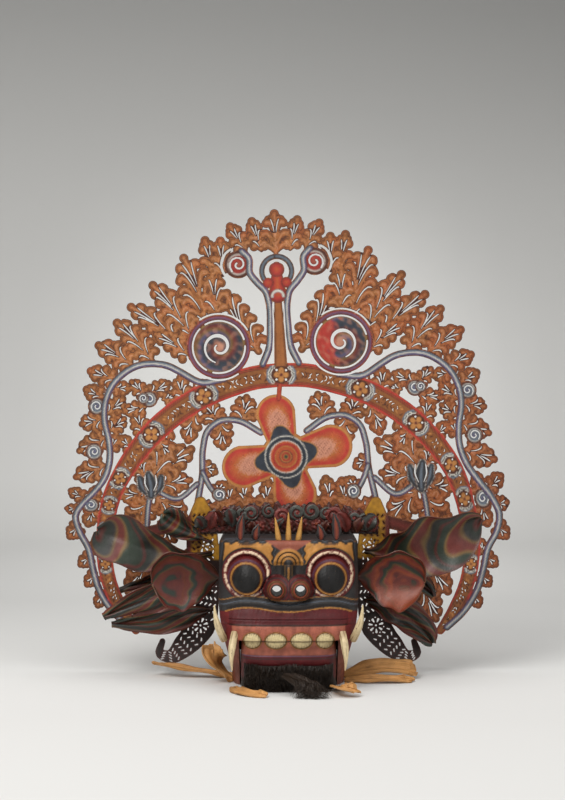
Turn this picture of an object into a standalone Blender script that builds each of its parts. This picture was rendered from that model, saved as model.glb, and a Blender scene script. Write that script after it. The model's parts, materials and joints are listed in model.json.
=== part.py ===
"""A barong mask: a carved and hollowed wooden head with a hinged lower jaw, horn tusks, painted leather ears,
side leaves and pierced pendants, and a tall openwork leather fan behind it, standing on the head's cheeks and jaw.

Metres, +Z up. The face looks along -Y. The origin is under the jaw, on the surface that the mask stands on.
"""

import math

import bpy
import numpy as np
from mathutils import Vector
from mathutils.geometry import delaunay_2d_cdt

# Head
HEAD_WIDTH = 0.224
HEAD_HEIGHT = 0.232
HEAD_DEPTH = 0.205
BROW_Y = -0.105
MUZZLE_REACH = 0.046
CORNER_DEPTH = 0.062
TOP_ROUND = 0.008
WALL = 0.011
FACE_WALL = 0.026
MOUTH_HEIGHT = 0.081

# Face carving
EYE_SPACING = 0.133
EYE_HEIGHT = 0.178
EYE_RADIUS = 0.030
EYE_BULGE = 0.024
NOSE_WIDTH = 0.078
NOSE_HEIGHT = 0.158
NOSE_REACH = 0.022
NOSTRIL_RADIUS = 0.0075
BRIDGE_WIDTH = 0.027
LIP_HEIGHT = 0.134
TOOTH_WIDTH = 0.033
TOOTH_HEIGHT = 0.012

# Jaw and its hinge
JAW_WIDTH = 0.150
JAW_SIDE_GAP = 0.0025
JAW_TOP_GAP = 0.0006
JAW_WALL = 0.014
JAW_FLOOR = 0.012
CHEEK_CLEARANCE = 0.004
FOOT_WIDTH = JAW_WIDTH + 2 * (CHEEK_CLEARANCE + WALL)
HINGE_Y = 0.050
HINGE_HEIGHT = 0.045
HINGE_RADIUS = 0.009
HINGE_CLEARANCE = 0.0006

# Leather and the gap that neighbouring pieces keep
GAP = 0.0003
FAN_WIDTH = 0.740
FAN_THICKNESS = 0.003
FAN_SWEEP = 0.026
FAN_LEAN = math.radians(2.5)
FLAP_THICKNESS = 0.003
FLAP_Y = 0.030
FLAP_BEND = 0.028
LEAF_THICKNESS = 0.0026
CROWN_WIDTH = 0.300
CROWN_HEIGHT = 0.056
CROWN_THICKNESS = 0.009

# Small parts
TUSK_LENGTH = 0.058
TUSK_RADIUS = 0.0062
SPIKE_LENGTH = 0.044
SPIKE_RADIUS = 0.0052
FUR_THICKNESS = 0.009
FUR_STANDOFF = 0.0026
TRESS_RADIUS = 0.010

# Fineness of the solids
FACE_COLUMNS = 29
FACE_ROWS = 21
FAN_CELL = 0.003
FAN_TOLERANCE = 0.0030
FLAP_CELL = 0.0024
FLAP_TOLERANCE = 0.0013

HALF_HEAD = HEAD_WIDTH / 2
HALF_FOOT = FOOT_WIDTH / 2
HALF_JAW = JAW_WIDTH / 2
HALF_SLOT = HALF_JAW + JAW_SIDE_GAP
BACK_Y = BROW_Y + HEAD_DEPTH
MUZZLE_Y = BROW_Y - MUZZLE_REACH
FAN_Y = FLAP_Y + (FLAP_THICKNESS + FAN_THICKNESS) / 2 + GAP
FAN_UNIT = FAN_WIDTH / 740
FAR = 1.0


def material(name, colour, roughness, metallic=0.0):
    """A Principled material of one colour."""
    made = bpy.data.materials.new(name)
    made.use_nodes = True
    shader = made.node_tree.nodes["Principled BSDF"]
    shader.inputs["Base Color"].default_value = (*colour, 1.0)
    shader.inputs["Roughness"].default_value = roughness
    shader.inputs["Metallic"].default_value = metallic
    made.diffuse_color = (*colour, 1.0)
    return made


def new_object(name, points, faces, finish, helper=False):
    """A mesh object from points and faces, smooth where its faces meet gently."""
    mesh = bpy.data.meshes.new(name)
    mesh.from_pydata([tuple(map(float, p)) for p in points], [], [tuple(map(int, f)) for f in faces])
    mesh.validate()
    made = bpy.data.objects.new(name, mesh)
    bpy.context.scene.collection.objects.link(made)
    if helper:
        made.hide_render = True
        made.display_type = "WIRE"
        return made
    mesh.materials.append(finish)
    mesh.shade_smooth()
    mesh.set_sharp_from_angle(angle=math.radians(38))
    return made


def loft(rings):
    """Points and faces of a closed solid from an array (rings, points, 3), with a flat cap on each end."""
    count, around = rings.shape[:2]
    index = np.arange(count * around).reshape(count, around)
    low, high = index[:-1], index[1:]
    quads = np.stack([low, np.roll(low, -1, 1), np.roll(high, -1, 1), high], -1).reshape(-1, 4)
    faces = [tuple(q) for q in quads] + [tuple(index[0][::-1]), tuple(index[-1])]
    return rings.reshape(-1, 3), faces


def modifier(target, kind, operand, name):
    """A Boolean modifier on target: kind is DIFFERENCE or UNION."""
    made = target.modifiers.new(name, "BOOLEAN")
    made.operation = kind
    made.object = operand
    made.solver = "EXACT"


def block(name, low, high):
    """A hidden cutter in the shape of a box."""
    corners = [(x, y, z) for z in (low[2], high[2]) for y in (low[1], high[1]) for x in (low[0], high[0])]
    faces = [(0, 2, 3, 1), (4, 5, 7, 6), (0, 1, 5, 4), (2, 6, 7, 3), (0, 4, 6, 2), (1, 3, 7, 5)]
    return new_object(name, corners, faces, None, helper=True)


def rod(name, start, end, radius, sides=16):
    """A hidden round bar from start to end, to cut or to join."""
    start, end = np.array(start, float), np.array(end, float)
    along = (end - start) / np.linalg.norm(end - start)
    side = np.cross(along, (0, 0, 1) if abs(along[2]) < 0.9 else (1, 0, 0))
    side /= np.linalg.norm(side)
    up = np.cross(along, side)
    turn = np.arange(sides) * 2 * math.pi / sides
    circle = radius * (np.outer(np.cos(turn), side) + np.outer(np.sin(turn), up))
    return new_object(name, *loft(np.stack([start + circle, end + circle])), None, helper=True)


def curve_through(stations, values, at):
    """A smooth curve through (station, value) pairs, stations rising: a cubic with the slopes of its neighbours."""
    stations, values = np.array(stations, float), np.array(values, float)
    slopes = np.gradient(values, stations)
    at = np.clip(at, stations[0], stations[-1])
    i = np.clip(np.searchsorted(stations, at, side="right") - 1, 0, len(stations) - 2)
    span = stations[i + 1] - stations[i]
    t = (at - stations[i]) / span
    return (
        values[i] * (1 + 2 * t) * (1 - t) ** 2
        + slopes[i] * span * t * (1 - t) ** 2
        + values[i + 1] * t * t * (3 - 2 * t)
        + slopes[i + 1] * span * t * t * (t - 1)
    )


def ease(t):
    """Zero up to 0, one from 1, with a smooth rise between."""
    t = np.clip(t, 0, 1)
    return t * t * (3 - 2 * t)


def bump(distance, reach):
    """One at no distance, falling smoothly to zero at reach."""
    return ease(1 - np.abs(distance) / reach)


def half_width(z):
    """The head's half width at height z: narrow at the foot, full above the mouth."""
    return HALF_FOOT + (HALF_HEAD - HALF_FOOT) * ease(z / (0.62 * HEAD_HEIGHT))


def front_line(z):
    """How far forward the head's middle line reaches at height z, before the carving."""
    heights = np.array([-0.1, 0.0, 0.17, MOUTH_HEIGHT / HEAD_HEIGHT, 0.42, 0.52, 0.62, 0.80, 1.0]) * HEAD_HEIGHT
    reach = np.array([-0.45, -0.30, 0.35, 1.0, 0.97, 0.70, 0.42, 0.10, 0.0]) * MUZZLE_REACH
    return BROW_Y - curve_through(heights, reach, z)


def face_relief(x, z):
    """How far the carving stands in front of the head's plain form, by place on the face."""
    side = np.abs(x)
    eye = np.hypot(side - EYE_SPACING / 2, z - EYE_HEIGHT)
    socket = np.hypot(side - EYE_SPACING / 2, z - EYE_HEIGHT - 0.15 * EYE_RADIUS)
    height = EYE_BULGE * np.sqrt(np.clip(1 - (eye / EYE_RADIUS) ** 2, 0, None))
    height = height + 0.006 * bump(socket - 1.12 * EYE_RADIUS, 0.007)
    over_eye = ease((z - EYE_HEIGHT) / 0.02)
    height = height + 0.007 * bump(socket - 1.45 * EYE_RADIUS, 0.010) * over_eye
    nose = np.hypot(side / (0.52 * NOSE_WIDTH), (z - NOSE_HEIGHT) / (0.29 * NOSE_WIDTH))
    wing = np.hypot(side - 0.24 * NOSE_WIDTH, z - NOSE_HEIGHT)
    height = np.maximum(height, NOSE_REACH * np.sqrt(np.clip(1 - nose**2, 0, None)))
    height = np.maximum(height, 1.35 * NOSE_REACH * np.sqrt(np.clip(1 - (wing / (0.24 * NOSE_WIDTH)) ** 2, 0, None)))
    bridge = bump(side, BRIDGE_WIDTH / 2) * ease((z - NOSE_HEIGHT) / 0.01) * ease((0.94 * HEAD_HEIGHT - z) / 0.03)
    height = np.maximum(height, 0.75 * NOSE_REACH * bridge)
    crest = np.hypot(x, z - 0.87 * HEAD_HEIGHT)
    height = np.maximum(height, 0.008 * bump(crest, 0.8 * BRIDGE_WIDTH))
    lip = LIP_HEIGHT + 0.003 * np.cos(side * 2 * math.pi / (0.8 * HEAD_WIDTH))
    height = height + 0.007 * bump(z - lip, 0.009)
    gum = ease((MOUTH_HEIGHT + 0.026 - z) / 0.005) * ease((0.092 - side) / 0.008)
    height = height + 0.004 * gum
    return height + teeth(side, z - MOUTH_HEIGHT)


def teeth(side, above):
    """Rounded tooth fronts, two on each side of the middle, on the mouth line."""
    first = np.hypot((side - 0.60 * TOOTH_WIDTH) / (0.5 * TOOTH_WIDTH), above / TOOTH_HEIGHT)
    second = np.hypot((side - 1.72 * TOOTH_WIDTH) / (0.42 * TOOTH_WIDTH), above / TOOTH_HEIGHT)
    nearest = np.minimum(first, second)
    return 0.004 * np.sqrt(np.clip(1 - nearest**2, 0, None))


def section(half, front, back, corner, across, power=3.4):
    """Points round a level section, from the back left, across the front, to the back right, as (x, y, facing).
    The front is a superellipse, with across points evenly over its width, and facing is one where it looks forward."""
    even = np.linspace(-0.93, 0.93, across)
    share = np.concatenate([[-1.0, -1.0, -0.985], even, [0.985, 1.0, 1.0]])
    facing = (1 - np.abs(share) ** power) ** (1 / power)
    facing[[0, -1]] = 0
    y = front + corner - corner * facing
    y[[0, -1]] = back
    return half * share, y, facing


def head_levels():
    """The heights of the head's rings, close together over the carved face, and each one's inset at the round top."""
    cheeks = np.linspace(0, MOUTH_HEIGHT - 0.010, 4, endpoint=False)
    face = np.linspace(MOUTH_HEIGHT - 0.010, HEAD_HEIGHT - TOP_ROUND, FACE_ROWS)
    turned = np.linspace(0, math.pi / 2, 3)[1:]
    heights = np.concatenate([cheeks, face, face[-1] + TOP_ROUND * np.sin(turned)])
    return heights, np.concatenate([np.zeros(4 + FACE_ROWS), TOP_ROUND * (1 - np.cos(turned))])


def head_rings():
    """The head's outer form as level rings, rounded over at the top, with the carving on its front."""
    rings = []
    for z, inset in zip(*head_levels()):
        half, front = half_width(z) - inset, front_line(z) + inset
        x, y, facing = section(half, front, BACK_Y, CORNER_DEPTH, FACE_COLUMNS)
        y = y - face_relief(x, z) * ease((facing - 0.35) / 0.5) * (1 if inset == 0 else 0.4)
        rings.append(np.stack([x, y, np.full_like(x, z)], -1))
    return np.array(rings)


def build_head(finish):
    """The carved face and its cheeks, hollow behind, with the slot that the jaw swings in."""
    head = new_object("head", *loft(head_rings()), finish)
    rings = []
    for z in np.linspace(-0.1 * HEAD_HEIGHT, HEAD_HEIGHT - WALL, 7):
        half = half_width(max(z, 0)) - WALL
        x, y, _ = section(half, front_line(z) + FACE_WALL, BACK_Y + WALL, 0.8 * CORNER_DEPTH, 9)
        rings.append(np.stack([x, y, np.full_like(x, z)], -1))
    hollow = new_object("head_hollow_cutter", *loft(np.array(rings)), None, helper=True)
    slot_back = BROW_Y + 0.3 * HEAD_DEPTH
    slot = block(
        "jaw_slot_cutter",
        (-HALF_SLOT, MUZZLE_Y - 0.05, -0.02),
        (HALF_SLOT, slot_back, MOUTH_HEIGHT),
    )
    modifier(head, "DIFFERENCE", hollow, "hollow")
    modifier(head, "DIFFERENCE", slot, "jaw slot")
    for side, name in ((-1, "left"), (1, "right")):
        x = side * 0.24 * NOSE_WIDTH
        hole = rod(
            f"nostril_{name}_cutter",
            (x, MUZZLE_Y - 0.06, NOSE_HEIGHT),
            (x, BROW_Y + 2 * FACE_WALL, NOSE_HEIGHT),
            NOSTRIL_RADIUS,
            12,
        )
        modifier(head, "DIFFERENCE", hole, f"nostril {name}")
    bore = rod(
        "hinge_bore_cutter",
        (-HEAD_WIDTH, HINGE_Y, HINGE_HEIGHT),
        (HEAD_WIDTH, HINGE_Y, HINGE_HEIGHT),
        HINGE_RADIUS + HINGE_CLEARANCE,
        20,
    )
    modifier(head, "DIFFERENCE", bore, "hinge bore")
    for socket in tusk_cutters():
        modifier(head, "DIFFERENCE", socket, socket.name)
    return head


def jaw_front(z):
    """How far forward the jaw's middle line reaches at height z: the chin falls back below the lip."""
    heights = np.array([0.0, 0.25, 0.6, 1.0]) * MOUTH_HEIGHT
    reach = np.array([0.50, 0.82, 1.02, 1.05]) * MUZZLE_REACH
    return BROW_Y - curve_through(heights, reach, z)


def jaw_relief(x, z):
    """The lower lip's roll and the lower teeth."""
    lip = 0.004 * bump(z - 0.62 * MOUTH_HEIGHT, 0.02)
    return lip + teeth(np.abs(x), MOUTH_HEIGHT - z)


def build_jaw(finish):
    """The lower jaw, a tray with a lip in front and two arms that turn on bosses in the cheeks."""
    top = MOUTH_HEIGHT - JAW_TOP_GAP
    arm_end = HINGE_Y + 1.7 * HINGE_RADIUS
    rings = []
    for z in np.linspace(0, top, 9):
        x, y, facing = section(HALF_JAW, jaw_front(z), arm_end, 0.6 * CORNER_DEPTH, 17)
        y = y - jaw_relief(x, z) * ease((facing - 0.35) / 0.5)
        rings.append(np.stack([x, y, np.full_like(x, z)], -1))
    jaw = new_object("lower_jaw", *loft(np.array(rings)), finish)
    rings = []
    for z in (JAW_FLOOR, top + 0.02):
        front = jaw_front(0.5 * MOUTH_HEIGHT) + FACE_WALL
        x, y, _ = section(HALF_JAW - JAW_WALL, front, arm_end + 0.02, 0.5 * CORNER_DEPTH, 9)
        rings.append(np.stack([x, y, np.full_like(x, z)], -1))
    hollow = new_object("jaw_hollow_cutter", *loft(np.array(rings)), None, helper=True)
    modifier(jaw, "DIFFERENCE", hollow, "hollow")
    arm_top = HINGE_HEIGHT + 1.5 * HINGE_RADIUS
    lowered = block(
        "jaw_arm_cutter",
        (-HEAD_WIDTH, BROW_Y + 0.3 * HEAD_DEPTH, arm_top),
        (HEAD_WIDTH, BACK_Y + WALL, top + 0.02),
    )
    modifier(jaw, "DIFFERENCE", lowered, "lowered arms")
    reach = half_width(HINGE_HEIGHT) - 0.3 * WALL
    for side, name in ((-1, "left"), (1, "right")):
        boss = rod(
            f"boss_{name}_joiner",
            (side * (HALF_JAW - 0.5 * JAW_WALL), HINGE_Y, HINGE_HEIGHT),
            (side * reach, HINGE_Y, HINGE_HEIGHT),
            HINGE_RADIUS,
            20,
        )
        modifier(jaw, "UNION", boss, f"boss {name}")
    return jaw


def horn(start, end, bow, radius, tip_radius, sides=8, steps=6, grow=0.0):
    """Rings of a tapered horn from its root to its blunt tip, bowed sideways by a vector."""
    start, end, bow = (np.array(v, float) for v in (start, end, bow))
    t = np.linspace(0, 1, steps)[:, None]
    centre = start + (end - start) * t + bow * 4 * t * (1 - t)
    along = np.gradient(centre, axis=0)
    along /= np.linalg.norm(along, axis=1)[:, None]
    side = np.cross(along, (0, 1, 0))
    side /= np.linalg.norm(side, axis=1)[:, None]
    up = np.cross(along, side)
    radii = (tip_radius + (radius - tip_radius) * (1 - t**1.5)) + grow
    turn = np.arange(sides) * 2 * math.pi / sides
    circle = side[:, None] * np.cos(turn)[None, :, None] + up[:, None] * np.sin(turn)[None, :, None]
    return centre[:, None] + radii[:, None] * circle


def tusk_lines():
    """Each tusk's root, tip and bow: two point down over the jaw slot's ends, and two up beside the lips."""
    root = 0.55 * TUSK_RADIUS
    upper_x = HALF_SLOT + 0.95 * TUSK_RADIUS
    root_z = MOUTH_HEIGHT + 0.011
    upper_y = front_line(MOUTH_HEIGHT) + 0.16 * CORNER_DEPTH
    lower_x = half_width(MOUTH_HEIGHT) - 0.4 * TUSK_RADIUS
    lower_y = front_line(MOUTH_HEIGHT) + 0.42 * CORNER_DEPTH
    lines = {}
    for side, name in ((-1, "left"), (1, "right")):
        lines[f"tusk_upper_{name}"] = (
            (side * upper_x, upper_y, root_z),
            (side * (upper_x + 0.07 * TUSK_LENGTH), upper_y - 2.4 * TUSK_RADIUS, root_z - 0.97 * TUSK_LENGTH),
            (side * 0.05 * TUSK_LENGTH, -0.12 * TUSK_LENGTH, 0),
            root,
        )
        lines[f"tusk_lower_{name}"] = (
            (side * lower_x, lower_y, MOUTH_HEIGHT - 0.002),
            (side * (lower_x + 0.26 * TUSK_LENGTH), lower_y - 2.2 * TUSK_RADIUS, MOUTH_HEIGHT + 0.93 * TUSK_LENGTH),
            (side * 0.06 * TUSK_LENGTH, -0.10 * TUSK_LENGTH, 0),
            root,
        )
    return lines


def tusk_cutters():
    """Sockets in the head, the tusks' own form made wider by the gap that the pieces keep."""
    made = []
    for name, (start, end, bow, _) in tusk_lines().items():
        rings = horn(start, end, bow, TUSK_RADIUS, 0.0012, grow=GAP + 0.0002)
        rings[0] -= (rings[1].mean(0) - rings[0].mean(0)) * 0.05
        made.append(new_object(f"{name}_socket_cutter", *loft(rings), None, helper=True))
    return made


def build_tusks(finish):
    for name, (start, end, bow, _) in tusk_lines().items():
        new_object(name, *loft(horn(start, end, bow, TUSK_RADIUS, 0.0012)), finish)


def build_brow_ornaments(gold, leather):
    """Three gilt spikes over the nose and two pairs of small leather flames, standing on the head's flat top."""
    foot = HEAD_HEIGHT + GAP
    spike_y = BROW_Y + TOP_ROUND + 1.4 * SPIKE_RADIUS
    spikes = (("left", -1, 0.82), ("middle", 0, 1.0), ("right", 1, 0.84))
    for name, side, share in spikes:
        start = (side * 3.0 * SPIKE_RADIUS, spike_y, foot)
        end = (side * 4.1 * SPIKE_RADIUS, spike_y - 0.004, foot + share * SPIKE_LENGTH)
        rings = horn(start, end, (0, 0, 0), SPIKE_RADIUS, 0.0010, 6, 4)
        rings[0, :, 2] = foot
        new_object(f"spike_{name}", *loft(rings), gold)
    flames = ((0.34, 0.95), (0.23, 0.55))
    for side, side_name in ((-1, "left"), (1, "right")):
        for number, (across, share) in enumerate(flames, 1):
            start = (side * across * HEAD_WIDTH, spike_y + 0.004, foot)
            end = (side * (across - 0.02) * HEAD_WIDTH, spike_y + 0.004, foot + share * SPIKE_LENGTH)
            rings = horn(start, end, (side * 0.003, 0, 0), 1.15 * SPIKE_RADIUS, 0.0010, 6, 4)
            rings[0, :, 2] = foot
            new_object(f"flame_{side_name}_{number}", *loft(rings), leather)


def leaf_sheet(base, middle, tip, width, cup, face, root_power, tip_power, twist=0.0, rows=8, columns=5):
    """Points (rows, columns, 3) of a cupped leaf. Its rib is a curve from base by middle to tip, its outline is
    t to root_power times (1 - t) to tip_power, and each cross-section is an arc that opens towards face."""
    base, middle, tip, face = (np.array(v, float) for v in (base, middle, tip, face))
    t = np.linspace(0, 1, rows)[:, None]
    rib = base * (1 - t) ** 2 + middle * 2 * t * (1 - t) + tip * t**2
    along = 2 * (middle - base) * (1 - t) + 2 * (tip - middle) * t
    along /= np.linalg.norm(along, axis=1)[:, None]
    side = np.cross(along, face)
    side /= np.linalg.norm(side, axis=1)[:, None]
    normal = np.cross(side, along)
    angle = twist * t
    side, normal = side * np.cos(angle) + normal * np.sin(angle), normal * np.cos(angle) - side * np.sin(angle)
    peak = root_power / (root_power + tip_power)
    most = peak**root_power * (1 - peak) ** tip_power
    half = width / 2 * np.clip(t**root_power * (1 - t) ** tip_power / most, 0.10, None)
    bend = cup * ease(t / 0.35) + 1e-3
    across = np.linspace(-1, 1, columns)[None, :]
    lateral = half * np.sin(bend * across) / np.sin(bend)
    depth = half * (1 - np.cos(bend * across)) / np.sin(bend)
    return rib[:, None] + lateral[..., None] * side[:, None] + depth[..., None] * normal[:, None]


def new_leaf(name, sheet, finish):
    """A leather leaf: the sheet's grid of faces, given its thickness on both sides."""
    rows, columns = sheet.shape[:2]
    index = np.arange(rows * columns).reshape(rows, columns)
    quads = np.stack([index[:-1, :-1], index[1:, :-1], index[1:, 1:], index[:-1, 1:]], -1).reshape(-1, 4)
    made = new_object(name, sheet.reshape(-1, 3), quads, finish)
    thick = made.modifiers.new("thickness", "SOLIDIFY")
    thick.thickness = LEAF_THICKNESS
    thick.offset = 0
    return made


def build_ears(finish):
    """Two cupped leather ears on the head's sides, hollow towards the front."""
    wall = HALF_HEAD + GAP + 0.6 * LEAF_THICKNESS
    for side, name in ((-1, "left"), (1, "right")):
        sheet = leaf_sheet(
            base=(side * wall, -0.030, 0.166),
            middle=(side * (wall + 0.060), -0.040, 0.172),
            tip=(side * (wall + 0.106), -0.052, 0.158),
            width=0.096,
            cup=1.05,
            face=(side * 0.15, -1, -0.12),
            root_power=0.62,
            tip_power=0.36,
            rows=7,
            columns=6,
        )
        new_leaf(f"ear_{name}", sheet, finish)


# Each side leaf: height of its root on the pendant, then its middle and tip as (out, forward, height),
# width, cup, root and tip powers, and twist. Lengths are in metres and angles in radians.
LEFT_LEAVES = {
    "leaf_upper_left": (0.200, (0.205, 0.062, 0.188), (0.312, 0.050, 0.242), 0.080, 0.85, 1.1, 0.45, 0.25),
    "leaf_small_left": (0.218, (0.170, 0.014, 0.236), (0.206, 0.012, 0.262), 0.048, 0.70, 0.8, 0.35, 0.0),
    "leaf_back_left": (0.160, (0.190, 0.016, 0.172), (0.278, 0.018, 0.140), 0.034, 0.40, 0.9, 1.1, 0.0),
    "leaf_lower_left": (0.134, (0.222, 0.052, 0.150), (0.302, 0.044, 0.100), 0.052, 0.55, 0.9, 0.9, -0.3),
    "leaf_bottom_left": (0.106, (0.200, 0.026, 0.092), (0.290, 0.034, 0.086), 0.046, 0.45, 1.0, 1.0, 0.2),
}
RIGHT_LEAVES = {
    "leaf_upper_right": (0.204, (0.215, 0.066, 0.196), (0.316, 0.046, 0.262), 0.098, 0.90, 0.9, 0.75, -0.35),
    "leaf_back_right": (0.160, (0.200, 0.016, 0.196), (0.240, 0.018, 0.130), 0.034, 0.40, 0.9, 0.6, 0.0),
    "leaf_lower_right": (0.122, (0.190, 0.040, 0.122), (0.236, 0.040, 0.056), 0.056, 0.60, 0.7, 0.5, 0.3),
}


def pendant_middle(height):
    """How far back the pendants' middle lies at a height: they bend forward towards the foot."""
    return FLAP_Y - FLAP_BEND * np.clip((0.14 - height) / 0.14, 0, None) ** 2


def build_side_leaves(finish):
    """Leather leaves whose roots lie flat on the pendants' fronts."""
    for side, leaves in ((-1, LEFT_LEAVES), (1, RIGHT_LEAVES)):
        for name, (root_z, middle, tip, width, cup, root_power, tip_power, twist) in leaves.items():
            root_y = pendant_middle(root_z - 0.02) - (FLAP_THICKNESS + LEAF_THICKNESS) / 2 - GAP
            sheet = leaf_sheet(
                base=(side * (HALF_HEAD + 0.016), root_y, root_z),
                middle=(side * middle[0], root_y - middle[1], middle[2]),
                tip=(side * tip[0], root_y - tip[1], tip[2]),
                width=width,
                cup=cup,
                face=(0, -1, 0),
                root_power=root_power,
                tip_power=tip_power,
                twist=side * twist,
                rows=6,
                columns=4,
            )
            new_leaf(name, sheet, finish)


class Openwork:
    """A pierced sheet drawn as distances on a square grid: below zero is leather, above is air."""

    def __init__(self, low, high, cell):
        self.u = np.arange(low[0], high[0] + cell, cell)
        self.v = np.arange(low[1], high[1] + cell, cell)
        self.distance = np.full((len(self.v), len(self.u)), FAR)

    def window(self, points, reach):
        """The part of the grid within reach of the points."""
        low, high = points.min(0) - reach, points.max(0) + reach
        columns = slice(*np.searchsorted(self.u, (low[0], high[0])))
        rows = slice(*np.searchsorted(self.v, (low[1], high[1])))
        return rows, columns, *np.meshgrid(self.u[columns], self.v[rows])

    def merge(self, rows, columns, distance, cut):
        kept = self.distance[rows, columns]
        self.distance[rows, columns] = np.maximum(kept, -distance) if cut else np.minimum(kept, distance)

    def strap(self, points, radii, cut=False):
        """A strip along a line of points with a half width at each, round at its ends."""
        points = np.array(points, float)
        radii = np.broadcast_to(np.array(radii, float), (len(points),))
        for a, b, ra, rb in zip(points[:-1], points[1:], radii[:-1], radii[1:]):
            rows, columns, u, v = self.window(np.array([a, b]), max(ra, rb) + 4 * (self.u[1] - self.u[0]))
            along = b - a
            t = np.clip(((u - a[0]) * along[0] + (v - a[1]) * along[1]) / max(along @ along, 1e-12), 0, 1)
            away = np.hypot(u - a[0] - t * along[0], v - a[1] - t * along[1])
            self.merge(rows, columns, away - (ra + (rb - ra) * t), cut)

    def box(self, low, high, cut=False):
        """A rectangle, its sides along the grid."""
        low, high = np.array(low, float), np.array(high, float)
        rows, columns, u, v = self.window(np.array([low, high]), 4 * (self.u[1] - self.u[0]))
        outside = np.maximum(np.abs(u - (low[0] + high[0]) / 2) - (high[0] - low[0]) / 2,
                             np.abs(v - (low[1] + high[1]) / 2) - (high[1] - low[1]) / 2)
        self.merge(rows, columns, outside, cut)

    def loops(self):
        """The outlines as closed loops of points, leather on the left, found cell by cell."""
        inside = self.distance < 0
        inside[0, :] = inside[-1, :] = False
        inside[:, 0] = inside[:, -1] = False
        value = np.where(inside, np.minimum(self.distance, -1e-7), np.maximum(self.distance, 1e-7))
        a, b, c, d = inside[:-1, :-1], inside[:-1, 1:], inside[1:, 1:], inside[1:, :-1]
        case = a * 1 + b * 2 + c * 4 + d * 8
        steps = {
            1: [(0, 3)], 2: [(1, 0)], 3: [(1, 3)], 4: [(2, 1)], 5: [(0, 3), (2, 1)], 6: [(2, 0)], 7: [(2, 3)],
            8: [(3, 2)], 9: [(0, 2)], 10: [(1, 0), (3, 2)], 11: [(1, 2)], 12: [(3, 1)], 13: [(0, 1)], 14: [(3, 0)],
        }
        follows = {}
        for row, column in zip(*np.nonzero((case > 0) & (case < 15))):
            edges = ((0, row, column), (1, row, column + 1), (0, row + 1, column), (1, row, column))
            for start, end in steps[int(case[row, column])]:
                follows[edges[start]] = edges[end]
        found = []
        while follows:
            first = next(iter(follows))
            loop, edge = [], first
            while edge in follows:
                loop.append(edge)
                edge = follows.pop(edge)
            found.append(np.array([self.crossing(value, *e) for e in loop]))
        return found

    def crossing(self, value, upright, row, column):
        """Where the outline crosses one side of a cell."""
        here = value[row, column]
        there = value[row + 1, column] if upright else value[row, column + 1]
        share = min(max(here / (here - there), 0.04), 0.96)
        step = self.u[1] - self.u[0]
        return self.u[column] + (0 if upright else share * step), self.v[row] + (share * step if upright else 0)


def thinned(loop, tolerance):
    """The loop with only the points that its shape needs: the farthest point is kept, and so on each side of it."""
    start = int(np.argmax(np.hypot(*(loop - loop.mean(0)).T)))
    loop = np.roll(loop, -start, axis=0)
    closed = np.vstack([loop, loop[:1]])
    keep = np.zeros(len(closed), bool)
    keep[[0, -1]] = True
    spans = [(0, len(closed) - 1)]
    while spans:
        low, high = spans.pop()
        if high - low < 2:
            continue
        chord = closed[high] - closed[low]
        away = closed[low + 1 : high] - closed[low]
        length = np.hypot(*chord)
        off = np.abs(away[:, 0] * chord[1] - away[:, 1] * chord[0]) / length if length > 1e-9 else np.hypot(*away.T)
        most = int(np.argmax(off))
        if off[most] > tolerance:
            keep[low + 1 + most] = True
            spans += [(low, low + 1 + most), (low + 1 + most, high)]
    return closed[:-1][keep[:-1]]


def fill(loops, work):
    """Points and triangles of the leather that the loops bound. The loops part the plane into regions, and the
    distances at a region's triangles tell whether it is leather."""
    points = np.vstack(loops)
    starts = np.cumsum([0] + [len(loop) for loop in loops])
    edges = [(s + i, s + (i + 1) % n) for s, n in zip(starts, map(len, loops)) for i in range(n)]
    corners, sides, triangles, _, parents, _ = delaunay_2d_cdt([Vector(p) for p in points], edges, [], 0, 1e-9)
    corners, triangles = np.array([tuple(p) for p in corners]), np.array(triangles)
    walls = {frozenset(side) for side, parent in zip(sides, parents) if parent}
    owners = {}
    for number, corner in enumerate(triangles.tolist()):
        for side in ((corner[0], corner[1]), (corner[1], corner[2]), (corner[2], corner[0])):
            if frozenset(side) not in walls:
                owners.setdefault(frozenset(side), []).append(number)
    beside = [[] for _ in triangles]
    for pair in owners.values():
        if len(pair) == 2:
            beside[pair[0]].append(pair[1])
            beside[pair[1]].append(pair[0])
    middle = corners[triangles].mean(1)
    step = work.u[1] - work.u[0]
    column = np.clip(np.round((middle[:, 0] - work.u[0]) / step).astype(int), 0, len(work.u) - 1)
    row = np.clip(np.round((middle[:, 1] - work.v[0]) / step).astype(int), 0, len(work.v) - 1)
    first, second = (corners[triangles[:, i]] - corners[triangles[:, 0]] for i in (1, 2))
    area = np.abs(first[:, 0] * second[:, 1] - first[:, 1] * second[:, 0])
    vote = area * np.where(work.distance[row, column] < 0, 1.0, -1.0)
    kept = np.zeros(len(triangles), bool)
    seen = np.zeros(len(triangles), bool)
    for number in range(len(triangles)):
        if seen[number]:
            continue
        region, queue = [], [number]
        seen[number] = True
        while queue:
            region.append(queue.pop())
            for other in beside[region[-1]]:
                if not seen[other]:
                    seen[other] = True
                    queue.append(other)
        kept[region] = vote[region].sum() > 0
    while len(pinched := pinches(triangles[kept])):
        for point in pinched:
            open_here = np.nonzero(~kept & (triangles == point).any(1))[0]
            kept[open_here[np.argmin(area[open_here])]] = True
    return corners, triangles[kept]


def border(triangles):
    """The directed sides that only one triangle has, as (start, end) pairs."""
    sides = {(a, b) for t in triangles.tolist() for a, b in ((t[0], t[1]), (t[1], t[2]), (t[2], t[0]))}
    return sorted(side for side in sides if side[::-1] not in sides)


def pinches(triangles):
    """Points where two outlines touch, which would leave no leather between two holes."""
    points, counts = np.unique([start for start, _ in border(triangles)], return_counts=True)
    return points[counts > 1]


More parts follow.
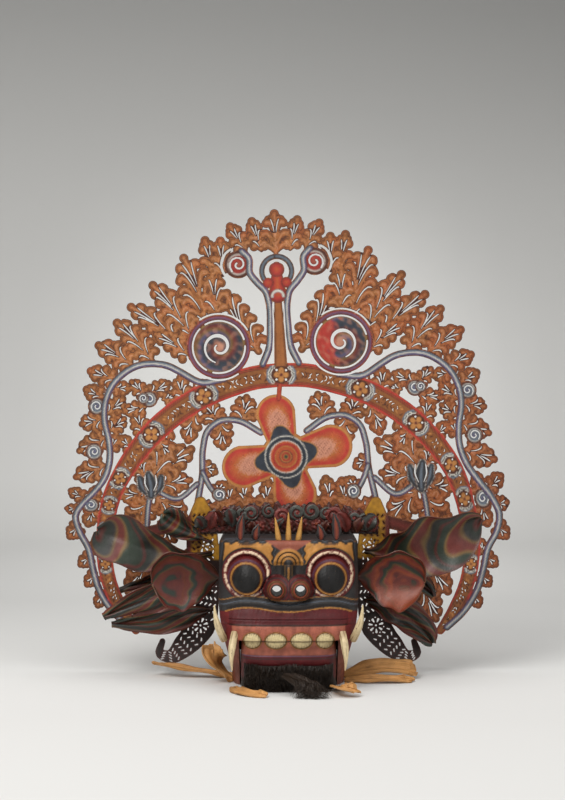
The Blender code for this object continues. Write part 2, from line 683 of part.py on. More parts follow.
def new_openwork(name, work, tolerance, thickness, shape, finish):
    """A pierced sheet as one solid: its flat outline filled, bent by shape(u, v) and given its thickness."""
    loops = [thinned(loop, tolerance) for loop in work.loops()]
    corners, leather = fill([loop for loop in loops if len(loop) > 3], work)
    front = shape(corners[:, 0], corners[:, 1], -thickness / 2)
    back = shape(corners[:, 0], corners[:, 1], thickness / 2)
    count = len(corners)
    faces = [tuple(t) for t in leather] + [tuple(t[::-1] + count) for t in leather]
    faces += [(b, a, a + count, b + count) for a, b in border(leather)]
    return new_object(name, np.vstack([front, back]), faces, finish)


def spiral(centre, start_radius, end_radius, start_angle, turns, steps):
    """Points of a spiral that winds in from start_radius to end_radius."""
    t = np.linspace(0, 1, steps)
    angle = start_angle + turns * 2 * math.pi * t
    radius = start_radius + (end_radius - start_radius) * t
    return np.stack([centre[0] + radius * np.cos(angle), centre[1] + radius * np.sin(angle)], -1)


def frond(work, base, tip, width, pairs, bend=0.0):
    """A lobed leaf along a rib from base to tip: pairs of rounded lobes that lean towards the tip, and one at it.
    bend bows the rib to its left by that share of its length."""
    base, tip = np.array(base, float), np.array(tip, float)
    length = float(np.hypot(*(tip - base)))
    ahead = (tip - base) / length
    left = np.array([-ahead[1], ahead[0]])
    round_end = 0.54 * length / (pairs + 1)

    def rib(t):
        return base + np.outer(t, tip - base - ahead * round_end) + np.outer(4 * bend * length * t * (1 - t), left)

    t = np.linspace(0, 1, 5)
    work.strap(rib(t), [0.05 * length] * 4 + [round_end])
    for number in range(pairs):
        station = (number + 0.7) / (pairs + 0.7)
        half = (width / 2 - round_end) * math.sin(math.pi * station**0.8) ** 0.5
        for side in (-1, 1):
            root, knee, end = rib(np.array([0.55, 0.75, 1.0]) * station)
            line = [root, knee + side * 0.55 * half * left, end + side * half * left]
            work.strap(line, [0.55 * round_end, 0.80 * round_end, round_end])


# The fan's band, in millimetres of a 740 mm fan: out from the middle, and up from the head's top.
BAND_LINE = [(0, 265), (44, 262), (84, 252), (146, 228), (205, 189), (249, 144), (287, 84), (302, 35), (309, -24),
             (302, -79), (282, -125), (255, -163)]
BAND_HALF = [20, 20, 20, 20, 20, 18, 16, 15, 14, 13, 12, 7]
OUTER_STEM = [(96, 262), (134, 258), (168, 277), (188, 288), (213, 293), (239, 291), (265, 278), (285, 258),
              (297, 231), (300, 203), (294, 168), (294, 134), (304, 104), (324, 77), (345, 53), (357, 30),
              (352, 3), (336, -27), (329, -59), (318, -96), (294, -133), (266, -158)]
INNER_STEM = [(38, 170), (76, 192), (104, 193), (126, 178), (136, 147), (139, 104), (146, 68), (154, 30)]
TWIN_STEM = [(30, 284), (18, 312), (15, 345), (15, 385), (20, 405), (33, 420), (45, 437), (46, 462), (57, 474)]
BIG_SPIRAL = (102, 316, 53)
SMALL_SPIRAL = (64, 452, 23)
FLOWER = (2, 128, 42)
FLOWER_TURN = math.radians(11)
PETALS = ((90, 73, 33), (0, 77, 36), (180, 73, 36), (270, 62, 37))
LILY = (226, 84, 24)
# Fronds outside the band and inside it: rib base, rib tip, width, pairs of lobes, bend.
OUTER_FRONDS = [
    ((0, 468), (0, 542), 54, 3, 0),
    ((24, 474), (40, 530), 34, 3, 0),
    ((50, 474), (78, 522), 36, 3, 0),
    ((110, 428), (118, 502), 40, 3, 0.05),
    ((122, 352), (156, 474), 74, 6, 0.05),
    ((36, 306), (88, 412), 60, 5, -0.06),
    ((92, 372), (98, 430), 40, 3, 0),
    ((146, 334), (212, 430), 50, 6, 0.04),
    ((160, 318), (252, 394), 46, 6, 0.04),
    ((150, 300), (212, 346), 40, 4, 0.06),
    ((214, 296), (276, 370), 48, 5, 0.05),
    ((248, 290), (310, 332), 46, 4, 0.05),
    ((276, 268), (326, 288), 38, 3, 0),
    ((228, 240), (254, 268), 30, 3, 0),
    ((222, 242), (184, 262), 32, 3, 0),
    ((228, 222), (270, 214), 30, 3, 0),
    ((200, 232), (172, 240), 24, 1, 0),
    ((300, 240), (334, 258), 34, 2, 0),
    ((302, 204), (344, 196), 38, 3, 0),
    ((298, 172), (350, 150), 40, 4, 0),
    ((300, 126), (358, 106), 44, 4, 0),
    ((292, 184), (262, 206), 34, 3, 0),
    ((292, 148), (280, 180), 28, 2, 0),
    ((340, 66), (367, 86), 30, 2, 0),
    ((350, 42), (376, 46), 26, 1, 0),
    ((350, 14), (372, -12), 32, 2, 0),
    ((324, 56), (320, 92), 28, 2, 0),
    ((326, 46), (338, 8), 30, 2, 0),
    ((331, -38), (320, -8), 22, 1, 0),
    ((330, -38), (354, -58), 28, 1, 0),
    ((322, -68), (342, -92), 28, 1, 0),
    ((310, -98), (322, -128), 26, 1, 0),
]
INNER_FRONDS = [
    ((68, 190), (58, 236), 48, 3, 0),
    ((112, 190), (124, 226), 44, 3, 0),
    ((104, 190), (102, 142), 40, 3, 0),
    ((222, 92), (150, 152), 56, 5, -0.08),
    ((224, 96), (196, 196), 54, 5, 0.06),
    ((232, 96), (250, 146), 40, 3, 0),
    ((214, 88), (154, 96), 44, 4, 0),
    ((234, 74), (282, 66), 42, 3, 0),
    ((228, 60), (272, 4), 54, 4, 0),
    ((218, 66), (166, 24), 52, 4, 0),
    ((236, 20), (294, -12), 46, 4, 0),
    ((232, -2), (284, -52), 48, 4, 0),
    ((230, -44), (272, -104), 48, 4, 0),
    ((220, -76), (250, -150), 50, 5, 0),
    ((216, 20), (186, -16), 40, 3, 0),
    ((216, -30), (192, -66), 36, 3, 0),
    ((116, 60), (78, 22), 42, 3, 0),
    ((130, 58), (146, 14), 36, 3, 0),
    ((62, 60), (40, 20), 40, 3, 0),
]
CURLS = [(222, 234, 13), (312, 226, 12), (320, 150, 12), (330, 52, 12), (232, 236, 10)]


def draw_spiral_disc(work, centre, radius, side, unit):
    """A round boss with a ring slot and a spiral slit, the ring held by bridges."""
    middle = np.array(centre) * unit
    work.strap(np.array([middle, middle + 1e-5]), radius * unit)
    for start in (0.1, 2.2, 4.3):
        arc = spiral(middle, 0.84 * radius * unit, 0.84 * radius * unit, start, side * 0.28, 10)
        work.strap(arc, 0.0023, cut=True)
    slit = spiral(middle, 0.60 * radius * unit, 0.12 * radius * unit, -1.2, side * 1.6, 18)
    work.strap(slit, 0.0021, cut=True)


def draw_fan(work, unit):
    """The fan's leather: band, stems, spirals, flower and leaf sprays, drawn on both halves."""
    for side in (-1, 1):
        turn = np.array([side, 1.0])
        for base, tip, width, pairs, bend in OUTER_FRONDS + INNER_FRONDS:
            frond(work, base * turn * unit, tip * turn * unit, width * unit, pairs, bend * side)
        for u, v, radius in CURLS:
            work.strap(np.array([(u, v), (u + 0.1, v)]) * turn * unit, radius * unit)
        work.strap(np.array(BAND_LINE) * turn * unit, np.array(BAND_HALF) * unit)
        work.strap(np.array(OUTER_STEM) * turn * unit, 6.0 * unit)
        work.strap(np.array(INNER_STEM) * turn * unit, 5.5 * unit)
        work.strap(np.array(TWIN_STEM) * turn * unit, 6.0 * unit)
        work.strap(np.array([(112, 68), (112.1, 68)]) * turn * unit, 13 * unit)
        work.strap(np.array([(138, 108), (128, 84), (116, 66)]) * turn * unit, 5 * unit)
        work.strap(np.array([(148, 88), (182, 62), LILY[:2]]) * turn * unit, 6 * unit)
        work.strap(np.array([LILY[:2], (233, 40), (236, 4), (225, -60), (216, -96)]) * turn * unit, 6 * unit)
        work.strap(np.array([LILY[:2], (LILY[0] + 0.1, LILY[1] + 14)]) * turn * unit, LILY[2] * unit)
        u, v, radius = BIG_SPIRAL
        draw_spiral_disc(work, (side * u, v), radius, side, unit)
        u, v, radius = SMALL_SPIRAL
        moat = spiral((u, v), radius + 5, radius + 5, math.radians(146), 0.78, 14)
        work.strap(moat * turn * unit, 2.6 * unit, cut=True)
        work.strap(np.array([(u, v), (u + 0.1, v)]) * turn * unit, radius * unit)
        ring = spiral(np.array([0, 438.0]) * unit, 25 * unit, 25 * unit, math.pi / 2, -side * 0.42, 12)
        work.strap(ring, 4.5 * unit)
    u, v, radius = FLOWER
    for degrees, away, petal in PETALS:
        angle = math.radians(degrees) + FLOWER_TURN
        end = (u + away * math.cos(angle), v + away * math.sin(angle))
        work.strap(np.array([end, (u, v)]) * unit, np.array([petal, 0.6 * petal]) * unit)
    work.strap(np.array([(u, v), (u + 0.1, v)]) * unit, radius * unit)
    work.strap(np.array([(0, 280), (0, 396)]) * unit, np.array([11, 6]) * unit)
    work.strap(np.array([(0, 396), (0, 440)]) * unit, np.array([15, 11]) * unit)
    work.strap(np.array([(-6, 225), (-3, 250)]) * unit, 4 * unit)


def build_fan(finish):
    """The tall openwork fan, with a plain foot on the head's top and a notch that the head passes through."""
    unit = FAN_UNIT
    notch = (HALF_HEAD + 0.006) / unit
    work = Openwork((-0.56 * FAN_WIDTH, -0.27 * FAN_WIDTH), (0.56 * FAN_WIDTH, 0.80 * FAN_WIDTH), FAN_CELL)
    draw_fan(work, unit)
    work.strap([(-0.105, 0.030), (0.105, 0.030)], 0.030)
    work.strap([(-0.150, 0.012), (-0.105, 0.020), (-0.02, 0.026)], 0.020)
    work.strap([(0.150, 0.012), (0.105, 0.020), (0.02, 0.026)], 0.020)
    for side in (-1, 1):
        work.strap([(side * 0.152, 0.012), (side * 0.160, -0.03), (side * 0.19, -0.05), (side * 0.23, -0.06)],
                   [0.018, 0.010, 0.008, 0.008])
        work.strap([(side * 0.146, 0.024), (side * 0.24, 0.0)], 0.010)
    work.box((-notch * unit, -0.40), (notch * unit, 0.0), cut=True)
    foot = HEAD_HEIGHT + GAP
    cos, sin = math.cos(FAN_LEAN), math.sin(FAN_LEAN)
    half = FAN_WIDTH / 2

    def shape(u, v, offset):
        """Leans the fan to its own right above the foot, and sweeps its edges back."""
        up = np.clip(v, 0, None)
        x = u - up * sin
        z = foot + v + (cos - 1) * up + u * sin * ease(v / 0.12)
        y = FAN_Y + FAN_SWEEP * (u / half) ** 2 * ease((np.abs(u) - 0.12) / 0.2) + offset
        return np.stack([x, y, z], -1)

    return new_openwork("fan", work, FAN_TOLERANCE, FAN_THICKNESS, shape, finish)


# A pendant's middle line, out and up from the ground, with its half widths.
PENDANT_LINE = [(0.146, 0.284), (0.144, 0.250), (0.141, 0.205), (0.131, 0.160), (0.134, 0.115), (0.146, 0.080),
                (0.172, 0.048), (0.197, 0.030), (0.213, 0.036), (0.209, 0.054)]
PENDANT_HALF = [0.010, 0.025, 0.026, 0.014, 0.018, 0.025, 0.019, 0.010, 0.007, 0.005]


def draw_pendant(work, side, inner):
    """One pierced pendant: a long strip that hooks outwards at its foot, with a rosette of holes and others above it."""
    turn = np.array([side, 1.0])
    work.strap(np.array(PENDANT_LINE) * turn, PENDANT_HALF)
    middle = np.array([0.146, 0.080]) * turn
    for number in range(5):
        angle = number * 2 * math.pi / 5
        hole = middle + 0.0105 * np.array([math.cos(angle), math.sin(angle)])
        work.strap(np.array([hole, hole + 1e-5]), 0.0032, cut=True)
    row = [(0.162, 0.055), (0.178, 0.043), (0.134, 0.114), (0.131, 0.136), (0.132, 0.164), (0.150, 0.194),
           (0.136, 0.206), (0.154, 0.226), (0.136, 0.240), (0.150, 0.256)]
    for hole in row:
        place = np.array(hole) * turn
        work.strap(np.array([place, place + np.array([0.0020, 0.0050]) * turn]), 0.0032, cut=True)
    edge = inner * side
    tab = sorted([edge, edge + side * 0.012])
    work.box((tab[0], 0.145), (tab[1], 0.215))
    clear = sorted([0.0, edge])
    work.box((clear[0], 0.0), (clear[1], HEAD_HEIGHT + GAP), cut=True)


def build_pendants(finish):
    """The two pendants, flat against the head's sides and bent forward towards the foot."""
    inner = HALF_HEAD + GAP

    def shape(u, v, offset):
        return np.stack([u, pendant_middle(v) + offset, v], -1)

    for side, name in ((-1, "left"), (1, "right")):
        work = Openwork((-0.25, 0.0), (0.25, 0.32), FLAP_CELL)
        draw_pendant(work, side, inner)
        new_openwork(f"pendant_{name}", work, FLAP_TOLERANCE, FLAP_THICKNESS, shape, finish)


def build_crown(finish):
    """The diadem on the head's top: a thick leather band of curls whose upper edge is scalloped."""
    count = 33
    share = np.linspace(-1, 1, count)
    x = share * CROWN_WIDTH / 2
    back = FLAP_Y - FLAP_THICKNESS / 2 - GAP
    low = np.full(count, HEAD_HEIGHT + GAP)
    curls = np.abs(np.sin(share * 6.5 * math.pi)) ** 0.6
    arch = 0.72 + 0.28 * np.cos(share * math.pi / 2) ** 0.5
    high = HEAD_HEIGHT + CROWN_HEIGHT * arch * (0.84 + 0.16 * curls) - 0.3 * CROWN_HEIGHT * np.abs(share) ** 6
    levels = np.array([0.0, 0.4, 0.85, 1.0])
    proud = np.array([0.55, 1.0, 0.90, 0.25])
    rings = []
    for level, part in zip(levels, proud):
        z = low + (high - low) * level
        relief = CROWN_THICKNESS * part * (0.72 + 0.28 * np.abs(np.sin(share * 6.5 * math.pi + 2.6 * level)))
        rings.append(np.stack([x, back - relief, z], -1))
    front = np.array(rings)
    rear = front.copy()
    rear[..., 1] = back
    sections = np.concatenate([front, rear[::-1]]).transpose(1, 0, 2)[:, ::-1]
    return new_object("crown", *loft(sections), finish)


def build_fur(fur, hair):
    """Dark hide over the chin, on the jaw's front, and the tress that hangs from it to the ground."""
    edge = 0.93 * HALF_JAW
    x = np.linspace(-edge, edge, 15)
    heights = np.array([0.003, 0.016, 0.034, 0.043])
    swell = np.array([0.55, 1.0, 0.80, 0.25])
    inner, outer = [], []
    for z, part in zip(heights, swell):
        corner = 0.6 * CORNER_DEPTH
        facing = (1 - np.clip(np.abs(x) / HALF_JAW, 0, 1) ** 3.4) ** (1 / 3.4)
        y = jaw_front(z) + corner - corner * facing - jaw_relief(x, z) * ease((facing - 0.35) / 0.5) - FUR_STANDOFF
        taper = 1 - 0.6 * (np.abs(x) / edge) ** 6
        inner.append(np.stack([x, y, np.full_like(x, z)], -1))
        outer.append(np.stack([x, y - FUR_THICKNESS * part * taper, np.full_like(x, z - 0.002 * part)], -1))
    section_points = np.concatenate([np.array(inner), np.array(outer)[::-1]]).transpose(1, 0, 2)
    new_object("chin_fur", *loft(section_points), fur)
    clear = jaw_front(0.034) - FUR_STANDOFF - FUR_THICKNESS - TRESS_RADIUS - GAP
    start = (0.002, clear, 0.030)
    end = (0.034, clear - 0.026, 0.0035)
    rings = horn(start, end, (0.012, -0.006, 0.0), TRESS_RADIUS, 0.0022, 8, 8)
    rings[..., 2] = np.clip(rings[..., 2], 0.0006, None)
    new_object("beard_tress", *loft(rings), hair)


# Leather scraps on the ground: root (out from the jaw's side, back, up), middle and tip, width, cup and twist.
SCRAPS = {
    "scrap_left_long": (-1, (0.016, -0.010, 0.0030), (0.075, -0.020, 0.010), (0.147, 0.004, 0.020), 0.026, 0.5, 0.5),
    "scrap_left_curl": (-1, (0.016, -0.046, 0.0030), (0.053, -0.058, 0.020), (0.045, -0.060, 0.058), 0.044, 0.8, 0.3),
    "scrap_left_front": (-1, (0.009, -0.118, 0.0026), (0.011, -0.160, 0.004), (-0.035, -0.188, 0.003), 0.026, 0.3, 0.0),
    "scrap_right_broad": (1, (0.016, -0.006, 0.0030), (0.075, -0.024, 0.026), (0.130, -0.020, 0.012), 0.044, 0.5, -0.2),
    "scrap_right_long": (1, (0.016, -0.052, 0.0030), (0.065, -0.070, 0.008), (0.121, -0.058, 0.004), 0.024, 0.4, 0.0),
    "scrap_right_front": (1, (0.007, -0.120, 0.0030), (-0.009, -0.186, 0.016), (0.025, -0.182, 0.010), 0.030, 0.8, 0.0),
}


def build_scraps(finish):
    """Bare strips of the leather skirt that lie round the foot of the head."""
    for name, (side, root, middle, tip, width, cup, twist) in SCRAPS.items():
        flip, jaw_side = np.array([side, 1.0, 1.0]), np.array([HALF_JAW, 0, 0])
        base, bend, end = ((np.array(place) + jaw_side) * flip for place in (root, middle, tip))
        sheet = leaf_sheet(base, bend, end, width, cup, (0, -0.4, 1), 0.35, 0.7,
                           side * twist, rows=6, columns=3)
        sheet[..., 2] = np.clip(sheet[..., 2], 0.6 * LEAF_THICKNESS, None)
        new_leaf(name, sheet, finish)


def main():
    for old in list(bpy.data.objects):
        bpy.data.objects.remove(old)
    carved = material("carved_wood", (0.16, 0.035, 0.03), 0.45)
    horn_finish = material("tusk", (0.72, 0.58, 0.36), 0.4)
    gilt = material("gilt", (0.55, 0.33, 0.10), 0.4)
    fan_leather = material("fan_leather", (0.33, 0.15, 0.05), 0.5)
    ear_leather = material("ear_leather", (0.12, 0.04, 0.02), 0.5)
    leaf_leather = material("leaf_leather", (0.06, 0.06, 0.03), 0.5)
    pendant_leather = material("pendant_leather", (0.30, 0.19, 0.03), 0.5)
    crown_leather = material("crown_leather", (0.05, 0.05, 0.045), 0.6)
    bare = material("bare_leather", (0.45, 0.25, 0.09), 0.5)
    fur = material("fur", (0.008, 0.008, 0.008), 0.7)
    hair = material("hair", (0.012, 0.010, 0.009), 0.5)
    build_head(carved)
    build_jaw(carved)
    build_tusks(horn_finish)
    build_brow_ornaments(gilt, crown_leather)
    build_crown(crown_leather)
    build_fan(fan_leather)
    build_pendants(pendant_leather)
    build_ears(ear_leather)
    build_side_leaves(leaf_leather)
    build_fur(fur, hair)
    build_scraps(bare)


main()
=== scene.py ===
"""The looks of a barong mask: a carved and painted wooden head with a hinged jaw, horn tusks, painted
leather ears and leaves, pierced pendants, and a tall openwork leather fan. Metres, +Z up, and the face
looks along -Y."""

import json
import math
from types import SimpleNamespace

import bpy
import numpy as np
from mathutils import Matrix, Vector
from mathutils.geometry import delaunay_2d_cdt


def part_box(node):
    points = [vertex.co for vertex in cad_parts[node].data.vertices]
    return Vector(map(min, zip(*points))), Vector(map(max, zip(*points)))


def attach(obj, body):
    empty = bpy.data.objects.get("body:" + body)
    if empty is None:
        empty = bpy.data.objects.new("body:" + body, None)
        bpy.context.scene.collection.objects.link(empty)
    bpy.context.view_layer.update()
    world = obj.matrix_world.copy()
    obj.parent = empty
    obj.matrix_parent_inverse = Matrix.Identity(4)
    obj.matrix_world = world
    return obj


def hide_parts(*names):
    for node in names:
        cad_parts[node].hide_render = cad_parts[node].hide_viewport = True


bl_info = {
    "name": "Barong Mask",
    "version": (1, 0, 0),
    "blender": (4, 5, 0),
    "location": "View3D > Sidebar > Barong Mask",
    "description": "Builds a painted barong mask with its openwork leather fan",
    "category": "Add Mesh",
}

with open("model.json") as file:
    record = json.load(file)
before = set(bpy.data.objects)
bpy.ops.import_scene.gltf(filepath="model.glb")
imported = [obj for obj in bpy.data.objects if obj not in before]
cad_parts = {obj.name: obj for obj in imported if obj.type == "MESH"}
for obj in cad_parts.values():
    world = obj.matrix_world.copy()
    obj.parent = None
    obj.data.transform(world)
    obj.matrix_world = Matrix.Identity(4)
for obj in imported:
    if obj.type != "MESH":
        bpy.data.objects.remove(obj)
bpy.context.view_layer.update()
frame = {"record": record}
HEAD_LOW, HEAD_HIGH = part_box("head")
BODY_OF = {node: body for body, nodes in frame["record"]["behaviour"]["bodies"].items() for node in nodes}

# Head and face, as the solid has them
HEAD_WIDTH = HEAD_HIGH.x - HEAD_LOW.x
HEAD_HEIGHT = HEAD_HIGH.z
BACK_Y = HEAD_HIGH.y
HEAD_DEPTH = 0.205
BROW_Y = BACK_Y - HEAD_DEPTH
FOOT_WIDTH = 0.180
MUZZLE_REACH = 0.046
CORNER_DEPTH = 0.062
TOP_ROUND = 0.008
WALL = 0.011
FACE_WALL = 0.026
MOUTH_HEIGHT = 0.081
EYE_SPACING = 0.133
EYE_HEIGHT = 0.178
EYE_RADIUS = 0.030
EYE_BULGE = 0.024
PUPIL_HEIGHT = 0.1745
PUPIL_RADIUS = 0.0212
NOSE_WIDTH = 0.078
NOSE_HEIGHT = 0.158
NOSE_REACH = 0.022
NOSTRIL_RADIUS = 0.0075
BRIDGE_WIDTH = 0.027
LIP_HEIGHT = 0.134
SCROLL_HEIGHT = 0.1965
BROW_TOP = 0.2278
BROW_INNER = 0.0262
BROW_OUTER = 0.1040
BROW_SCALLOP = 0.0015
TOOTH_WIDTH = 0.033
TOOTH_HEIGHT = 0.012

# Jaw and hinge
JAW_WIDTH = 0.150
JAW_SIDE_GAP = 0.0025
JAW_TOP_GAP = 0.0006
JAW_WALL = 0.014
JAW_FLOOR = 0.012
HINGE_Y = 0.050
HINGE_HEIGHT = 0.045
HINGE_RADIUS = 0.009
HINGE_CLEARANCE = 0.0006

# Leather, horn and hair
GAP = 0.0003
FAN_WIDTH = 0.740
FAN_THICKNESS = 0.003
FAN_SWEEP = 0.026
FAN_LEAN = math.radians(2.5)
FLAP_THICKNESS = 0.003
FLAP_Y = 0.030
FLAP_BEND = 0.028
LEAF_THICKNESS = 0.0026
CROWN_WIDTH = 0.300
CROWN_HEIGHT = 0.056
CROWN_THICKNESS = 0.009
TUSK_LENGTH = 0.058
TUSK_RADIUS = 0.0062
SPIKE_LENGTH = 0.044
SPIKE_RADIUS = 0.0052
FUR_THICKNESS = 0.009
FUR_STANDOFF = 0.0026
TRESS_RADIUS = 0.010

HALF_HEAD = HEAD_WIDTH / 2
HALF_FOOT = FOOT_WIDTH / 2
HALF_JAW = JAW_WIDTH / 2
HALF_SLOT = HALF_JAW + JAW_SIDE_GAP
MUZZLE_Y = BROW_Y - MUZZLE_REACH
WING_X = 0.24 * NOSE_WIDTH
SLOT_BACK_Y = BROW_Y + 0.3 * HEAD_DEPTH
FAN_Y = FLAP_Y + (FLAP_THICKNESS + FAN_THICKNESS) / 2 + GAP
MM = 0.001
FAR = 1.0
SIDES = ((-1, "left"), (1, "right"))

# The camera stands level with the middle of the picture
CAMERA_HEIGHT = 0.455
CAMERA_Y = -2.6
CAMERA_X = -0.0095
CAMERA_LENS = 70.97


def linear(red, green, blue):
    """A colour given as the eye reads it, 0 to 255, as linear light."""
    value = np.array([red, green, blue]) / 255
    return tuple(np.where(value < 0.04045, value / 12.92, ((value + 0.055) / 1.055) ** 2.4).tolist())


def tint(name, description, red, green, blue):
    """A colour property."""
    return bpy.props.FloatVectorProperty(
        name=name, description=description, subtype="COLOR", size=3, min=0, max=1,
        default=linear(red, green, blue)
    )


class MaskColours(bpy.types.PropertyGroup):
    """The paints of the face, the fan and the other leather."""

    slate: tint("Slate", "Outlines, pupils and moustache of the face", 50, 48, 48)
    maroon: tint("Maroon", "Eye sockets and cheeks", 98, 31, 32)
    lip: tint("Lip", "Upper and lower lip", 84, 23, 26)
    gum: tint("Gum", "Gums over and under the teeth", 158, 90, 72)
    gold: tint("Gold", "Brows and fine lines of the face", 180, 126, 62)
    cream: tint("Cream", "Teeth", 216, 198, 150)
    pale: tint("Pale", "Broken ring round each eye", 240, 212, 182)
    orange: tint("Orange", "Nostril rings and flower petals", 188, 88, 48)
    ochre: tint("Ochre", "Body of the fan's leaves", 156, 96, 50)
    ochre_dark: tint("Dark ochre", "Edges of the fan's leaves", 72, 35, 23)
    ochre_light: tint("Light ochre", "Middle of the fan's leaves", 180, 122, 66)
    red: tint("Red", "Borders of the fan's band", 180, 56, 46)
    blue: tint("Blue grey", "Stems of the fan", 106, 118, 132)
    violet: tint("Violet", "Shaded side of the stems", 94, 88, 122)
    chalk: tint("Chalk", "Thin light lines", 214, 210, 200)
    navy: tint("Navy", "Flower's middle and the spirals", 48, 54, 64)
    pink: tint("Pink", "Petals' inner parts", 208, 148, 122)
    green: tint("Green", "Stripes of ears and leaves", 42, 52, 42)
    leaf_red: tint("Leaf red", "Stripes of ears and leaves", 98, 40, 34)
    leaf_gold: tint("Leaf gold", "Thin stripes of ears and leaves", 150, 116, 66)
    pendant_gold: tint("Pendant gold", "Upper part of the pendants", 178, 128, 30)
    # Near black for the pendants' lower part and the crown's foot, where it is partly painted shade; also
    # the leaves' dark edges and the ground under chipped paint.
    pendant_dark: tint("Pendant brown", "Lower part of the pendants", 36, 18, 13)
    hide: tint("Bare hide", "Backs of the leather", 146, 104, 64)
    strip: tint("Strip leather", "Bare strips round the foot", 204, 150, 90)
    wood: tint("Bare wood", "Hollowed inside of head and jaw", 108, 76, 50)
    horn: tint("Horn", "Tusks", 222, 202, 160)
    gilt: tint("Gilt", "Spikes over the nose", 206, 154, 82)
    hair: tint("Hair", "Chin fur and tress", 38, 29, 22)


class MaskSizes(bpy.types.PropertyGroup):
    """How finely the pieces are worked."""

    face_step: bpy.props.FloatProperty(
        name="Face step", description="Spacing of the points over the carved face",
        default=0.0014, min=0.0008, max=0.005, unit="LENGTH",
    )
    fan_cell: bpy.props.FloatProperty(
        name="Fan cell", description="Grid cell in which the fan's openwork is drawn",
        default=0.0009, min=0.0005, max=0.003, unit="LENGTH",
    )
    fan_fine: bpy.props.FloatProperty(
        name="Fan fine spacing",
        description="Spacing of points in the fan's painted bands, flower and spirals",
        default=0.0021, min=0.001, max=0.01, unit="LENGTH",
    )
    fan_coarse: bpy.props.FloatProperty(
        name="Fan coarse spacing", description="Spacing of points in the fan's leaves",
        default=0.0031, min=0.001, max=0.02, unit="LENGTH",
    )
    slit: bpy.props.FloatProperty(
        name="Slit half width", description="Half width of the slits between the leaves' lobes",
        default=0.00095, min=0.0003, max=0.003, unit="LENGTH",
    )
    fur_strands: bpy.props.IntProperty(
        name="Fur strands", description="Number of hairs on the chin", default=2200, min=10, max=5000
    )
    tress_strands: bpy.props.IntProperty(
        name="Tress strands", description="Number of hairs in the tress", default=420, min=10, max=2000
    )


def colours():
    """The chosen paints as arrays, each by its name."""
    chosen = bpy.context.scene.barong_colours
    return SimpleNamespace(**{name: np.array(getattr(chosen, name)) for name in MaskColours.__annotations__})


def ease(t):
    """Zero up to 0, one from 1, with a smooth rise between."""
    t = np.clip(t, 0, 1)
    return t * t * (3 - 2 * t)


def bump(distance, reach):
    """One at no distance, falling smoothly to zero at reach."""
    return ease(1 - np.abs(distance) / reach)


def within(distance, soft=0.0005):
    """One where distance is below zero and zero above, with an edge of that softness."""
    return np.clip(0.5 - distance / (2 * soft), 0, 1)


def lay(ground, mask, colour):
    """The ground colours with a colour laid over them where the mask is one."""
    return ground + (colour - ground) * mask[..., None]


def layered(ground, *coats):
    """The ground colours with (mask, colour) coats laid over them in turn."""
    for mask, colour in coats:
        ground = lay(ground, mask, colour)
    return ground


def ramp(values, stops):
    """Colours read from (value, colour) stops, blended in between."""
    at = [stop[0] for stop in stops]
    shades = np.array([stop[1] for stop in stops])
    return np.stack([np.interp(values, at, shades[:, channel]) for channel in range(3)], -1)


def both_ways(stops):
    """Stops across a whole strip, from stops that run from its middle to its edge."""
    return [(-at, shade) for at, shade in stops[::-1]] + stops[1:]


def angles_round(count):
    """Evenly spaced angles round a circle."""
    return np.arange(count) * 2 * math.pi / count


def left_of(direction):
    """The direction to the left of another, on a flat sheet."""
    return np.array([-direction[1], direction[0]])


def mottle(points, size, seed, waves=9):
    """Smooth noise about zero: a sum of waves of that size whose directions and phases come from the
    seed."""
    chance = np.random.default_rng(seed)
    heading = chance.normal(size=(waves, points.shape[-1]))
    heading /= np.linalg.norm(heading, axis=1)[:, None]
    pace = 2 * math.pi / size * chance.uniform(0.6, 1.7, waves)
    return np.cos(points @ (heading * pace[:, None]).T
                  + chance.uniform(0, 2 * math.pi, waves)).sum(-1) / waves**0.5


def curve_through(stations, values, at):
    """A smooth curve through (station, value) pairs, stations rising: a cubic with the slopes of its
    neighbours."""
    stations, values = np.array(stations, float), np.array(values, float)
    slopes = np.gradient(values, stations)
    at = np.clip(at, stations[0], stations[-1])
    i = np.clip(np.searchsorted(stations, at, side="right") - 1, 0, len(stations) - 2)
    span = stations[i + 1] - stations[i]
    t = (at - stations[i]) / span
    return (
        values[i] * (1 + 2 * t) * (1 - t) ** 2
        + slopes[i] * span * t * (1 - t) ** 2
        + values[i + 1] * t * t * (3 - 2 * t)
        + slopes[i + 1] * span * t * t * (t - 1)
    )


def smooth_line(points, widths, count):
    """A line of points and the widths along it, read at evenly spaced stations of a smooth curve through
    them."""
    points = np.array(points, float)
    widths = np.broadcast_to(np.array(widths, float), (len(points),))
    stations = np.concatenate([[0], np.cumsum(np.hypot(*np.diff(points, axis=0).T))])
    at = np.linspace(0, stations[-1], count)
    line = np.stack([curve_through(stations, points[:, axis], at) for axis in (0, 1)], -1)
    return line, np.interp(at, stations, widths), at


def placed(name, data):
    """A new object in the scene."""
    made = bpy.data.objects.new(name, data)
    bpy.context.scene.collection.objects.link(made)
    return made


def plain_object(name, points, faces):
    """A new mesh object without paint or material."""
    mesh = bpy.data.meshes.new(name)
    mesh.from_pydata(np.asarray(points, float).tolist(), [], [tuple(face) for face in faces])
    return placed(name, mesh)


def new_piece(name, points, faces, paint, finish, nodes, sharp=38):
    """A finished piece: points, faces, one colour for each point, its material, and the nodes that it
    stands for."""
    made = plain_object(name, points, faces)
    finish_piece(made, paint, finish, nodes, sharp)
    return made


def finish_piece(made, paint, finish, nodes, sharp):
    """Paints a piece, gives it its material and smooth shading with sharp edges, and settles it."""
    put_paint(made.data, paint)
    made.data.materials.clear()
    made.data.materials.append(finish)
    made.data.shade_smooth()
    made.data.set_sharp_from_angle(angle=math.radians(sharp))
    settle(made, nodes)


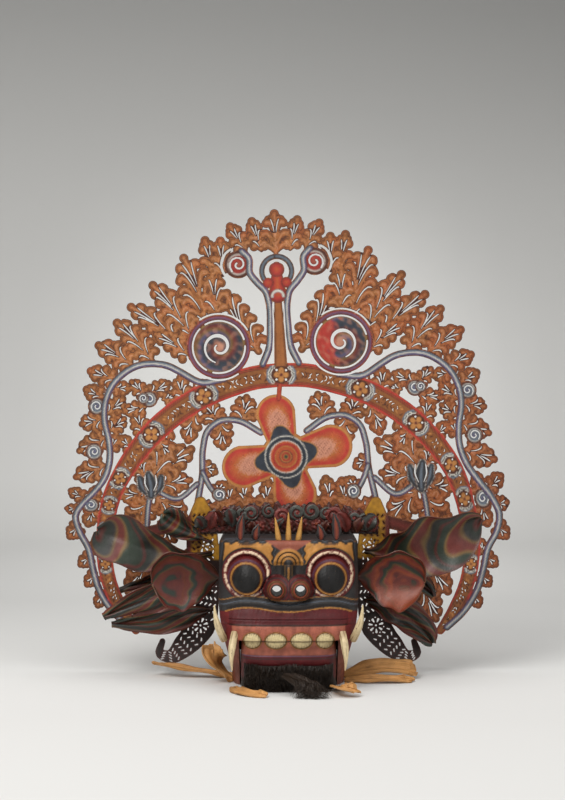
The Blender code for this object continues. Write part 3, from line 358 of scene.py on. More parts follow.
def put_paint(mesh, paint):
    """Keeps one colour for each point in the mesh, as the attribute that the materials read."""
    layer = mesh.color_attributes.new("paint", "FLOAT_COLOR", "POINT")
    rgba = np.ones((len(mesh.vertices), 4), np.float32)
    rgba[:, :3] = np.clip(paint, 0, 1)
    layer.data.foreach_set("color", rgba.ravel())


def settle(piece, nodes):
    """The piece rides with its nodes' body and stands for them."""
    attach(piece, BODY_OF[nodes[0]])
    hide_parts(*nodes)


def grid_faces(rows, columns, start=0, wrap=False):
    """Quads of a grid of points, row by row; with wrap the last column joins the first."""
    index = start + np.arange(rows * columns).reshape(rows, columns)
    if wrap:
        index = np.concatenate([index, index[:, :1]], 1)
    return np.stack([index[:-1, :-1], index[:-1, 1:], index[1:, 1:], index[1:, :-1]], -1).reshape(-1, 4)


def loft(rings):
    """Points and faces of a closed solid from an array (rings, points, 3), with a flat cap on each end."""
    count, around = rings.shape[:2]
    index = np.arange(count * around).reshape(count, around)
    faces = grid_faces(count, around, wrap=True).tolist()
    return rings.reshape(-1, 3), faces + [index[0][::-1].tolist(), index[-1].tolist()]


def grid_normals(grid):
    """Unit normals of a grid of points: the cross product of its two directions."""
    normal = np.cross(np.gradient(grid, axis=1), np.gradient(grid, axis=0))
    return normal / np.maximum(np.linalg.norm(normal, axis=-1), 1e-12)[..., None]


def sheet_solid(grid, thickness):
    """A sheet (rows, columns, 3) given its thickness: its front is pushed one way along the normals and
    its back the other, and the four edges are closed."""
    rows, columns = grid.shape[:2]
    normal = grid_normals(grid)
    thick = np.broadcast_to(np.asarray(thickness, float), (rows, columns))[..., None] / 2
    front, back = grid + normal * thick, grid - normal * thick
    count = rows * columns
    index = np.arange(count).reshape(rows, columns)
    rim = np.concatenate([index[0, :-1], index[:-1, -1], index[-1, :0:-1], index[:0:-1, 0]])
    after = np.roll(rim, -1)
    walls = np.stack([after, rim, rim + count, after + count], -1)
    quads = grid_faces(rows, columns)
    faces = np.concatenate([quads[:, ::-1], quads + count, walls[:, ::-1]])
    return np.concatenate([front.reshape(-1, 3), back.reshape(-1, 3)]), faces.tolist()


def tubes(lines, radii, sides=3):
    """Many thin tubes as one mesh: lines (count, steps, 3), radii (count, steps). Each ring lies across
    its line."""
    count, steps = lines.shape[:2]
    along = np.gradient(lines, axis=1)
    along /= np.maximum(np.linalg.norm(along, axis=-1), 1e-9)[..., None]
    across = np.cross(along, (0.31, 0.22, 0.92))
    across /= np.maximum(np.linalg.norm(across, axis=-1), 1e-9)[..., None]
    other = np.cross(along, across)
    turn = angles_round(sides)
    ring = across[:, :, None] * np.cos(turn)[:, None] + other[:, :, None] * np.sin(turn)[:, None]
    points = lines[:, :, None] + ring * radii[:, :, None, None]
    faces = grid_faces(steps, sides, wrap=True)
    caps = np.array([[0, 2, 1]]) if sides == 3 else np.array([list(range(sides))[::-1]])
    step = (np.arange(count) * steps * sides)[:, None, None]
    walls = (faces[None] + step).reshape(-1, 4)
    ends = np.concatenate([caps, caps[:, ::-1] + (steps - 1) * sides])
    return points.reshape(-1, 3), walls.tolist() + (ends[None] + step).reshape(-1, ends.shape[1]).tolist()


# Materials


def socket(tree, kind, name, direction, default=None):
    made = tree.interface.new_socket(name, in_out=direction, socket_type=kind)
    if default is not None:
        made.default_value = default
    return made


def node(tree, kind, **settings):
    """A shader node with its settings; a setting whose name is that of an input socket fills it."""
    made = tree.nodes.new(kind)
    for name, value in settings.items():
        if hasattr(made, name):
            setattr(made, name, value)
        else:
            made.inputs[name.replace("_", " ")].default_value = value
    return made


def mix(tree, kind, amount, first, second):
    """A colour mix of that kind; amount may be a number or a socket."""
    made = node(tree, "ShaderNodeMix", data_type="RGBA", blend_type=kind)
    for place, value in ((0, amount), (6, first), (7, second)):
        if isinstance(value, bpy.types.NodeSocket):
            tree.links.new(value, made.inputs[place])
        else:
            made.inputs[place].default_value = value
    return made.outputs[2]


def spread(tree, value, low, high, to_low, to_high):
    """Maps a value from one range to another and clamps it."""
    made = node(tree, "ShaderNodeMapRange")
    tree.links.new(value, made.inputs[0])
    for place, number in enumerate((low, high, to_low, to_high), 1):
        made.inputs[place].default_value = number
    return made.outputs[0]


def aged_paint_group():
    """Hand-laid paint that has aged: patchy tone, brush streaks, dark grime, small flecks where it has
    chipped, and the unevenness of the ground under it."""
    name = "aged_paint"
    if name in bpy.data.node_groups:
        return bpy.data.node_groups[name]
    tree = bpy.data.node_groups.new(name, "ShaderNodeTree")
    for kind, label, default in (
        ("NodeSocketColor", "Paint", (0.5, 0.5, 0.5, 1)),
        ("NodeSocketColor", "Ground", (0.3, 0.2, 0.1, 1)),
        ("NodeSocketFloat", "Patch Scale", 60.0),
        ("NodeSocketFloat", "Patch Depth", 0.3),
        ("NodeSocketFloat", "Fleck Amount", 0.1),
        ("NodeSocketFloat", "Roughness", 0.5),
        ("NodeSocketFloat", "Relief", 0.3),
    ):
        socket(tree, kind, label, "INPUT", default)
    for kind, label in (("NodeSocketColor", "Color"), ("NodeSocketFloat", "Roughness"),
                        ("NodeSocketVector", "Normal")):
        socket(tree, kind, label, "OUTPUT")
    given = tree.nodes.new("NodeGroupInput")
    put = tree.nodes.new("NodeGroupOutput")
    place = node(tree, "ShaderNodeTexCoord").outputs["Object"]

    def noise(scale, detail, roughness, stretch=None):
        source = place
        if stretch:
            mapping = node(tree, "ShaderNodeMapping")
            mapping.inputs["Scale"].default_value = stretch
            tree.links.new(place, mapping.inputs["Vector"])
            source = mapping.outputs[0]
        made = node(tree, "ShaderNodeTexNoise", Detail=detail, Roughness=roughness)
        tree.links.new(source, made.inputs["Vector"])
        if isinstance(scale, bpy.types.NodeSocket):
            tree.links.new(scale, made.inputs["Scale"])
        else:
            made.inputs["Scale"].default_value = scale
        return made.outputs["Fac"]

    patches = noise(given.outputs["Patch Scale"], 5.0, 0.6)
    shade = spread(tree, patches, 0.30, 0.72, 0.0, 1.0)
    depth = node(tree, "ShaderNodeMath", operation="MULTIPLY")
    tree.links.new(shade, depth.inputs[0])
    tree.links.new(given.outputs["Patch Depth"], depth.inputs[1])
    darker = mix(tree, "MULTIPLY", depth.outputs[0], given.outputs["Paint"], (0.42, 0.36, 0.33, 1))
    streaks = spread(tree, noise(90, 3.0, 0.7, (1.0, 1.0, 0.25)), 0.52, 0.72, 0.0, 0.22)
    streaked = mix(tree, "SOFT_LIGHT", streaks, darker, (0.95, 0.9, 0.8, 1))
    grains = noise(420, 2.0, 0.5)
    limit = node(tree, "ShaderNodeMath", operation="SUBTRACT")
    limit.inputs[0].default_value = 0.78
    tree.links.new(given.outputs["Fleck Amount"], limit.inputs[1])
    over = node(tree, "ShaderNodeMath", operation="GREATER_THAN")
    tree.links.new(grains, over.inputs[0])
    tree.links.new(limit.outputs[0], over.inputs[1])
    chipped = mix(tree, "MIX", over.outputs[0], streaked, given.outputs["Ground"])
    tree.links.new(chipped, put.inputs["Color"])
    rough = node(tree, "ShaderNodeMath", operation="MULTIPLY_ADD")
    tree.links.new(patches, rough.inputs[0])
    rough.inputs[1].default_value = 0.35
    tree.links.new(given.outputs["Roughness"], rough.inputs[2])
    tree.links.new(rough.outputs[0], put.inputs["Roughness"])
    height = mix(tree, "ADD", 0.35, noise(260, 4.0, 0.65), grains)
    raised = node(tree, "ShaderNodeBump", Distance=0.0012)
    tree.links.new(given.outputs["Relief"], raised.inputs["Strength"])
    tree.links.new(height, raised.inputs["Height"])
    tree.links.new(raised.outputs[0], put.inputs["Normal"])
    return tree


def drawn(tree, attribute, far, stops):
    """A mask along lines of an attribute: its value as a share of far, read through stops of (share,
    strength)."""
    value = node(tree, "ShaderNodeAttribute", attribute_name=attribute)
    share = spread(tree, value.outputs["Fac"], 0.0, far, 0.0, 1.0)
    strengths = tree.nodes.new("ShaderNodeValToRGB")
    band = strengths.color_ramp
    while len(band.elements) < len(stops):
        band.elements.new(0.5)
    for element, (at, strength) in zip(band.elements, stops):
        element.position, element.color = at, (strength, strength, strength, 1)
    tree.links.new(share, strengths.inputs["Fac"])
    return strengths.outputs["Color"]


def painted(name, ground, patch_scale, patch_depth, fleck, roughness, relief, coat=0.0, metallic=0.0,
            specular=0.35,
            lines=()):
    """A material that shows the piece's own paint, aged by the shared group. lines are (attribute, far,
    stops, colour) for fine lines drawn over the paint."""
    if name in bpy.data.materials:
        return bpy.data.materials[name]
    made = bpy.data.materials.new(name)
    made.use_nodes = True
    tree = made.node_tree
    shader = tree.nodes["Principled BSDF"]
    paint = node(tree, "ShaderNodeAttribute", attribute_name="paint")
    group = tree.nodes.new("ShaderNodeGroup")
    group.node_tree = aged_paint_group()
    for label, value in (("Ground", (*ground, 1)), ("Patch Scale", patch_scale),
                         ("Patch Depth", patch_depth),
                         ("Fleck Amount", fleck), ("Roughness", roughness), ("Relief", relief)):
        group.inputs[label].default_value = value
    surface = paint.outputs["Color"]
    for attribute, far, stops, shade in lines:
        surface = mix(tree, "MIX", drawn(tree, attribute, far, stops), surface, (*shade, 1))
    tree.links.new(surface, group.inputs["Paint"])
    shader.inputs["Specular IOR Level"].default_value = specular
    tree.links.new(group.outputs["Color"], shader.inputs["Base Color"])
    tree.links.new(group.outputs["Roughness"], shader.inputs["Roughness"])
    tree.links.new(group.outputs["Normal"], shader.inputs["Normal"])
    shader.inputs["Coat Weight"].default_value = coat
    shader.inputs["Coat Roughness"].default_value = 0.25
    shader.inputs["Metallic"].default_value = metallic
    return made


def face_finish():
    return painted("lacquered_wood", colours().wood * 0.5, 45, 0.5, 0.05, 0.32, 0.35, coat=0.05,
                   specular=0.22)


def fan_finish():
    c = colours()
    fine = (
        ("vein", 1.0, [(0.0, 0.0), (0.10, 0.0), (0.17, 0.45), (0.24, 0.0), (1.0, 0.0)], c.pink),
        ("vein", 1.0, [(0.0, 0.0), (0.46, 0.0), (0.58, 0.9), (0.70, 0.0), (1.0, 0.0)], c.ochre_dark),
        ("depth", 4.0, [(0.0, 1.0), (0.17, 0.95), (0.30, 0.0), (1.0, 0.0)], c.ochre_dark * 0.9),
    )
    return painted("painted_fan_leather", c.ochre_dark, 70, 0.45, 0.07, 0.42, 0.5, lines=fine)


def leaf_finish():
    return painted("glossy_painted_leather", colours().pendant_dark, 55, 0.5, 0.05, 0.24, 0.45, coat=0.12)


def strip_finish():
    return painted("bare_leather_strip", colours().ochre_dark, 50, 0.35, 0.03, 0.36, 0.5)


def horn_finish():
    return painted("old_horn", colours().ochre_dark, 120, 0.45, 0.05, 0.28, 0.3, coat=0.15)


def gilt_finish():
    return painted("rubbed_gilt", colours().ochre_dark, 110, 0.55, 0.08, 0.22, 0.3, metallic=0.25)


def hair_finish():
    return painted("dark_hair", colours().hair, 80, 0.3, 0.0, 0.30, 0.1)


# Head and jaw


def half_width(z):
    """The head's half width at height z: narrow at the foot, full above the mouth."""
    return HALF_FOOT + (HALF_HEAD - HALF_FOOT) * ease(z / (0.62 * HEAD_HEIGHT))


def front_line(z):
    """How far forward the head's middle line reaches at height z, before the carving."""
    heights = np.array([-0.1, 0.0, 0.17, MOUTH_HEIGHT / HEAD_HEIGHT, 0.42, 0.52, 0.62, 0.80,
                        1.0]) * HEAD_HEIGHT
    reach = np.array([-0.45, -0.30, 0.35, 1.0, 0.97, 0.70, 0.42, 0.10, 0.0]) * MUZZLE_REACH
    return BROW_Y - curve_through(heights, reach, z)


def jaw_front(z):
    """How far forward the jaw's middle line reaches at height z: the chin falls back below the lip."""
    heights = np.array([0.0, 0.25, 0.6, 1.0]) * MOUTH_HEIGHT
    reach = np.array([0.50, 0.82, 1.02, 1.05]) * MUZZLE_REACH
    return BROW_Y - curve_through(heights, reach, z)


def lip_line(side):
    """Height of the moustache's middle: it dips under the nose and rises over the cheeks."""
    return curve_through([0.0, 0.020, 0.042, 0.0625, 0.084, 0.100, 0.116],
                         [0.1322, 0.1332, 0.1366, 0.1382, 0.1362, 0.1316, 0.1285], side)


def brow_edge(side, z):
    """Below zero inside each brow's gold plate, whose upper and inner border is scalloped."""
    scallop = BROW_SCALLOP * np.cos(side * 2 * math.pi / 0.0165) - 0.10 * np.clip(side - 0.085, 0, None)
    inner = BROW_INNER + BROW_SCALLOP * np.cos(z * 2 * math.pi / 0.0125)
    outer = BROW_OUTER - 0.0022 * ease((z - 0.20) / 0.02)
    floor = np.where(side > EYE_SPACING / 2, 0.1900 + 0.3 * (0.100 - side), 0.1960)
    return np.maximum.reduce([z - BROW_TOP - scallop, inner - side, side - outer, floor - z])


def tooth_radius(side, above):
    """Distance to the nearest tooth's middle as a share of its size: below one on a tooth."""
    first = np.hypot((side - 0.60 * TOOTH_WIDTH) / (0.5 * TOOTH_WIDTH), above / TOOTH_HEIGHT)
    second = np.hypot((side - 1.72 * TOOTH_WIDTH) / (0.42 * TOOTH_WIDTH), above / TOOTH_HEIGHT)
    return np.minimum(first, second)


def teeth(side, above):
    """Rounded tooth fronts with fine grooves down them."""
    crown = 0.0046 * np.sqrt(np.clip(1 - tooth_radius(side, above) ** 2, 0, None))
    return crown * (1 + 0.05 * np.cos(side * 2 * math.pi / 0.0032))


def face_relief(x, z):
    """How far the carving stands in front of the head's plain form: the solid's own relief with finer
    grooves."""
    side = np.abs(x)
    eye = np.hypot(side - EYE_SPACING / 2, z - EYE_HEIGHT)
    ring = np.hypot(side - EYE_SPACING / 2, z - EYE_HEIGHT - 0.08 * EYE_RADIUS)
    over_eye = ease((z - EYE_HEIGHT) / 0.02)
    height = EYE_BULGE * np.sqrt(np.clip(1 - (eye / EYE_RADIUS) ** 2, 0, None))
    height += 0.006 * bump(ring - 1.12 * EYE_RADIUS, 0.007)
    height += 0.007 * bump(ring - 1.45 * EYE_RADIUS, 0.010) * over_eye
    height -= 0.0016 * bump(ring - 0.0375, 0.0016) * over_eye
    height -= 0.0012 * bump(ring - 0.0318, 0.0010)
    height += 0.0014 * within(brow_edge(side, z), 0.0008)
    nose = np.hypot(side / (0.52 * NOSE_WIDTH), (z - NOSE_HEIGHT) / (0.29 * NOSE_WIDTH))
    wing = np.hypot(side - WING_X, z - NOSE_HEIGHT)
    height = np.maximum(height, NOSE_REACH * np.sqrt(np.clip(1 - nose**2, 0, None)))
    round_wing = 1.35 * NOSE_REACH * np.sqrt(np.clip(1 - (wing / (0.24 * NOSE_WIDTH)) ** 2, 0, None))
    height = np.maximum(height, round_wing)
    height += 0.0016 * bump(wing - 0.0115, 0.0022)
    height -= 0.0012 * bump(wing - 0.0150, 0.0012)
    ridge = bump(side, BRIDGE_WIDTH / 2) * ease((z - NOSE_HEIGHT) / 0.01)
    ridge = ridge * ease((0.94 * HEAD_HEIGHT - z) / 0.03)
    height = np.maximum(height, 0.75 * NOSE_REACH * ridge)
    height += 0.0016 * bump(x, 0.0030) * ease((z - 0.142) / 0.01) * ease((0.195 - z) / 0.01)
    crest = np.hypot(x, z - 0.87 * HEAD_HEIGHT)
    height = np.maximum(height, 0.008 * bump(crest, 0.8 * BRIDGE_WIDTH))
    arch = np.hypot(x, z - SCROLL_HEIGHT)
    scroll = within(arch - 0.0235, 0.0008) * ease((z - 0.196) / 0.004)
    height += 0.0035 * scroll
    height -= 0.0022 * scroll * (bump(arch - 0.0180, 0.0012) + bump(arch - 0.0118, 0.0012))
    lip = lip_line(side)
    height += 0.007 * bump(z - lip, 0.009)
    height += 0.0011 * bump(z - lip + 0.0085, 0.0012)
    height -= 0.0009 * bump(z - lip - 0.0025, 0.0014)
    height += 0.0022 * bump(z - 0.1140, 0.0100)
    height -= 0.0012 * bump(z - 0.1120 - 0.05 * (lip - LIP_HEIGHT), 0.0012)
    height -= 0.0026 * bump(z - 0.1040, 0.0018)
    gum = ease((MOUTH_HEIGHT + 0.026 - z) / 0.005) * ease((0.092 - side) / 0.008)
    height += 0.004 * gum
    height -= 0.0012 * bump(tooth_radius(side, z - MOUTH_HEIGHT) - 1.08, 0.07) * gum
    return height + teeth(side, z - MOUTH_HEIGHT)


def jaw_relief(x, z):
    """The lower lip's roll, its grooves and the lower teeth."""
    side = np.abs(x)
    lip = 0.004 * bump(z - 0.62 * MOUTH_HEIGHT, 0.02)
    grooves = 0.0010 * (bump(z - 0.0575, 0.0012) + bump(z - 0.0530, 0.0010))
    return lip - grooves + teeth(side, MOUTH_HEIGHT - z)


def facing_of(share, power=3.4):
    """How squarely a level section looks forward, by share of its half width: a superellipse's other
    half."""
    return (1 - np.clip(np.abs(share), 0, 1) ** power) ** (1 / power)


def carving(facing):
    """How much of the carving stands at a place: all where the face looks forward, none at its sides."""
    return ease((facing - 0.35) / 0.5)


def section(half, front, back, corner, step):
    """Points round a level section from the back left, across the front, to the back right, as (x, y,
    facing): straight sides, a front that is a superellipse, its middle spaced evenly across and its
    corners evenly in depth."""
    flat, power = 0.88, 3.4
    sides = max(int(round((back - front - corner) / (3.2 * step))), 2)
    corners = max(int(round(facing_of(flat) * corner / (1.25 * step))), 4)
    middle = 2 * int(round(flat * half / step)) + 1
    turned = (1 - np.linspace(0, facing_of(flat), corners, endpoint=False)[1:] ** power) ** (1 / power)
    share = np.concatenate([-turned, np.linspace(-flat, flat, middle), turned[::-1]])
    facing = facing_of(share)
    side_y = np.linspace(back, front + corner, sides)
    x = half * np.concatenate([-np.ones(sides), share, np.ones(sides)])
    y = np.concatenate([side_y, front + corner - corner * facing, side_y[::-1]])
    return x, y, np.concatenate([np.zeros(sides), facing, np.zeros(sides)])


def cutter_block(low, high):
    """The corners and faces of a box."""
    corners = [(x, y, z) for z in (low[2], high[2]) for y in (low[1], high[1]) for x in (low[0], high[0])]
    return np.array(corners, float), [(0, 2, 3, 1), (4, 5, 7, 6), (0, 1, 5, 4), (2, 6, 7, 3), (0, 4, 6, 2),
                                      (1, 3, 7, 5)]


def cutter_rod(start, end, radius, sides=40):
    """A round bar from start to end."""
    start, end = np.array(start, float), np.array(end, float)
    along = (end - start) / np.linalg.norm(end - start)
    side = np.cross(along, (0, 0, 1) if abs(along[2]) < 0.9 else (1, 0, 0))
    side /= np.linalg.norm(side)
    up = np.cross(along, side)
    turn = angles_round(sides)
    circle = radius * (np.outer(np.cos(turn), side) + np.outer(np.sin(turn), up))
    return loft(np.stack([start + circle, end + circle]))


def combine(name, points, faces, cuts, joins=()):
    """The mesh of a form with others cut from it and joined to it."""
    body = plain_object(f"{name}_form", points, faces)
    helpers = []
    for kind, shapes in (("DIFFERENCE", cuts), ("UNION", joins)):
        for number, shape in enumerate(shapes):
            helpers.append(plain_object(f"{name}_{kind.lower()}_{number}", *shape))
            step = body.modifiers.new(f"{kind.lower()} {number}", "BOOLEAN")
            step.operation = kind
            step.object = helpers[-1]
            step.solver = "EXACT"
    graph = bpy.context.evaluated_depsgraph_get()
    made = bpy.data.meshes.new_from_object(body.evaluated_get(graph))
    for helper in [body, *helpers]:
        bpy.data.objects.remove(helper)
    return made


def carved_piece(name, mesh, paint_at, nodes):
    """A piece from a carved mesh, painted by its points' places."""
    co = np.empty(len(mesh.vertices) * 3, np.float32)
    mesh.vertices.foreach_get("co", co)
    paint = paint_at(co.reshape(-1, 3).astype(float))
    finish_piece(placed(name, mesh), paint, face_finish(), nodes, sharp=50)


def horn(start, end, bow, radius, tip_radius, sides=8, steps=6, grow=0.0):
    """Rings of a tapered horn from its root to its blunt tip, bowed sideways by a vector."""
    start, end, bow = (np.array(v, float) for v in (start, end, bow))
    t = np.linspace(0, 1, steps)[:, None]
    centre = start + (end - start) * t + bow * 4 * t * (1 - t)
    along = np.gradient(centre, axis=0)
    along /= np.linalg.norm(along, axis=1)[:, None]
    side = np.cross(along, (0, 1, 0))
    side /= np.linalg.norm(side, axis=1)[:, None]
    up = np.cross(along, side)
    radii = (tip_radius + (radius - tip_radius) * (1 - t**1.5)) + grow
    turn = angles_round(sides)
    circle = side[:, None] * np.cos(turn)[None, :, None] + up[:, None] * np.sin(turn)[None, :, None]
    return centre[:, None] + radii[:, None] * circle


def tusk_lines():
    """Each tusk's root, tip and bow: two point down over the jaw slot's ends, and two up beside the lips."""
    upper_x = HALF_SLOT + 0.95 * TUSK_RADIUS
    root_z = MOUTH_HEIGHT + 0.011
    upper_y = front_line(MOUTH_HEIGHT) + 0.16 * CORNER_DEPTH
    lower_x = half_width(MOUTH_HEIGHT) - 0.4 * TUSK_RADIUS
    lower_y = front_line(MOUTH_HEIGHT) + 0.42 * CORNER_DEPTH
    lines = {}
    for side, name in SIDES:
        lines[f"tusk_upper_{name}"] = (
            (side * upper_x, upper_y, root_z),
            (side * (upper_x + 0.07 * TUSK_LENGTH), upper_y - 2.4 * TUSK_RADIUS,
             root_z - 0.97 * TUSK_LENGTH),
            (side * 0.05 * TUSK_LENGTH, -0.12 * TUSK_LENGTH, 0),
        )
        lines[f"tusk_lower_{name}"] = (
            (side * lower_x, lower_y, MOUTH_HEIGHT - 0.002),
            (side * (lower_x + 0.26 * TUSK_LENGTH), lower_y - 2.2 * TUSK_RADIUS,
             MOUTH_HEIGHT + 0.93 * TUSK_LENGTH),
            (side * 0.06 * TUSK_LENGTH, -0.10 * TUSK_LENGTH, 0),
        )
    return lines


def head_front(x, z, inset=0.0):
    """How far forward the carved head reaches at a place on its face."""
    half = half_width(z) - inset
    facing = facing_of(x / half)
    plain = front_line(z) + inset + CORNER_DEPTH * (1 - facing)
    return plain - face_relief(x, z) * carving(facing)


def rings(distance, inside, shades):
    """Coats of paint for rings round a place, the widest first, from (radius, colour) pairs."""
    return [(within(distance - radius) * inside, shade) for radius, shade in shades]


def paint_head(points):
    """The face's paint by place: slate above, gold brows, ringed eyes, nostril rings, moustache, lip, gum
    and teeth."""
    c = colours()
    x, y, z = points.T
    side = np.abs(x)
    blotch = mottle(points, 0.018, 3)[:, None]
    fine = mottle(points, 0.004, 4)
    lip = lip_line(side)
    paint = layered(
        c.maroon * 1.15 * (1 + 0.10 * blotch),
        (within(lip - 0.0075 - z, 0.001), c.slate),
        *brow_and_eye_coats(c, points, blotch, fine),
        *nose_coats(c, points, fine),
        *mouth_coats(c, points, blotch, fine),
    )
    # Painted shade: the paint darkens where the head's surface turns from the front to its sides.
    facing = facing_of(x / half_width(z))
    paint = paint * (0.72 + 0.28 * ease(facing / 0.35))[:, None]
    behind = y - head_front(x, z)
    on_side = half_width(z) - side < 0.0015
    bare = (behind > 0.004) & ~on_side & (z < HEAD_HEIGHT - 0.002)
    paint[bare] = c.wood * (0.75 + 0.2 * blotch[bare])
    in_slot = (side > HALF_SLOT - 0.001) & (z < MOUTH_HEIGHT + 0.001)
    paint[bare & in_slot & (y < SLOT_BACK_Y + 0.001)] = c.maroon * 0.35
    paint[bare & (np.hypot(side - WING_X, z - NOSE_HEIGHT) < NOSTRIL_RADIUS + 0.002)] = c.hair
    return paint


def brow_and_eye_coats(c, points, blotch, fine):
    """Coats for the gold brow plates, the red between them, and the rings and pupil of each eye."""
    side, z = np.abs(points[:, 0]), points[:, 2]
    ring = np.hypot(side - EYE_SPACING / 2, z - EYE_HEIGHT - 0.08 * EYE_RADIUS)
    pupil = np.hypot(side - EYE_SPACING / 2, z - PUPIL_HEIGHT)
    plate = brow_edge(side, z)
    fore = np.maximum(side - 0.010 - 1.55 * (z - 0.2150), 0.2155 - z)
    broken = np.clip(1.15 + 0.8 * mottle(points, 0.007, 5) - 0.5 * ease((0.172 - z) / 0.02), 0, 1)
    return [
        (within(plate - 0.0030), c.slate * 0.6),
        (within(plate), c.gold * (1 + 0.10 * blotch)),
        (0.6 * within(np.abs(plate - 0.0042) - 0.0004) * (z > 0.2), c.blue * 0.8),
        (within(fore, 0.0008), c.gum * 0.8),
        (within(ring - 0.0418), c.slate * 0.8),
        (within(ring - 0.0392), c.maroon * 1.35),
        (0.6 * within(np.abs(ring - 0.0372) - 0.0006), c.leaf_red * 0.6),
        (within(np.abs(ring - 0.0342) - 0.0021 + 0.0004 * fine) * broken, c.pale),
        (within(ring - 0.0320), c.maroon * 0.85),
        (0.5 * within(np.abs(pupil - 0.0285) - 0.0012), c.violet * 0.6),
        (within(pupil - 0.0256 - 0.0003 * fine), c.gold * 0.85),
        (within(pupil - 0.0228), c.ochre_dark * 0.7),
        (within(pupil - PUPIL_RADIUS), c.slate * (0.32 + 0.06 * blotch)),
    ]


def nose_coats(c, points, fine):
    """Coats for the ringed scroll over the nose, the bridge with its gold lines, and the rings round each
    nostril."""
    x, _, z = points.T
    side = np.abs(x)
    arch = np.hypot(x, z - SCROLL_HEIGHT)
    bridge = within(side - 0.0130) * within(z - 0.1945) * within(NOSE_HEIGHT - 0.004 - z)
    middle_line = within(side - 0.0016 + 0.0004 * fine) * within(0.139 - z) * within(z - 0.192)
    scroll_rings = [
        (0.0235, c.gold), (0.0190, c.slate * 0.6), (0.0170, c.gold),
        (0.0128, c.slate * 0.6), (0.0108, c.gold * 0.8), (0.0075, c.slate),
    ]
    nostril_rings = [
        (0.0240, c.slate * 0.6), (0.0222, c.maroon * 0.75), (0.0182, c.slate * 0.7),
        (0.0166, c.maroon * 0.9), (0.0140, c.leaf_gold * 0.55), (0.0130, c.ochre_dark * 1.1),
        (0.0112, c.orange * 0.55), (0.0098, c.ochre_dark * 0.5), (0.0086, c.hair * 0.6),
    ]
    return [
        *rings(arch, within(0.1945 - z), scroll_rings),
        (bridge, c.slate * 0.9),
        (0.75 * middle_line, c.gold * 0.8),
        (0.5 * within(np.abs(side - 0.0055) - 0.0006) * bridge, c.leaf_gold),
        *rings(np.hypot(side - WING_X, z - NOSE_HEIGHT), within(z - 0.182), nostril_rings),
    ]


def mouth_coats(c, points, blotch, fine):
    """Coats for the moustache, the upper lip with its dark lines, the gum and the teeth."""
    side, z = np.abs(points[:, 0]), points[:, 2]
    lip = lip_line(side)
    sag = 0.05 * (lip - LIP_HEIGHT)
    under_lip = within(z - lip + 0.0080) * within(0.1030 - z) * within(side - 0.0935)
    gum = within(z - 0.1028) * within(side - 0.0885, 0.0008)
    tooth = tooth_radius(side, z - MOUTH_HEIGHT)
    notches = 0.5 + 0.5 * np.cos(side * 2 * math.pi / 0.0036)
    worn = ease((tooth - 0.60) / 0.3) * within(tooth - 0.95, 0.03) * gum
    lip_lines = [
        (within(np.abs(z - height - sag) - width) * under_lip, c.lip * shade)
        for height, width, shade in ((0.1120, 0.0008, 0.55), (0.1165, 0.0005, 0.75), (0.1085, 0.0005, 0.75))
    ]
    return [
        (within(np.abs(z - lip) - 0.0082), c.slate),
        (0.55 * within(np.abs(z - lip - 0.0024) - 0.0007), c.blue),
        (within(np.abs(z - lip - 0.0088) - 0.0006 - 0.0002 * fine), c.gold * 0.75),
        (under_lip, c.lip * (1 + 0.10 * blotch)),
        *lip_lines,
        (within(np.abs(z - lip + 0.0086) - 0.0009 - 0.0003 * fine) * within(side - 0.1), c.gold),
        (within(np.abs(z - 0.1038) - 0.0011) * within(side - 0.0925), c.hair),
        (gum, c.gum * (1 + 0.16 * blotch + 0.10 * fine[:, None])),
        (within(tooth - 1.12, 0.03) * gum, c.gold * 0.75),
        (within(tooth - 1.03, 0.03) * gum, c.ochre_dark * 0.55),
        (within(tooth - 0.95, 0.03) * gum, c.cream * (0.96 + 0.12 * fine[:, None])),
        (0.6 * worn * notches, c.ochre_dark),
        # Painted shade along the foot of the upper teeth, at the gap over the jaw.
        (0.5 * gum * ease((MOUTH_HEIGHT + 0.0024 - z) / 0.003), c.ochre_dark * 0.6),
    ]


def paint_jaw(points):
    """The jaw's paint by place: lower teeth, gum, the dark lines under it, and the lip."""
    c = colours()
    x, y, z = points.T
    side = np.abs(x)
    blotch = mottle(points, 0.016, 6)[:, None]
    fine = mottle(points, 0.004, 7)[:, None]
    tooth = tooth_radius(side, MOUTH_HEIGHT - z)
    notches = 0.5 + 0.5 * np.cos(side * 2 * math.pi / 0.0040)
    paint = layered(
        c.lip * (1 + 0.12 * blotch),
        (within(0.0570 - z), c.gum * (0.72 + 0.12 * blotch)),
        (0.8 * within(np.abs(z - 0.0575) - 0.0007), c.violet * 0.7),
        (0.8 * within(np.abs(z - 0.0532) - 0.0008), c.slate),
        (within(z - 0.0200, 0.002), c.hair),
        (within(tooth - 1.12, 0.03), c.gold * 0.6),
        (within(tooth - 1.02, 0.03), c.ochre_dark * 0.55),
        (within(tooth - 0.93, 0.03), c.cream * (0.82 + 0.12 * fine)),
        (0.55 * ease((tooth - 0.5) / 0.35) * within(tooth - 0.93, 0.03) * notches, c.ochre_dark),
        # Painted shade along the top of the lower teeth, at the gap under the head.
        (0.6 * ease((z - MOUTH_HEIGHT + 0.003) / 0.003), c.ochre_dark * 0.5),
    )
    facing = facing_of(x / HALF_JAW)
    front = jaw_front(z) + 0.6 * CORNER_DEPTH * (1 - facing) - jaw_relief(x, z) * carving(facing)
    bare = (y - front > 0.006) | (z > MOUTH_HEIGHT - 0.002)
    paint[bare] = c.wood * (0.55 + 0.15 * blotch[bare])
    return paint


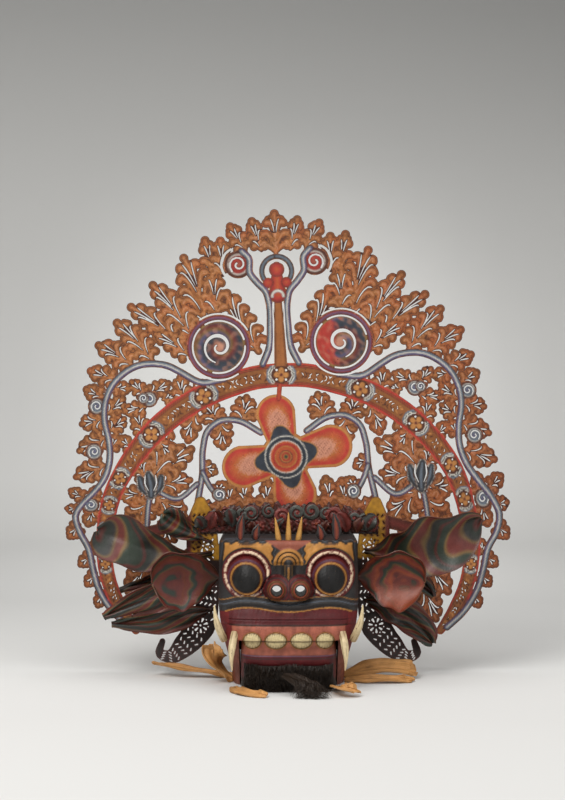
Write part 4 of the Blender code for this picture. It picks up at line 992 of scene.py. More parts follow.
def carve_head():
    """The head: level rings with the carving on their front, hollowed behind, with the jaw's slot and the
    bores."""
    step = bpy.context.scene.barong_sizes.face_step
    face = np.arange(MOUTH_HEIGHT - 0.004, HEAD_HEIGHT - TOP_ROUND, step)
    turned = np.linspace(0, math.pi / 2, 6)
    heights = np.concatenate([np.linspace(0, face[0], 20, endpoint=False), face,
                              HEAD_HEIGHT - TOP_ROUND + TOP_ROUND * np.sin(turned)])
    insets = np.concatenate([np.zeros(20 + len(face)), TOP_ROUND * (1 - np.cos(turned))])
    columns = section(HALF_HEAD, BROW_Y, BACK_Y, CORNER_DEPTH, step)
    share = columns[0] / HALF_HEAD
    straight = np.abs(share) >= 1
    back_share = np.where(straight, (columns[1] - BROW_Y - CORNER_DEPTH) / (BACK_Y - BROW_Y - CORNER_DEPTH),
                          0)
    z, inset = heights[:, None], insets[:, None]
    half, front = half_width(z) - inset, front_line(z) + inset
    facing = columns[2][None] * np.ones_like(z)
    x = half * share[None]
    y = front + CORNER_DEPTH * (1 - facing)
    y = np.where(straight[None], front + CORNER_DEPTH + (BACK_Y - front - CORNER_DEPTH) * back_share[None],
                 y)
    relief = face_relief(x, z + 0 * x) * carving(facing)
    marks = 0.00016 * mottle(np.stack([x, z + 0 * x], -1), 0.006, 11)
    y = y - (relief + marks * (facing > 0)) * np.where(inset == 0, 1.0, 0.4)
    rings = np.stack([x, y, z + 0 * x], -1)
    hollow = []
    for level in np.linspace(-0.1 * HEAD_HEIGHT, HEAD_HEIGHT - WALL, 14):
        inner = half_width(max(level, 0)) - WALL
        hx, hy, _ = section(inner, front_line(level) + FACE_WALL, BACK_Y + WALL, 0.8 * CORNER_DEPTH, 0.012)
        hollow.append((hx, hy, level))
    count = min(len(ring[0]) for ring in hollow)
    hx = [np.interp(np.linspace(0, 1, count), np.linspace(0, 1, len(r[0])), r[0]) for r in hollow]
    hy = [np.interp(np.linspace(0, 1, count), np.linspace(0, 1, len(r[1])), r[1]) for r in hollow]
    hz = [np.full(count, r[2]) for r in hollow]
    cuts = [loft(np.stack([hx, hy, hz], -1))]
    cuts.append(cutter_block((-HALF_SLOT, MUZZLE_Y - 0.05, -0.02), (HALF_SLOT, SLOT_BACK_Y, MOUTH_HEIGHT)))
    for side in (-1, 1):
        start = (side * WING_X, MUZZLE_Y - 0.06, NOSE_HEIGHT)
        cuts.append(cutter_rod(start, (side * WING_X, BROW_Y + 2 * FACE_WALL, NOSE_HEIGHT), NOSTRIL_RADIUS))
    bore = HINGE_RADIUS + HINGE_CLEARANCE
    cuts.append(cutter_rod((-HEAD_WIDTH, HINGE_Y, HINGE_HEIGHT), (HEAD_WIDTH, HINGE_Y, HINGE_HEIGHT), bore))
    for start, end, bow in tusk_lines().values():
        rings_cut = horn(start, end, bow, TUSK_RADIUS, 0.0012, 20, 8, grow=GAP)
        rings_cut[0] -= (rings_cut[1].mean(0) - rings_cut[0].mean(0)) * 0.05
        cuts.append(loft(rings_cut))
    carved_piece("head_carved", combine("head", *loft(rings), cuts), paint_head, ["head"])


def carve_jaw():
    """The jaw: a tray with lip and teeth in front, arms behind and the bosses that it turns on."""
    step = bpy.context.scene.barong_sizes.face_step
    top = MOUTH_HEIGHT - JAW_TOP_GAP
    arm_end = HINGE_Y + 1.7 * HINGE_RADIUS
    corner = 0.6 * CORNER_DEPTH
    x1, y1, facing = section(HALF_JAW, BROW_Y - MUZZLE_REACH, arm_end, corner, step)
    straight = np.abs(x1 / HALF_JAW) >= 1
    base = BROW_Y - MUZZLE_REACH + corner
    back_share = np.where(straight, (y1 - base) / (arm_end - base), 0)
    z = np.arange(0, top + step / 2, step)
    z = (z * top / z[-1])[:, None]
    x = x1[None] + 0 * z
    y = jaw_front(z) + corner * (1 - facing[None])
    y = np.where(straight[None], jaw_front(z) + corner
                 + (arm_end - jaw_front(z) - corner) * back_share[None], y)
    y = y - jaw_relief(x, z + 0 * x) * carving(facing[None])
    rings = np.stack([x, y, z + 0 * x], -1)
    hollow = []
    for level in (JAW_FLOOR, top + 0.02):
        hx, hy, _ = section(HALF_JAW - JAW_WALL, jaw_front(0.5 * MOUTH_HEIGHT) + FACE_WALL, arm_end + 0.02,
                            0.5 * CORNER_DEPTH, 0.010)
        hollow.append(np.stack([hx, hy, np.full_like(hx, level)], -1))
    arm_top = HINGE_HEIGHT + 1.5 * HINGE_RADIUS
    lowered = cutter_block((-HEAD_WIDTH, SLOT_BACK_Y, arm_top), (HEAD_WIDTH, BACK_Y + WALL, top + 0.02))
    reach = half_width(HINGE_HEIGHT) - 0.3 * WALL
    bosses = [
        cutter_rod((side * (HALF_JAW - 0.5 * JAW_WALL), HINGE_Y, HINGE_HEIGHT),
                   (side * reach, HINGE_Y, HINGE_HEIGHT),
                   HINGE_RADIUS)
        for side in (-1, 1)
    ]
    mesh = combine("jaw", *loft(rings), [loft(np.array(hollow)), lowered], bosses)
    carved_piece("jaw_carved", mesh, paint_jaw, ["lower_jaw"])


def make_tusks():
    """Ridged horn tusks with dark cracks along them and a stained root."""
    c = colours()
    sides, steps = 28, 60
    for name, (start, end, bow) in tusk_lines().items():
        rings = horn(start, end, bow, TUSK_RADIUS, 0.0010, sides, steps)
        middle = rings.mean(1, keepdims=True)
        turn = angles_round(sides)
        t = np.linspace(0, 1, steps)[:, None]
        cracks = np.cos(5 * turn[None] + 2.2 * t + 1.3 * np.sin(9 * t))
        cracks = cracks + 0.6 * np.cos(11 * turn[None] - 3 * t)
        fuller = 0.20 * bump(t - 0.45, 0.33)
        uneven = 1 + fuller - 0.035 * np.clip(cracks, 0, 1.3) - 0.02 * np.cos(40 * t) * (1 - t)
        rings = middle + (rings - middle) * uneven[..., None]
        points, faces = loft(rings)
        crack = np.clip((cracks - 0.95) / 0.4, 0, 1) * (0.35 + 0.65 * (1 - t))
        paint = lay(np.broadcast_to(c.horn, (steps, sides, 3)), 0.75 * crack, c.ochre_dark * 0.6)
        root = ease((0.30 - t) / 0.3) + 0 * crack
        paint = lay(paint, 0.45 * root, c.gold * 0.5)
        new_piece(f"{name}_horn", points, faces, paint.reshape(-1, 3), horn_finish(), [name])


def make_brow_ornaments():
    """Gilt spikes, flattened and ridged down the middle, and small painted leather flames beside them."""
    c = colours()
    foot = HEAD_HEIGHT + GAP
    spike_y = BROW_Y + TOP_ROUND + 1.4 * SPIKE_RADIUS
    for name, side, share in (("left", -1, 0.82), ("middle", 0, 1.0), ("right", 1, 0.84)):
        start = (side * 3.0 * SPIKE_RADIUS, spike_y, foot)
        end = (side * 4.1 * SPIKE_RADIUS, spike_y - 0.004, foot + share * SPIKE_LENGTH)
        sides, steps = 16, 30
        rings = horn(start, end, (0, 0, 0), SPIKE_RADIUS, 0.0006, sides, steps)
        rings[0, :, 2] = foot
        middle = rings.mean(1, keepdims=True)
        turn = angles_round(sides)
        t = np.linspace(0, 1, steps)[:, None]
        groove = 1 - 0.22 * bump(np.abs(np.sin(turn[None])) - 0.2, 0.3) * ease((0.9 - t) / 0.3)
        rings = middle + (rings - middle) * groove[..., None]
        points, faces = loft(rings)
        # Painted shade: the gilt is darker where each spike is pressed in.
        paint = c.gilt * (0.72 + 0.28 * (groove - 0.7) / 0.3)[..., None]
        new_piece(f"spike_{name}_gilded", points, faces, paint.reshape(-1, 3), gilt_finish(),
                  [f"spike_{name}"])
    for side, side_name in SIDES:
        for number, (across, share) in enumerate(((0.34, 0.95), (0.23, 0.55)), 1):
            start = np.array([side * across * HEAD_WIDTH, spike_y + 0.004, foot])
            top = np.array([side * (across - 0.02) * HEAD_WIDTH, spike_y + 0.004,
                            foot + share * SPIKE_LENGTH])
            bend = (start + top) / 2 + np.array([side * 0.005, -0.003, 0])
            sheet = leaf_sheet(start, bend, top, 2.6 * SPIKE_RADIUS, 0.9, (0, -1, 0), 0.35, 0.8, 0.2 * side,
                               26, 12)
            sheet[..., 2] = np.maximum(sheet[..., 2], foot)
            t, edge = sheet_places(26, 12)
            paint = layered(
                np.broadcast_to(c.slate, (26, 12, 3)),
                (within(edge - 0.55, 0.1) * ease((0.8 - t) / 0.2), c.leaf_red * 1.3),
                (within(edge - 0.22, 0.1), c.orange * 0.5),
            )
            points, faces = sheet_solid(sheet, 0.0022)
            new_piece(f"flame_{side_name}_{number}_shaped", points, faces,
                      np.tile(paint.reshape(-1, 3), (2, 1)),
                      leaf_finish(), [f"flame_{side_name}_{number}"])


# Leather leaves


def leaf_sheet(base, middle, tip, width, cup, face, root_power, tip_power, twist=0.0, rows=8, columns=5,
               wave=0.0):
    """Points (rows, columns, 3) of a cupped leaf. Its rib is a curve from base by middle to tip, its
    outline is t to root_power times (1 - t) to tip_power, and each cross-section is an arc that opens
    towards face. wave is how far the edges ripple."""
    base, middle, tip, face = (np.array(v, float) for v in (base, middle, tip, face))
    t = np.linspace(0, 1, rows)[:, None]
    rib = base * (1 - t) ** 2 + middle * 2 * t * (1 - t) + tip * t**2
    along = 2 * (middle - base) * (1 - t) + 2 * (tip - middle) * t
    along /= np.linalg.norm(along, axis=1)[:, None]
    side = np.cross(along, face)
    side /= np.linalg.norm(side, axis=1)[:, None]
    normal = np.cross(side, along)
    angle = twist * t
    turned = side * np.cos(angle) + normal * np.sin(angle)
    normal = normal * np.cos(angle) - side * np.sin(angle)
    peak = root_power / (root_power + tip_power)
    most = peak**root_power * (1 - peak) ** tip_power
    half = width / 2 * np.clip(t**root_power * (1 - t) ** tip_power / most, 0.10, None)
    bend = cup * ease(t / 0.35) + 1e-3
    across = np.linspace(-1, 1, columns)[None, :]
    lateral = half * np.sin(bend * across) / np.sin(bend)
    depth = half * (1 - np.cos(bend * across)) / np.sin(bend)
    edge = np.abs(across) ** 3
    depth = depth + wave * edge * np.sin(9 * t + 1.5 * np.sign(across)) * ease(t / 0.3)
    depth = depth - 0.3 * wave * np.cos(across * 7)
    lateral = lateral * (1 + 0.05 * edge * np.sin(17 * t + 2 * np.sign(across)))
    return rib[:, None] + lateral[..., None] * turned[:, None] + depth[..., None] * normal[:, None]


def sheet_places(rows, columns):
    """For each point of a sheet, its share along and its signless share across."""
    t = np.linspace(0, 1, rows)[:, None] * np.ones((1, columns))
    return t, np.abs(np.linspace(-1, 1, columns))[None] * np.ones((rows, 1))


def stripes(phase, stops):
    """Colours that repeat with a whole step of phase."""
    return ramp(np.mod(phase, 1.0), [*stops, (1.0, stops[0][1])])


def new_leaf(node_name, sheet, paint, finish, thickness=LEAF_THICKNESS):
    """A leather leaf with painted front and bare, darker back."""
    c = colours()
    rows, columns = sheet.shape[:2]
    _, edge = sheet_places(rows, columns)
    rim = ease((edge - 0.90) / 0.08)
    front = lay(paint, 0.6 * rim, c.leaf_red * 0.8)
    back = lay(np.broadcast_to(c.hide * 0.55, front.shape), 0.5 * rim, c.ochre_dark)
    thick = thickness * (0.45 + 0.55 * ease((1 - edge) / 0.25))
    points, faces = sheet_solid(sheet, thick)
    normal = grid_normals(sheet)[rows // 2, columns // 2]
    first, second = (front, back) if normal[1] < 0 else (back, front)
    shades = np.concatenate([first.reshape(-1, 3), second.reshape(-1, 3)])
    new_piece(f"{node_name}_shaped", points, faces, shades, finish, [node_name], sharp=60)


def shape_ears():
    """Two cupped ears, ringed in red, green and orange round the bottom of the cup."""
    c = colours()
    wall = HALF_HEAD + GAP + 0.6 * LEAF_THICKNESS
    rows, columns = 96, 64
    for side, name in SIDES:
        sheet = leaf_sheet(
            base=(side * wall, -0.030, 0.166),
            middle=(side * (wall + 0.060), -0.040, 0.172),
            tip=(side * (wall + 0.106), -0.052, 0.158),
            width=0.096, cup=1.05, face=(side * 0.15, -1, -0.12), root_power=0.62, tip_power=0.36,
            rows=rows, columns=columns, wave=0.0016,
        )
        t, _ = sheet_places(rows, columns)
        across = np.linspace(-1, 1, columns)[None]
        around = np.arctan2(across, (t - 0.55) / 0.42)
        ring = np.hypot((t - 0.70) / 0.62, across - 0.18 * side) + 0.06 * np.cos(2 * around + 0.8 * side)
        phase = 2.4 * np.maximum(ring, 0.28) + 0.12 * mottle(sheet, 0.03, 15 + side)
        warm = c.orange * (0.50 if side > 0 else 0.26)
        stops = [(0.0, warm), (0.26, c.leaf_red * (1.5 if side > 0 else 1.1)), (0.38, c.leaf_gold * 0.35),
                 (0.46, c.green), (0.62, c.green * 0.8), (0.70, c.leaf_red * 0.8), (0.84, c.leaf_red)]
        paint = stripes(phase, stops)
        if side > 0:
            below = ease((0.166 - sheet[..., 2]) / 0.03)
            paint = lay(paint, below * ease((1.02 - ring) / 0.25) * 0.75, c.orange * 0.60)
        # Painted shade at the ear's root, deep in the cup against the head.
        root = ease((0.30 - t) / 0.3)
        paint = lay(paint, 0.7 * root, c.ochre_dark * 0.6)
        new_leaf(f"ear_{name}", sheet, paint, leaf_finish())


# Each side leaf: height of its root on the pendant, then its middle and tip as (out, forward, height),
# width, cup, root and tip powers, and twist. Lengths are in metres and angles in radians.
LEFT_LEAVES = {
    "leaf_upper_left": (0.200, (0.205, 0.062, 0.188), (0.312, 0.050, 0.242), 0.082, 0.85, 1.9, 0.45, 0.25),
    "leaf_small_left": (0.218, (0.170, 0.014, 0.236), (0.206, 0.012, 0.266), 0.050, 0.70, 1.9, 0.42, 0.0),
    "leaf_back_left": (0.160, (0.190, 0.016, 0.172), (0.278, 0.018, 0.140), 0.034, 0.40, 0.9, 1.1, 0.0),
    "leaf_lower_left": (0.134, (0.222, 0.052, 0.150), (0.302, 0.044, 0.100), 0.052, 0.55, 0.9, 0.9, -0.3),
    "leaf_bottom_left": (0.106, (0.200, 0.026, 0.092), (0.290, 0.034, 0.086), 0.046, 0.45, 1.0, 1.0, 0.2),
}
RIGHT_LEAVES = {
    "leaf_upper_right": (0.204, (0.215, 0.066, 0.196), (0.316, 0.046, 0.262), 0.098, 0.90, 1.2, 0.75, -0.35),
    "leaf_back_right": (0.160, (0.200, 0.016, 0.196), (0.240, 0.018, 0.130), 0.034, 0.40, 0.9, 0.6, 0.0),
    "leaf_lower_right": (0.122, (0.190, 0.040, 0.122), (0.236, 0.040, 0.056), 0.056, 0.60, 0.7, 0.5, 0.3),
}


def pendant_middle(height):
    """How far back the pendants' middle lies at a height: they bend forward towards the foot."""
    return FLAP_Y - FLAP_BEND * np.clip((0.14 - height) / 0.14, 0, None) ** 2


def shape_leaves():
    """Striped leather leaves whose roots lie flat on the pendants' fronts."""
    c = colours()
    rows, columns = 90, 44
    stops = [(0.0, c.green), (0.20, c.green * 1.3), (0.27, c.leaf_gold * 0.7), (0.34, c.leaf_red * 1.25),
             (0.52, c.leaf_red), (0.58, c.leaf_gold * 0.5), (0.66, c.slate * 0.8), (0.84, c.green * 0.7),
             (0.92, c.leaf_red * 0.8)]
    for side, leaves in ((-1, LEFT_LEAVES), (1, RIGHT_LEAVES)):
        for number, (name, leaf) in enumerate(leaves.items()):
            root_z, middle, tip, width, cup, root_power, tip_power, twist = leaf
            root_y = pendant_middle(root_z - 0.02) - (FLAP_THICKNESS + LEAF_THICKNESS) / 2 - GAP
            sheet = leaf_sheet(
                base=(side * (HALF_HEAD + 0.016), root_y, root_z),
                middle=(side * middle[0], root_y - middle[1], middle[2]),
                tip=(side * tip[0], root_y - tip[1], tip[2]),
                width=width, cup=cup, face=(0, -1, 0), root_power=root_power, tip_power=tip_power,
                twist=side * twist, rows=rows, columns=columns, wave=0.0022 if "upper" in name else 0.0062,
            )
            span = np.linspace(0, 1, rows)[:, None]
            folds = 0.0028 * np.cos(1.5 * math.pi * np.linspace(-1, 1, columns)[None] + 3 * span)
            if "upper" in name:
                folds = 0.5 * folds + 0.0034 * np.cos(17 * span + 0.8 * np.linspace(-1, 1, columns)[None])
            folds = folds * ease(span / 0.4)
            sheet = sheet + grid_normals(sheet) * folds[..., None]
            t, _ = sheet_places(rows, columns)
            across = np.linspace(-1, 1, columns)[None]
            wander = 0.10 * mottle(sheet, 0.06, 25 + number)
            if "upper" in name or "small" in name:
                phase = 3.1 * t - 0.55 * across**2 + 0.22 * side * across + wander
            else:
                phase = 1.30 * across + 0.42 * np.sin(5.5 * t + number) + 0.5 * t + wander
            paint = stripes(phase + 0.2 * number, stops)
            # Painted shade at each leaf's root, where it lies against the pendant.
            paint = lay(paint, 0.6 * ease((0.30 - t) / 0.25), c.ochre_dark * 0.5)
            if "lower" in name or "bottom" in name:
                paint = lay(paint, 0.6 * ease((np.abs(across) - 0.72) / 0.12), c.leaf_red * 1.3)
            # Painted shade: the leaves set back, and the lower right one, are darkened as a whole.
            dark = 0.7 if name in ("leaf_lower_right", "leaf_back_right", "leaf_back_left") else 1.0
            new_leaf(name, sheet, paint * dark, leaf_finish())


# Openwork


class Openwork:
    """A pierced, painted sheet drawn on a square grid: below zero distance is leather and above is air.
    Each cell holds its paint, whether that paint is a leaf's, and whether it wants a close mesh."""

    def __init__(self, u, v):
        self.u, self.v = u, v
        shape = (len(v), len(u))
        self.distance = np.full(shape, FAR)
        self.vein = np.zeros(shape)
        self.paint = np.zeros(shape + (3,))
        self.leaf = np.ones(shape, bool)
        self.close = np.zeros(shape, bool)

    def window(self, points, reach):
        """The part of the grid within reach of the points."""
        low, high = points.min(0) - reach, points.max(0) + reach
        columns = slice(*np.searchsorted(self.u, (low[0], high[0])))
        rows = slice(*np.searchsorted(self.v, (low[1], high[1])))
        return rows, columns, *np.meshgrid(self.u[columns], self.v[rows])

    def merge(self, rows, columns, distance, cut):
        kept = self.distance[rows, columns]
        self.distance[rows, columns] = np.maximum(kept, -distance) if cut else np.minimum(kept, distance)

    def lay(self, rows, columns, inside, paint, close=True):
        """Paints the cells that are inside."""
        self.paint[rows, columns][inside] = paint[inside] if np.ndim(paint) > 1 else paint
        self.leaf[rows, columns][inside] = False
        self.vein[rows, columns][inside] = 0
        self.close[rows, columns][inside] |= close

    def strap(self, points, radii, cut=False, stops=None, grow=0.0, vein=False):
        """A strip along a line of points with a half width at each, round at its ends. Its paint is read
        by the share across it, from -1 to 1. vein keeps that share, without its sign, for the lines drawn
        along leaves."""
        points = np.array(points, float)
        radii = np.broadcast_to(np.array(radii, float), (len(points),))
        cell = self.u[1] - self.u[0]
        rows, columns, u, v = self.window(points, radii.max() + 4 * cell)
        best = np.full(u.shape, FAR)
        share = np.ones(u.shape)
        for a, b, ra, rb in zip(points[:-1], points[1:], radii[:-1], radii[1:]):
            along = b - a
            t = np.clip(((u - a[0]) * along[0] + (v - a[1]) * along[1]) / max(along @ along, 1e-12), 0, 1)
            du, dv = u - a[0] - t * along[0], v - a[1] - t * along[1]
            away, radius = np.hypot(du, dv), ra + (rb - ra) * t
            nearer = away - radius < best
            best = np.where(nearer, away - radius, best)
            share = np.where(nearer, away / radius * np.sign(along[0] * dv - along[1] * du + 1e-15), share)
        if vein:
            over = best < self.distance[rows, columns]
            self.vein[rows, columns][over] = np.abs(share)[over]
        self.merge(rows, columns, best, cut)
        if stops is not None:
            self.lay(rows, columns, best < grow, ramp(share, stops))

    def disc(self, centre, radius, cut=False, stops=None, vein=False):
        centre = np.array(centre, float)
        self.strap(np.array([centre, centre + 1e-6]), radius, cut=cut, stops=stops, vein=vein)

    def box(self, low, high, cut=False):
        """A rectangle, its sides along the grid."""
        low, high = np.array(low, float), np.array(high, float)
        rows, columns, u, v = self.window(np.array([low, high]), 4 * (self.u[1] - self.u[0]))
        outside = np.maximum(np.abs(u - (low[0] + high[0]) / 2) - (high[0] - low[0]) / 2,
                             np.abs(v - (low[1] + high[1]) / 2) - (high[1] - low[1]) / 2)
        self.merge(rows, columns, outside, cut)

    def mirror(self):
        """Adds the other half as the mirror image of what is drawn; the grid is even about its middle."""
        other = self.distance[:, ::-1]
        theirs = (other < self.distance)
        self.paint = np.where(theirs[..., None], self.paint[:, ::-1], self.paint)
        self.leaf = np.where(theirs, self.leaf[:, ::-1], self.leaf)
        self.vein = np.where(theirs, self.vein[:, ::-1], self.vein)
        self.close = np.where(theirs, self.close[:, ::-1], self.close)
        self.distance = np.minimum(self.distance, other)

    def loops(self):
        """The outlines as closed loops of points, leather on the left, found cell by cell."""
        inside = self.distance < 0
        inside[0, :] = inside[-1, :] = False
        inside[:, 0] = inside[:, -1] = False
        value = np.where(inside, np.minimum(self.distance, -1e-7), np.maximum(self.distance, 1e-7))
        a, b, c, d = inside[:-1, :-1], inside[:-1, 1:], inside[1:, 1:], inside[1:, :-1]
        case = a * 1 + b * 2 + c * 4 + d * 8
        steps = {
            1: [(0, 3)], 2: [(1, 0)], 3: [(1, 3)], 4: [(2, 1)], 5: [(0, 3), (2, 1)], 6: [(2, 0)],
            7: [(2, 3)],
            8: [(3, 2)], 9: [(0, 2)], 10: [(1, 0), (3, 2)], 11: [(1, 2)], 12: [(3, 1)], 13: [(0, 1)],
            14: [(3, 0)],
        }
        follows = {}
        for row, column in zip(*(index.tolist() for index in np.nonzero((case > 0) & (case < 15)))):
            edges = ((0, row, column), (1, row, column + 1), (0, row + 1, column), (1, row, column))
            for start, end in steps[int(case[row, column])]:
                follows[edges[start]] = edges[end]
        found = []
        while follows:
            edge = next(iter(follows))
            loop = []
            while edge in follows:
                loop.append(edge)
                edge = follows.pop(edge)
            found.append(self.crossings(value, np.array(loop)))
        return found

    def crossings(self, value, loop):
        """Where the outline crosses the sides of the cells."""
        upright, row, column = loop[:, 0] == 1, loop[:, 1], loop[:, 2]
        here = value[row, column]
        there = np.where(upright, value[np.minimum(row + 1, len(self.v) - 1), column],
                         value[row, np.minimum(column + 1, len(self.u) - 1)])
        share = np.clip(here / (here - there), 0.04, 0.96)
        step = self.u[1] - self.u[0]
        return np.stack([self.u[column] + np.where(upright, 0, share * step),
                         self.v[row] + np.where(upright, share * step, 0)], -1)

    def read(self, field, places):
        """A field of the grid read at places (u, v), blended between the four cells round each."""
        step = self.u[1] - self.u[0]
        column = np.clip((places[:, 0] - self.u[0]) / step, 0, len(self.u) - 1.001)
        row = np.clip((places[:, 1] - self.v[0]) / step, 0, len(self.v) - 1.001)
        i, j = row.astype(int), column.astype(int)
        s, t = row - i, column - j
        if field.ndim == 3:
            s, t = s[:, None], t[:, None]
        upper = field[i + 1, j] * (1 - t) + field[i + 1, j + 1] * t
        return (field[i, j] * (1 - t) + field[i, j + 1] * t) * (1 - s) + upper * s


def thinned(loop, tolerance):
    """The loop with only the points that its shape needs: the farthest point is kept, and so on each side
    of it."""
    start = int(np.argmax(np.hypot(*(loop - loop.mean(0)).T)))
    loop = np.roll(loop, -start, axis=0)
    closed = np.vstack([loop, loop[:1]])
    keep = np.zeros(len(closed), bool)
    keep[[0, -1]] = True
    spans = [(0, len(closed) - 1)]
    while spans:
        low, high = spans.pop()
        if high - low < 2:
            continue
        chord = closed[high] - closed[low]
        away = closed[low + 1 : high] - closed[low]
        length = np.hypot(*chord)
        off = np.abs(away[:, 0] * chord[1]
                     - away[:, 1] * chord[0]) / length if length > 1e-9 else np.hypot(*away.T)
        most = int(np.argmax(off))
        if off[most] > tolerance:
            keep[low + 1 + most] = True
            spans += [(low, low + 1 + most), (low + 1 + most, high)]
    return closed[:-1][keep[:-1]]


def scattered(work, spacing, wanted, clear):
    """Points in staggered rows at a spacing, where the grid wants them and at least clear inside the
    leather."""
    rows = np.arange(work.v[0], work.v[-1], spacing * 0.866)
    across = np.arange(work.u[0], work.u[-1], spacing)
    u, v = np.meshgrid(across, rows)
    u[1::2] += spacing / 2
    places = np.stack([u.ravel(), v.ravel()], -1)
    inside = work.read(work.distance, places) < -clear
    return places[inside & (work.read(wanted.astype(float), places) > 0.5)]


def fill(loops, inner, work):
    """Points and triangles of the leather that the loops bound, with inner points between. The loops part
    the plane into regions, the distances at a region's triangles tell whether it is leather, and the
    largest is kept."""
    points = np.vstack([*loops, inner])
    starts = np.cumsum([0] + [len(loop) for loop in loops])
    edges = [(s + i, s + (i + 1) % n) for s, n in zip(starts.tolist(), map(len, loops)) for i in range(n)]
    found = delaunay_2d_cdt([Vector(p) for p in points.tolist()], edges, [], 0, 1e-9)
    corners, triangles = np.array([tuple(p) for p in found[0]]), np.array(found[2])
    walls = {(min(side), max(side)) for side, parent in zip(found[1], found[4]) if parent}
    sides = np.sort(np.concatenate([triangles[:, [0, 1]], triangles[:, [1, 2]], triangles[:, [2, 0]]]),
                    axis=1)
    owner = np.tile(np.arange(len(triangles)), 3)
    order = np.lexsort((sides[:, 1], sides[:, 0]))
    sides, owner = sides[order], owner[order]
    pairs = np.nonzero((sides[1:] == sides[:-1]).all(1))[0]
    beside = [[] for _ in triangles]
    for at in pairs.tolist():
        if (int(sides[at, 0]), int(sides[at, 1])) not in walls:
            beside[owner[at]].append(int(owner[at + 1]))
            beside[owner[at + 1]].append(int(owner[at]))
    first, second = (corners[triangles[:, i]] - corners[triangles[:, 0]] for i in (1, 2))
    area = np.abs(first[:, 0] * second[:, 1] - first[:, 1] * second[:, 0])
    vote = area * np.where(work.read(work.distance, corners[triangles].mean(1)) < 0, 1.0, -1.0)
    largest, kept = 0.0, []
    seen = bytearray(len(triangles))
    for number in range(len(triangles)):
        if seen[number]:
            continue
        region, queue = [], [number]
        seen[number] = 1
        while queue:
            region.append(queue.pop())
            for other in beside[region[-1]]:
                if not seen[other]:
                    seen[other] = 1
                    queue.append(other)
        if vote[region].sum() > largest:
            largest, kept = vote[region].sum(), region
    return corners, triangles[kept]


def border(triangles):
    """The directed sides that only one triangle has, as (start, end) pairs."""
    sides = {(a, b) for t in triangles.tolist() for a, b in ((t[0], t[1]), (t[1], t[2]), (t[2], t[0]))}
    return sorted(side for side in sides if side[::-1] not in sides)


def new_openwork(name, work, tolerance, thickness, shape, finish, spacings, back_paint, nodes):
    """A pierced sheet as one solid: its outline filled with a close mesh in front and a wide one behind,
    both bent by shape(u, v, offset), and joined by walls along every edge."""
    fine, coarse, rear = spacings
    loops = [thinned(loop, tolerance) for loop in work.loops()]
    loops = [loop for loop in loops if len(loop) > 3]
    inner = np.vstack([
        scattered(work, fine, work.close, 0.55 * fine),
        scattered(work, coarse, ~work.close, 0.55 * coarse),
    ])
    corners, leather = fill(loops, inner, work)
    rear_corners, rear_leather = fill(loops, scattered(work, rear, np.ones_like(work.leaf), 0.5 * rear),
                                      work)
    inset = np.clip(-work.read(work.distance, corners), 0, None)
    swell = 0.0003 * ease(inset / 0.003)
    front = shape(corners[:, 0], corners[:, 1], -thickness / 2 - swell)
    back = shape(rear_corners[:, 0], rear_corners[:, 1], thickness / 2)
    count = len(corners)
    places = {tuple(place): number for number, place in enumerate(np.round(rear_corners, 7).tolist())}
    twins = [places.get(tuple(place)) for place in np.round(corners, 7).tolist()]
    faces = leather.tolist() + (rear_leather[:, ::-1] + count).tolist()
    for a, b in border(leather):
        if twins[a] is not None and twins[b] is not None:
            faces.append((b, a, twins[a] + count, twins[b] + count))
    paint = work.read(work.paint, corners)
    shades = np.vstack([paint, np.broadcast_to(back_paint, (len(back), 3))])
    points = np.vstack([front, back])
    used = np.unique(np.concatenate([leather.ravel(), rear_leather.ravel() + count]))
    fresh = np.full(len(points), -1)
    fresh[used] = np.arange(len(used))
    faces = [tuple(fresh[list(face)].tolist()) for face in faces]
    faces = [face for face in faces if min(face) >= 0]
    made = new_piece(name, points[used], faces, shades[used], finish, nodes)
    leafy = work.read(work.leaf.astype(float), corners) > 0.5
    for label, values, rear_value in (("vein", np.where(leafy, work.read(work.vein, corners), 0.0), 0.0),
                                      ("depth", np.where(leafy, inset / MM, 20.0), 20.0)):
        layer = made.data.attributes.new(label, "FLOAT", "POINT")
        whole = np.concatenate([values, np.full(len(back), rear_value)])[used]
        layer.data.foreach_set("value", whole.astype(np.float32))


def spiral(centre, start_radius, end_radius, start_angle, turns, steps):
    """Points of a spiral that winds in from start_radius to end_radius."""
    t = np.linspace(0, 1, steps)
    angle = start_angle + turns * 2 * math.pi * t
    radius = start_radius + (end_radius - start_radius) * t
    return np.stack([centre[0] + radius * np.cos(angle), centre[1] + radius * np.sin(angle)], -1)


def arc(centre, radius, start_angle, turns, steps):
    """Points of an arc."""
    return spiral(centre, radius, radius, start_angle, turns, steps)


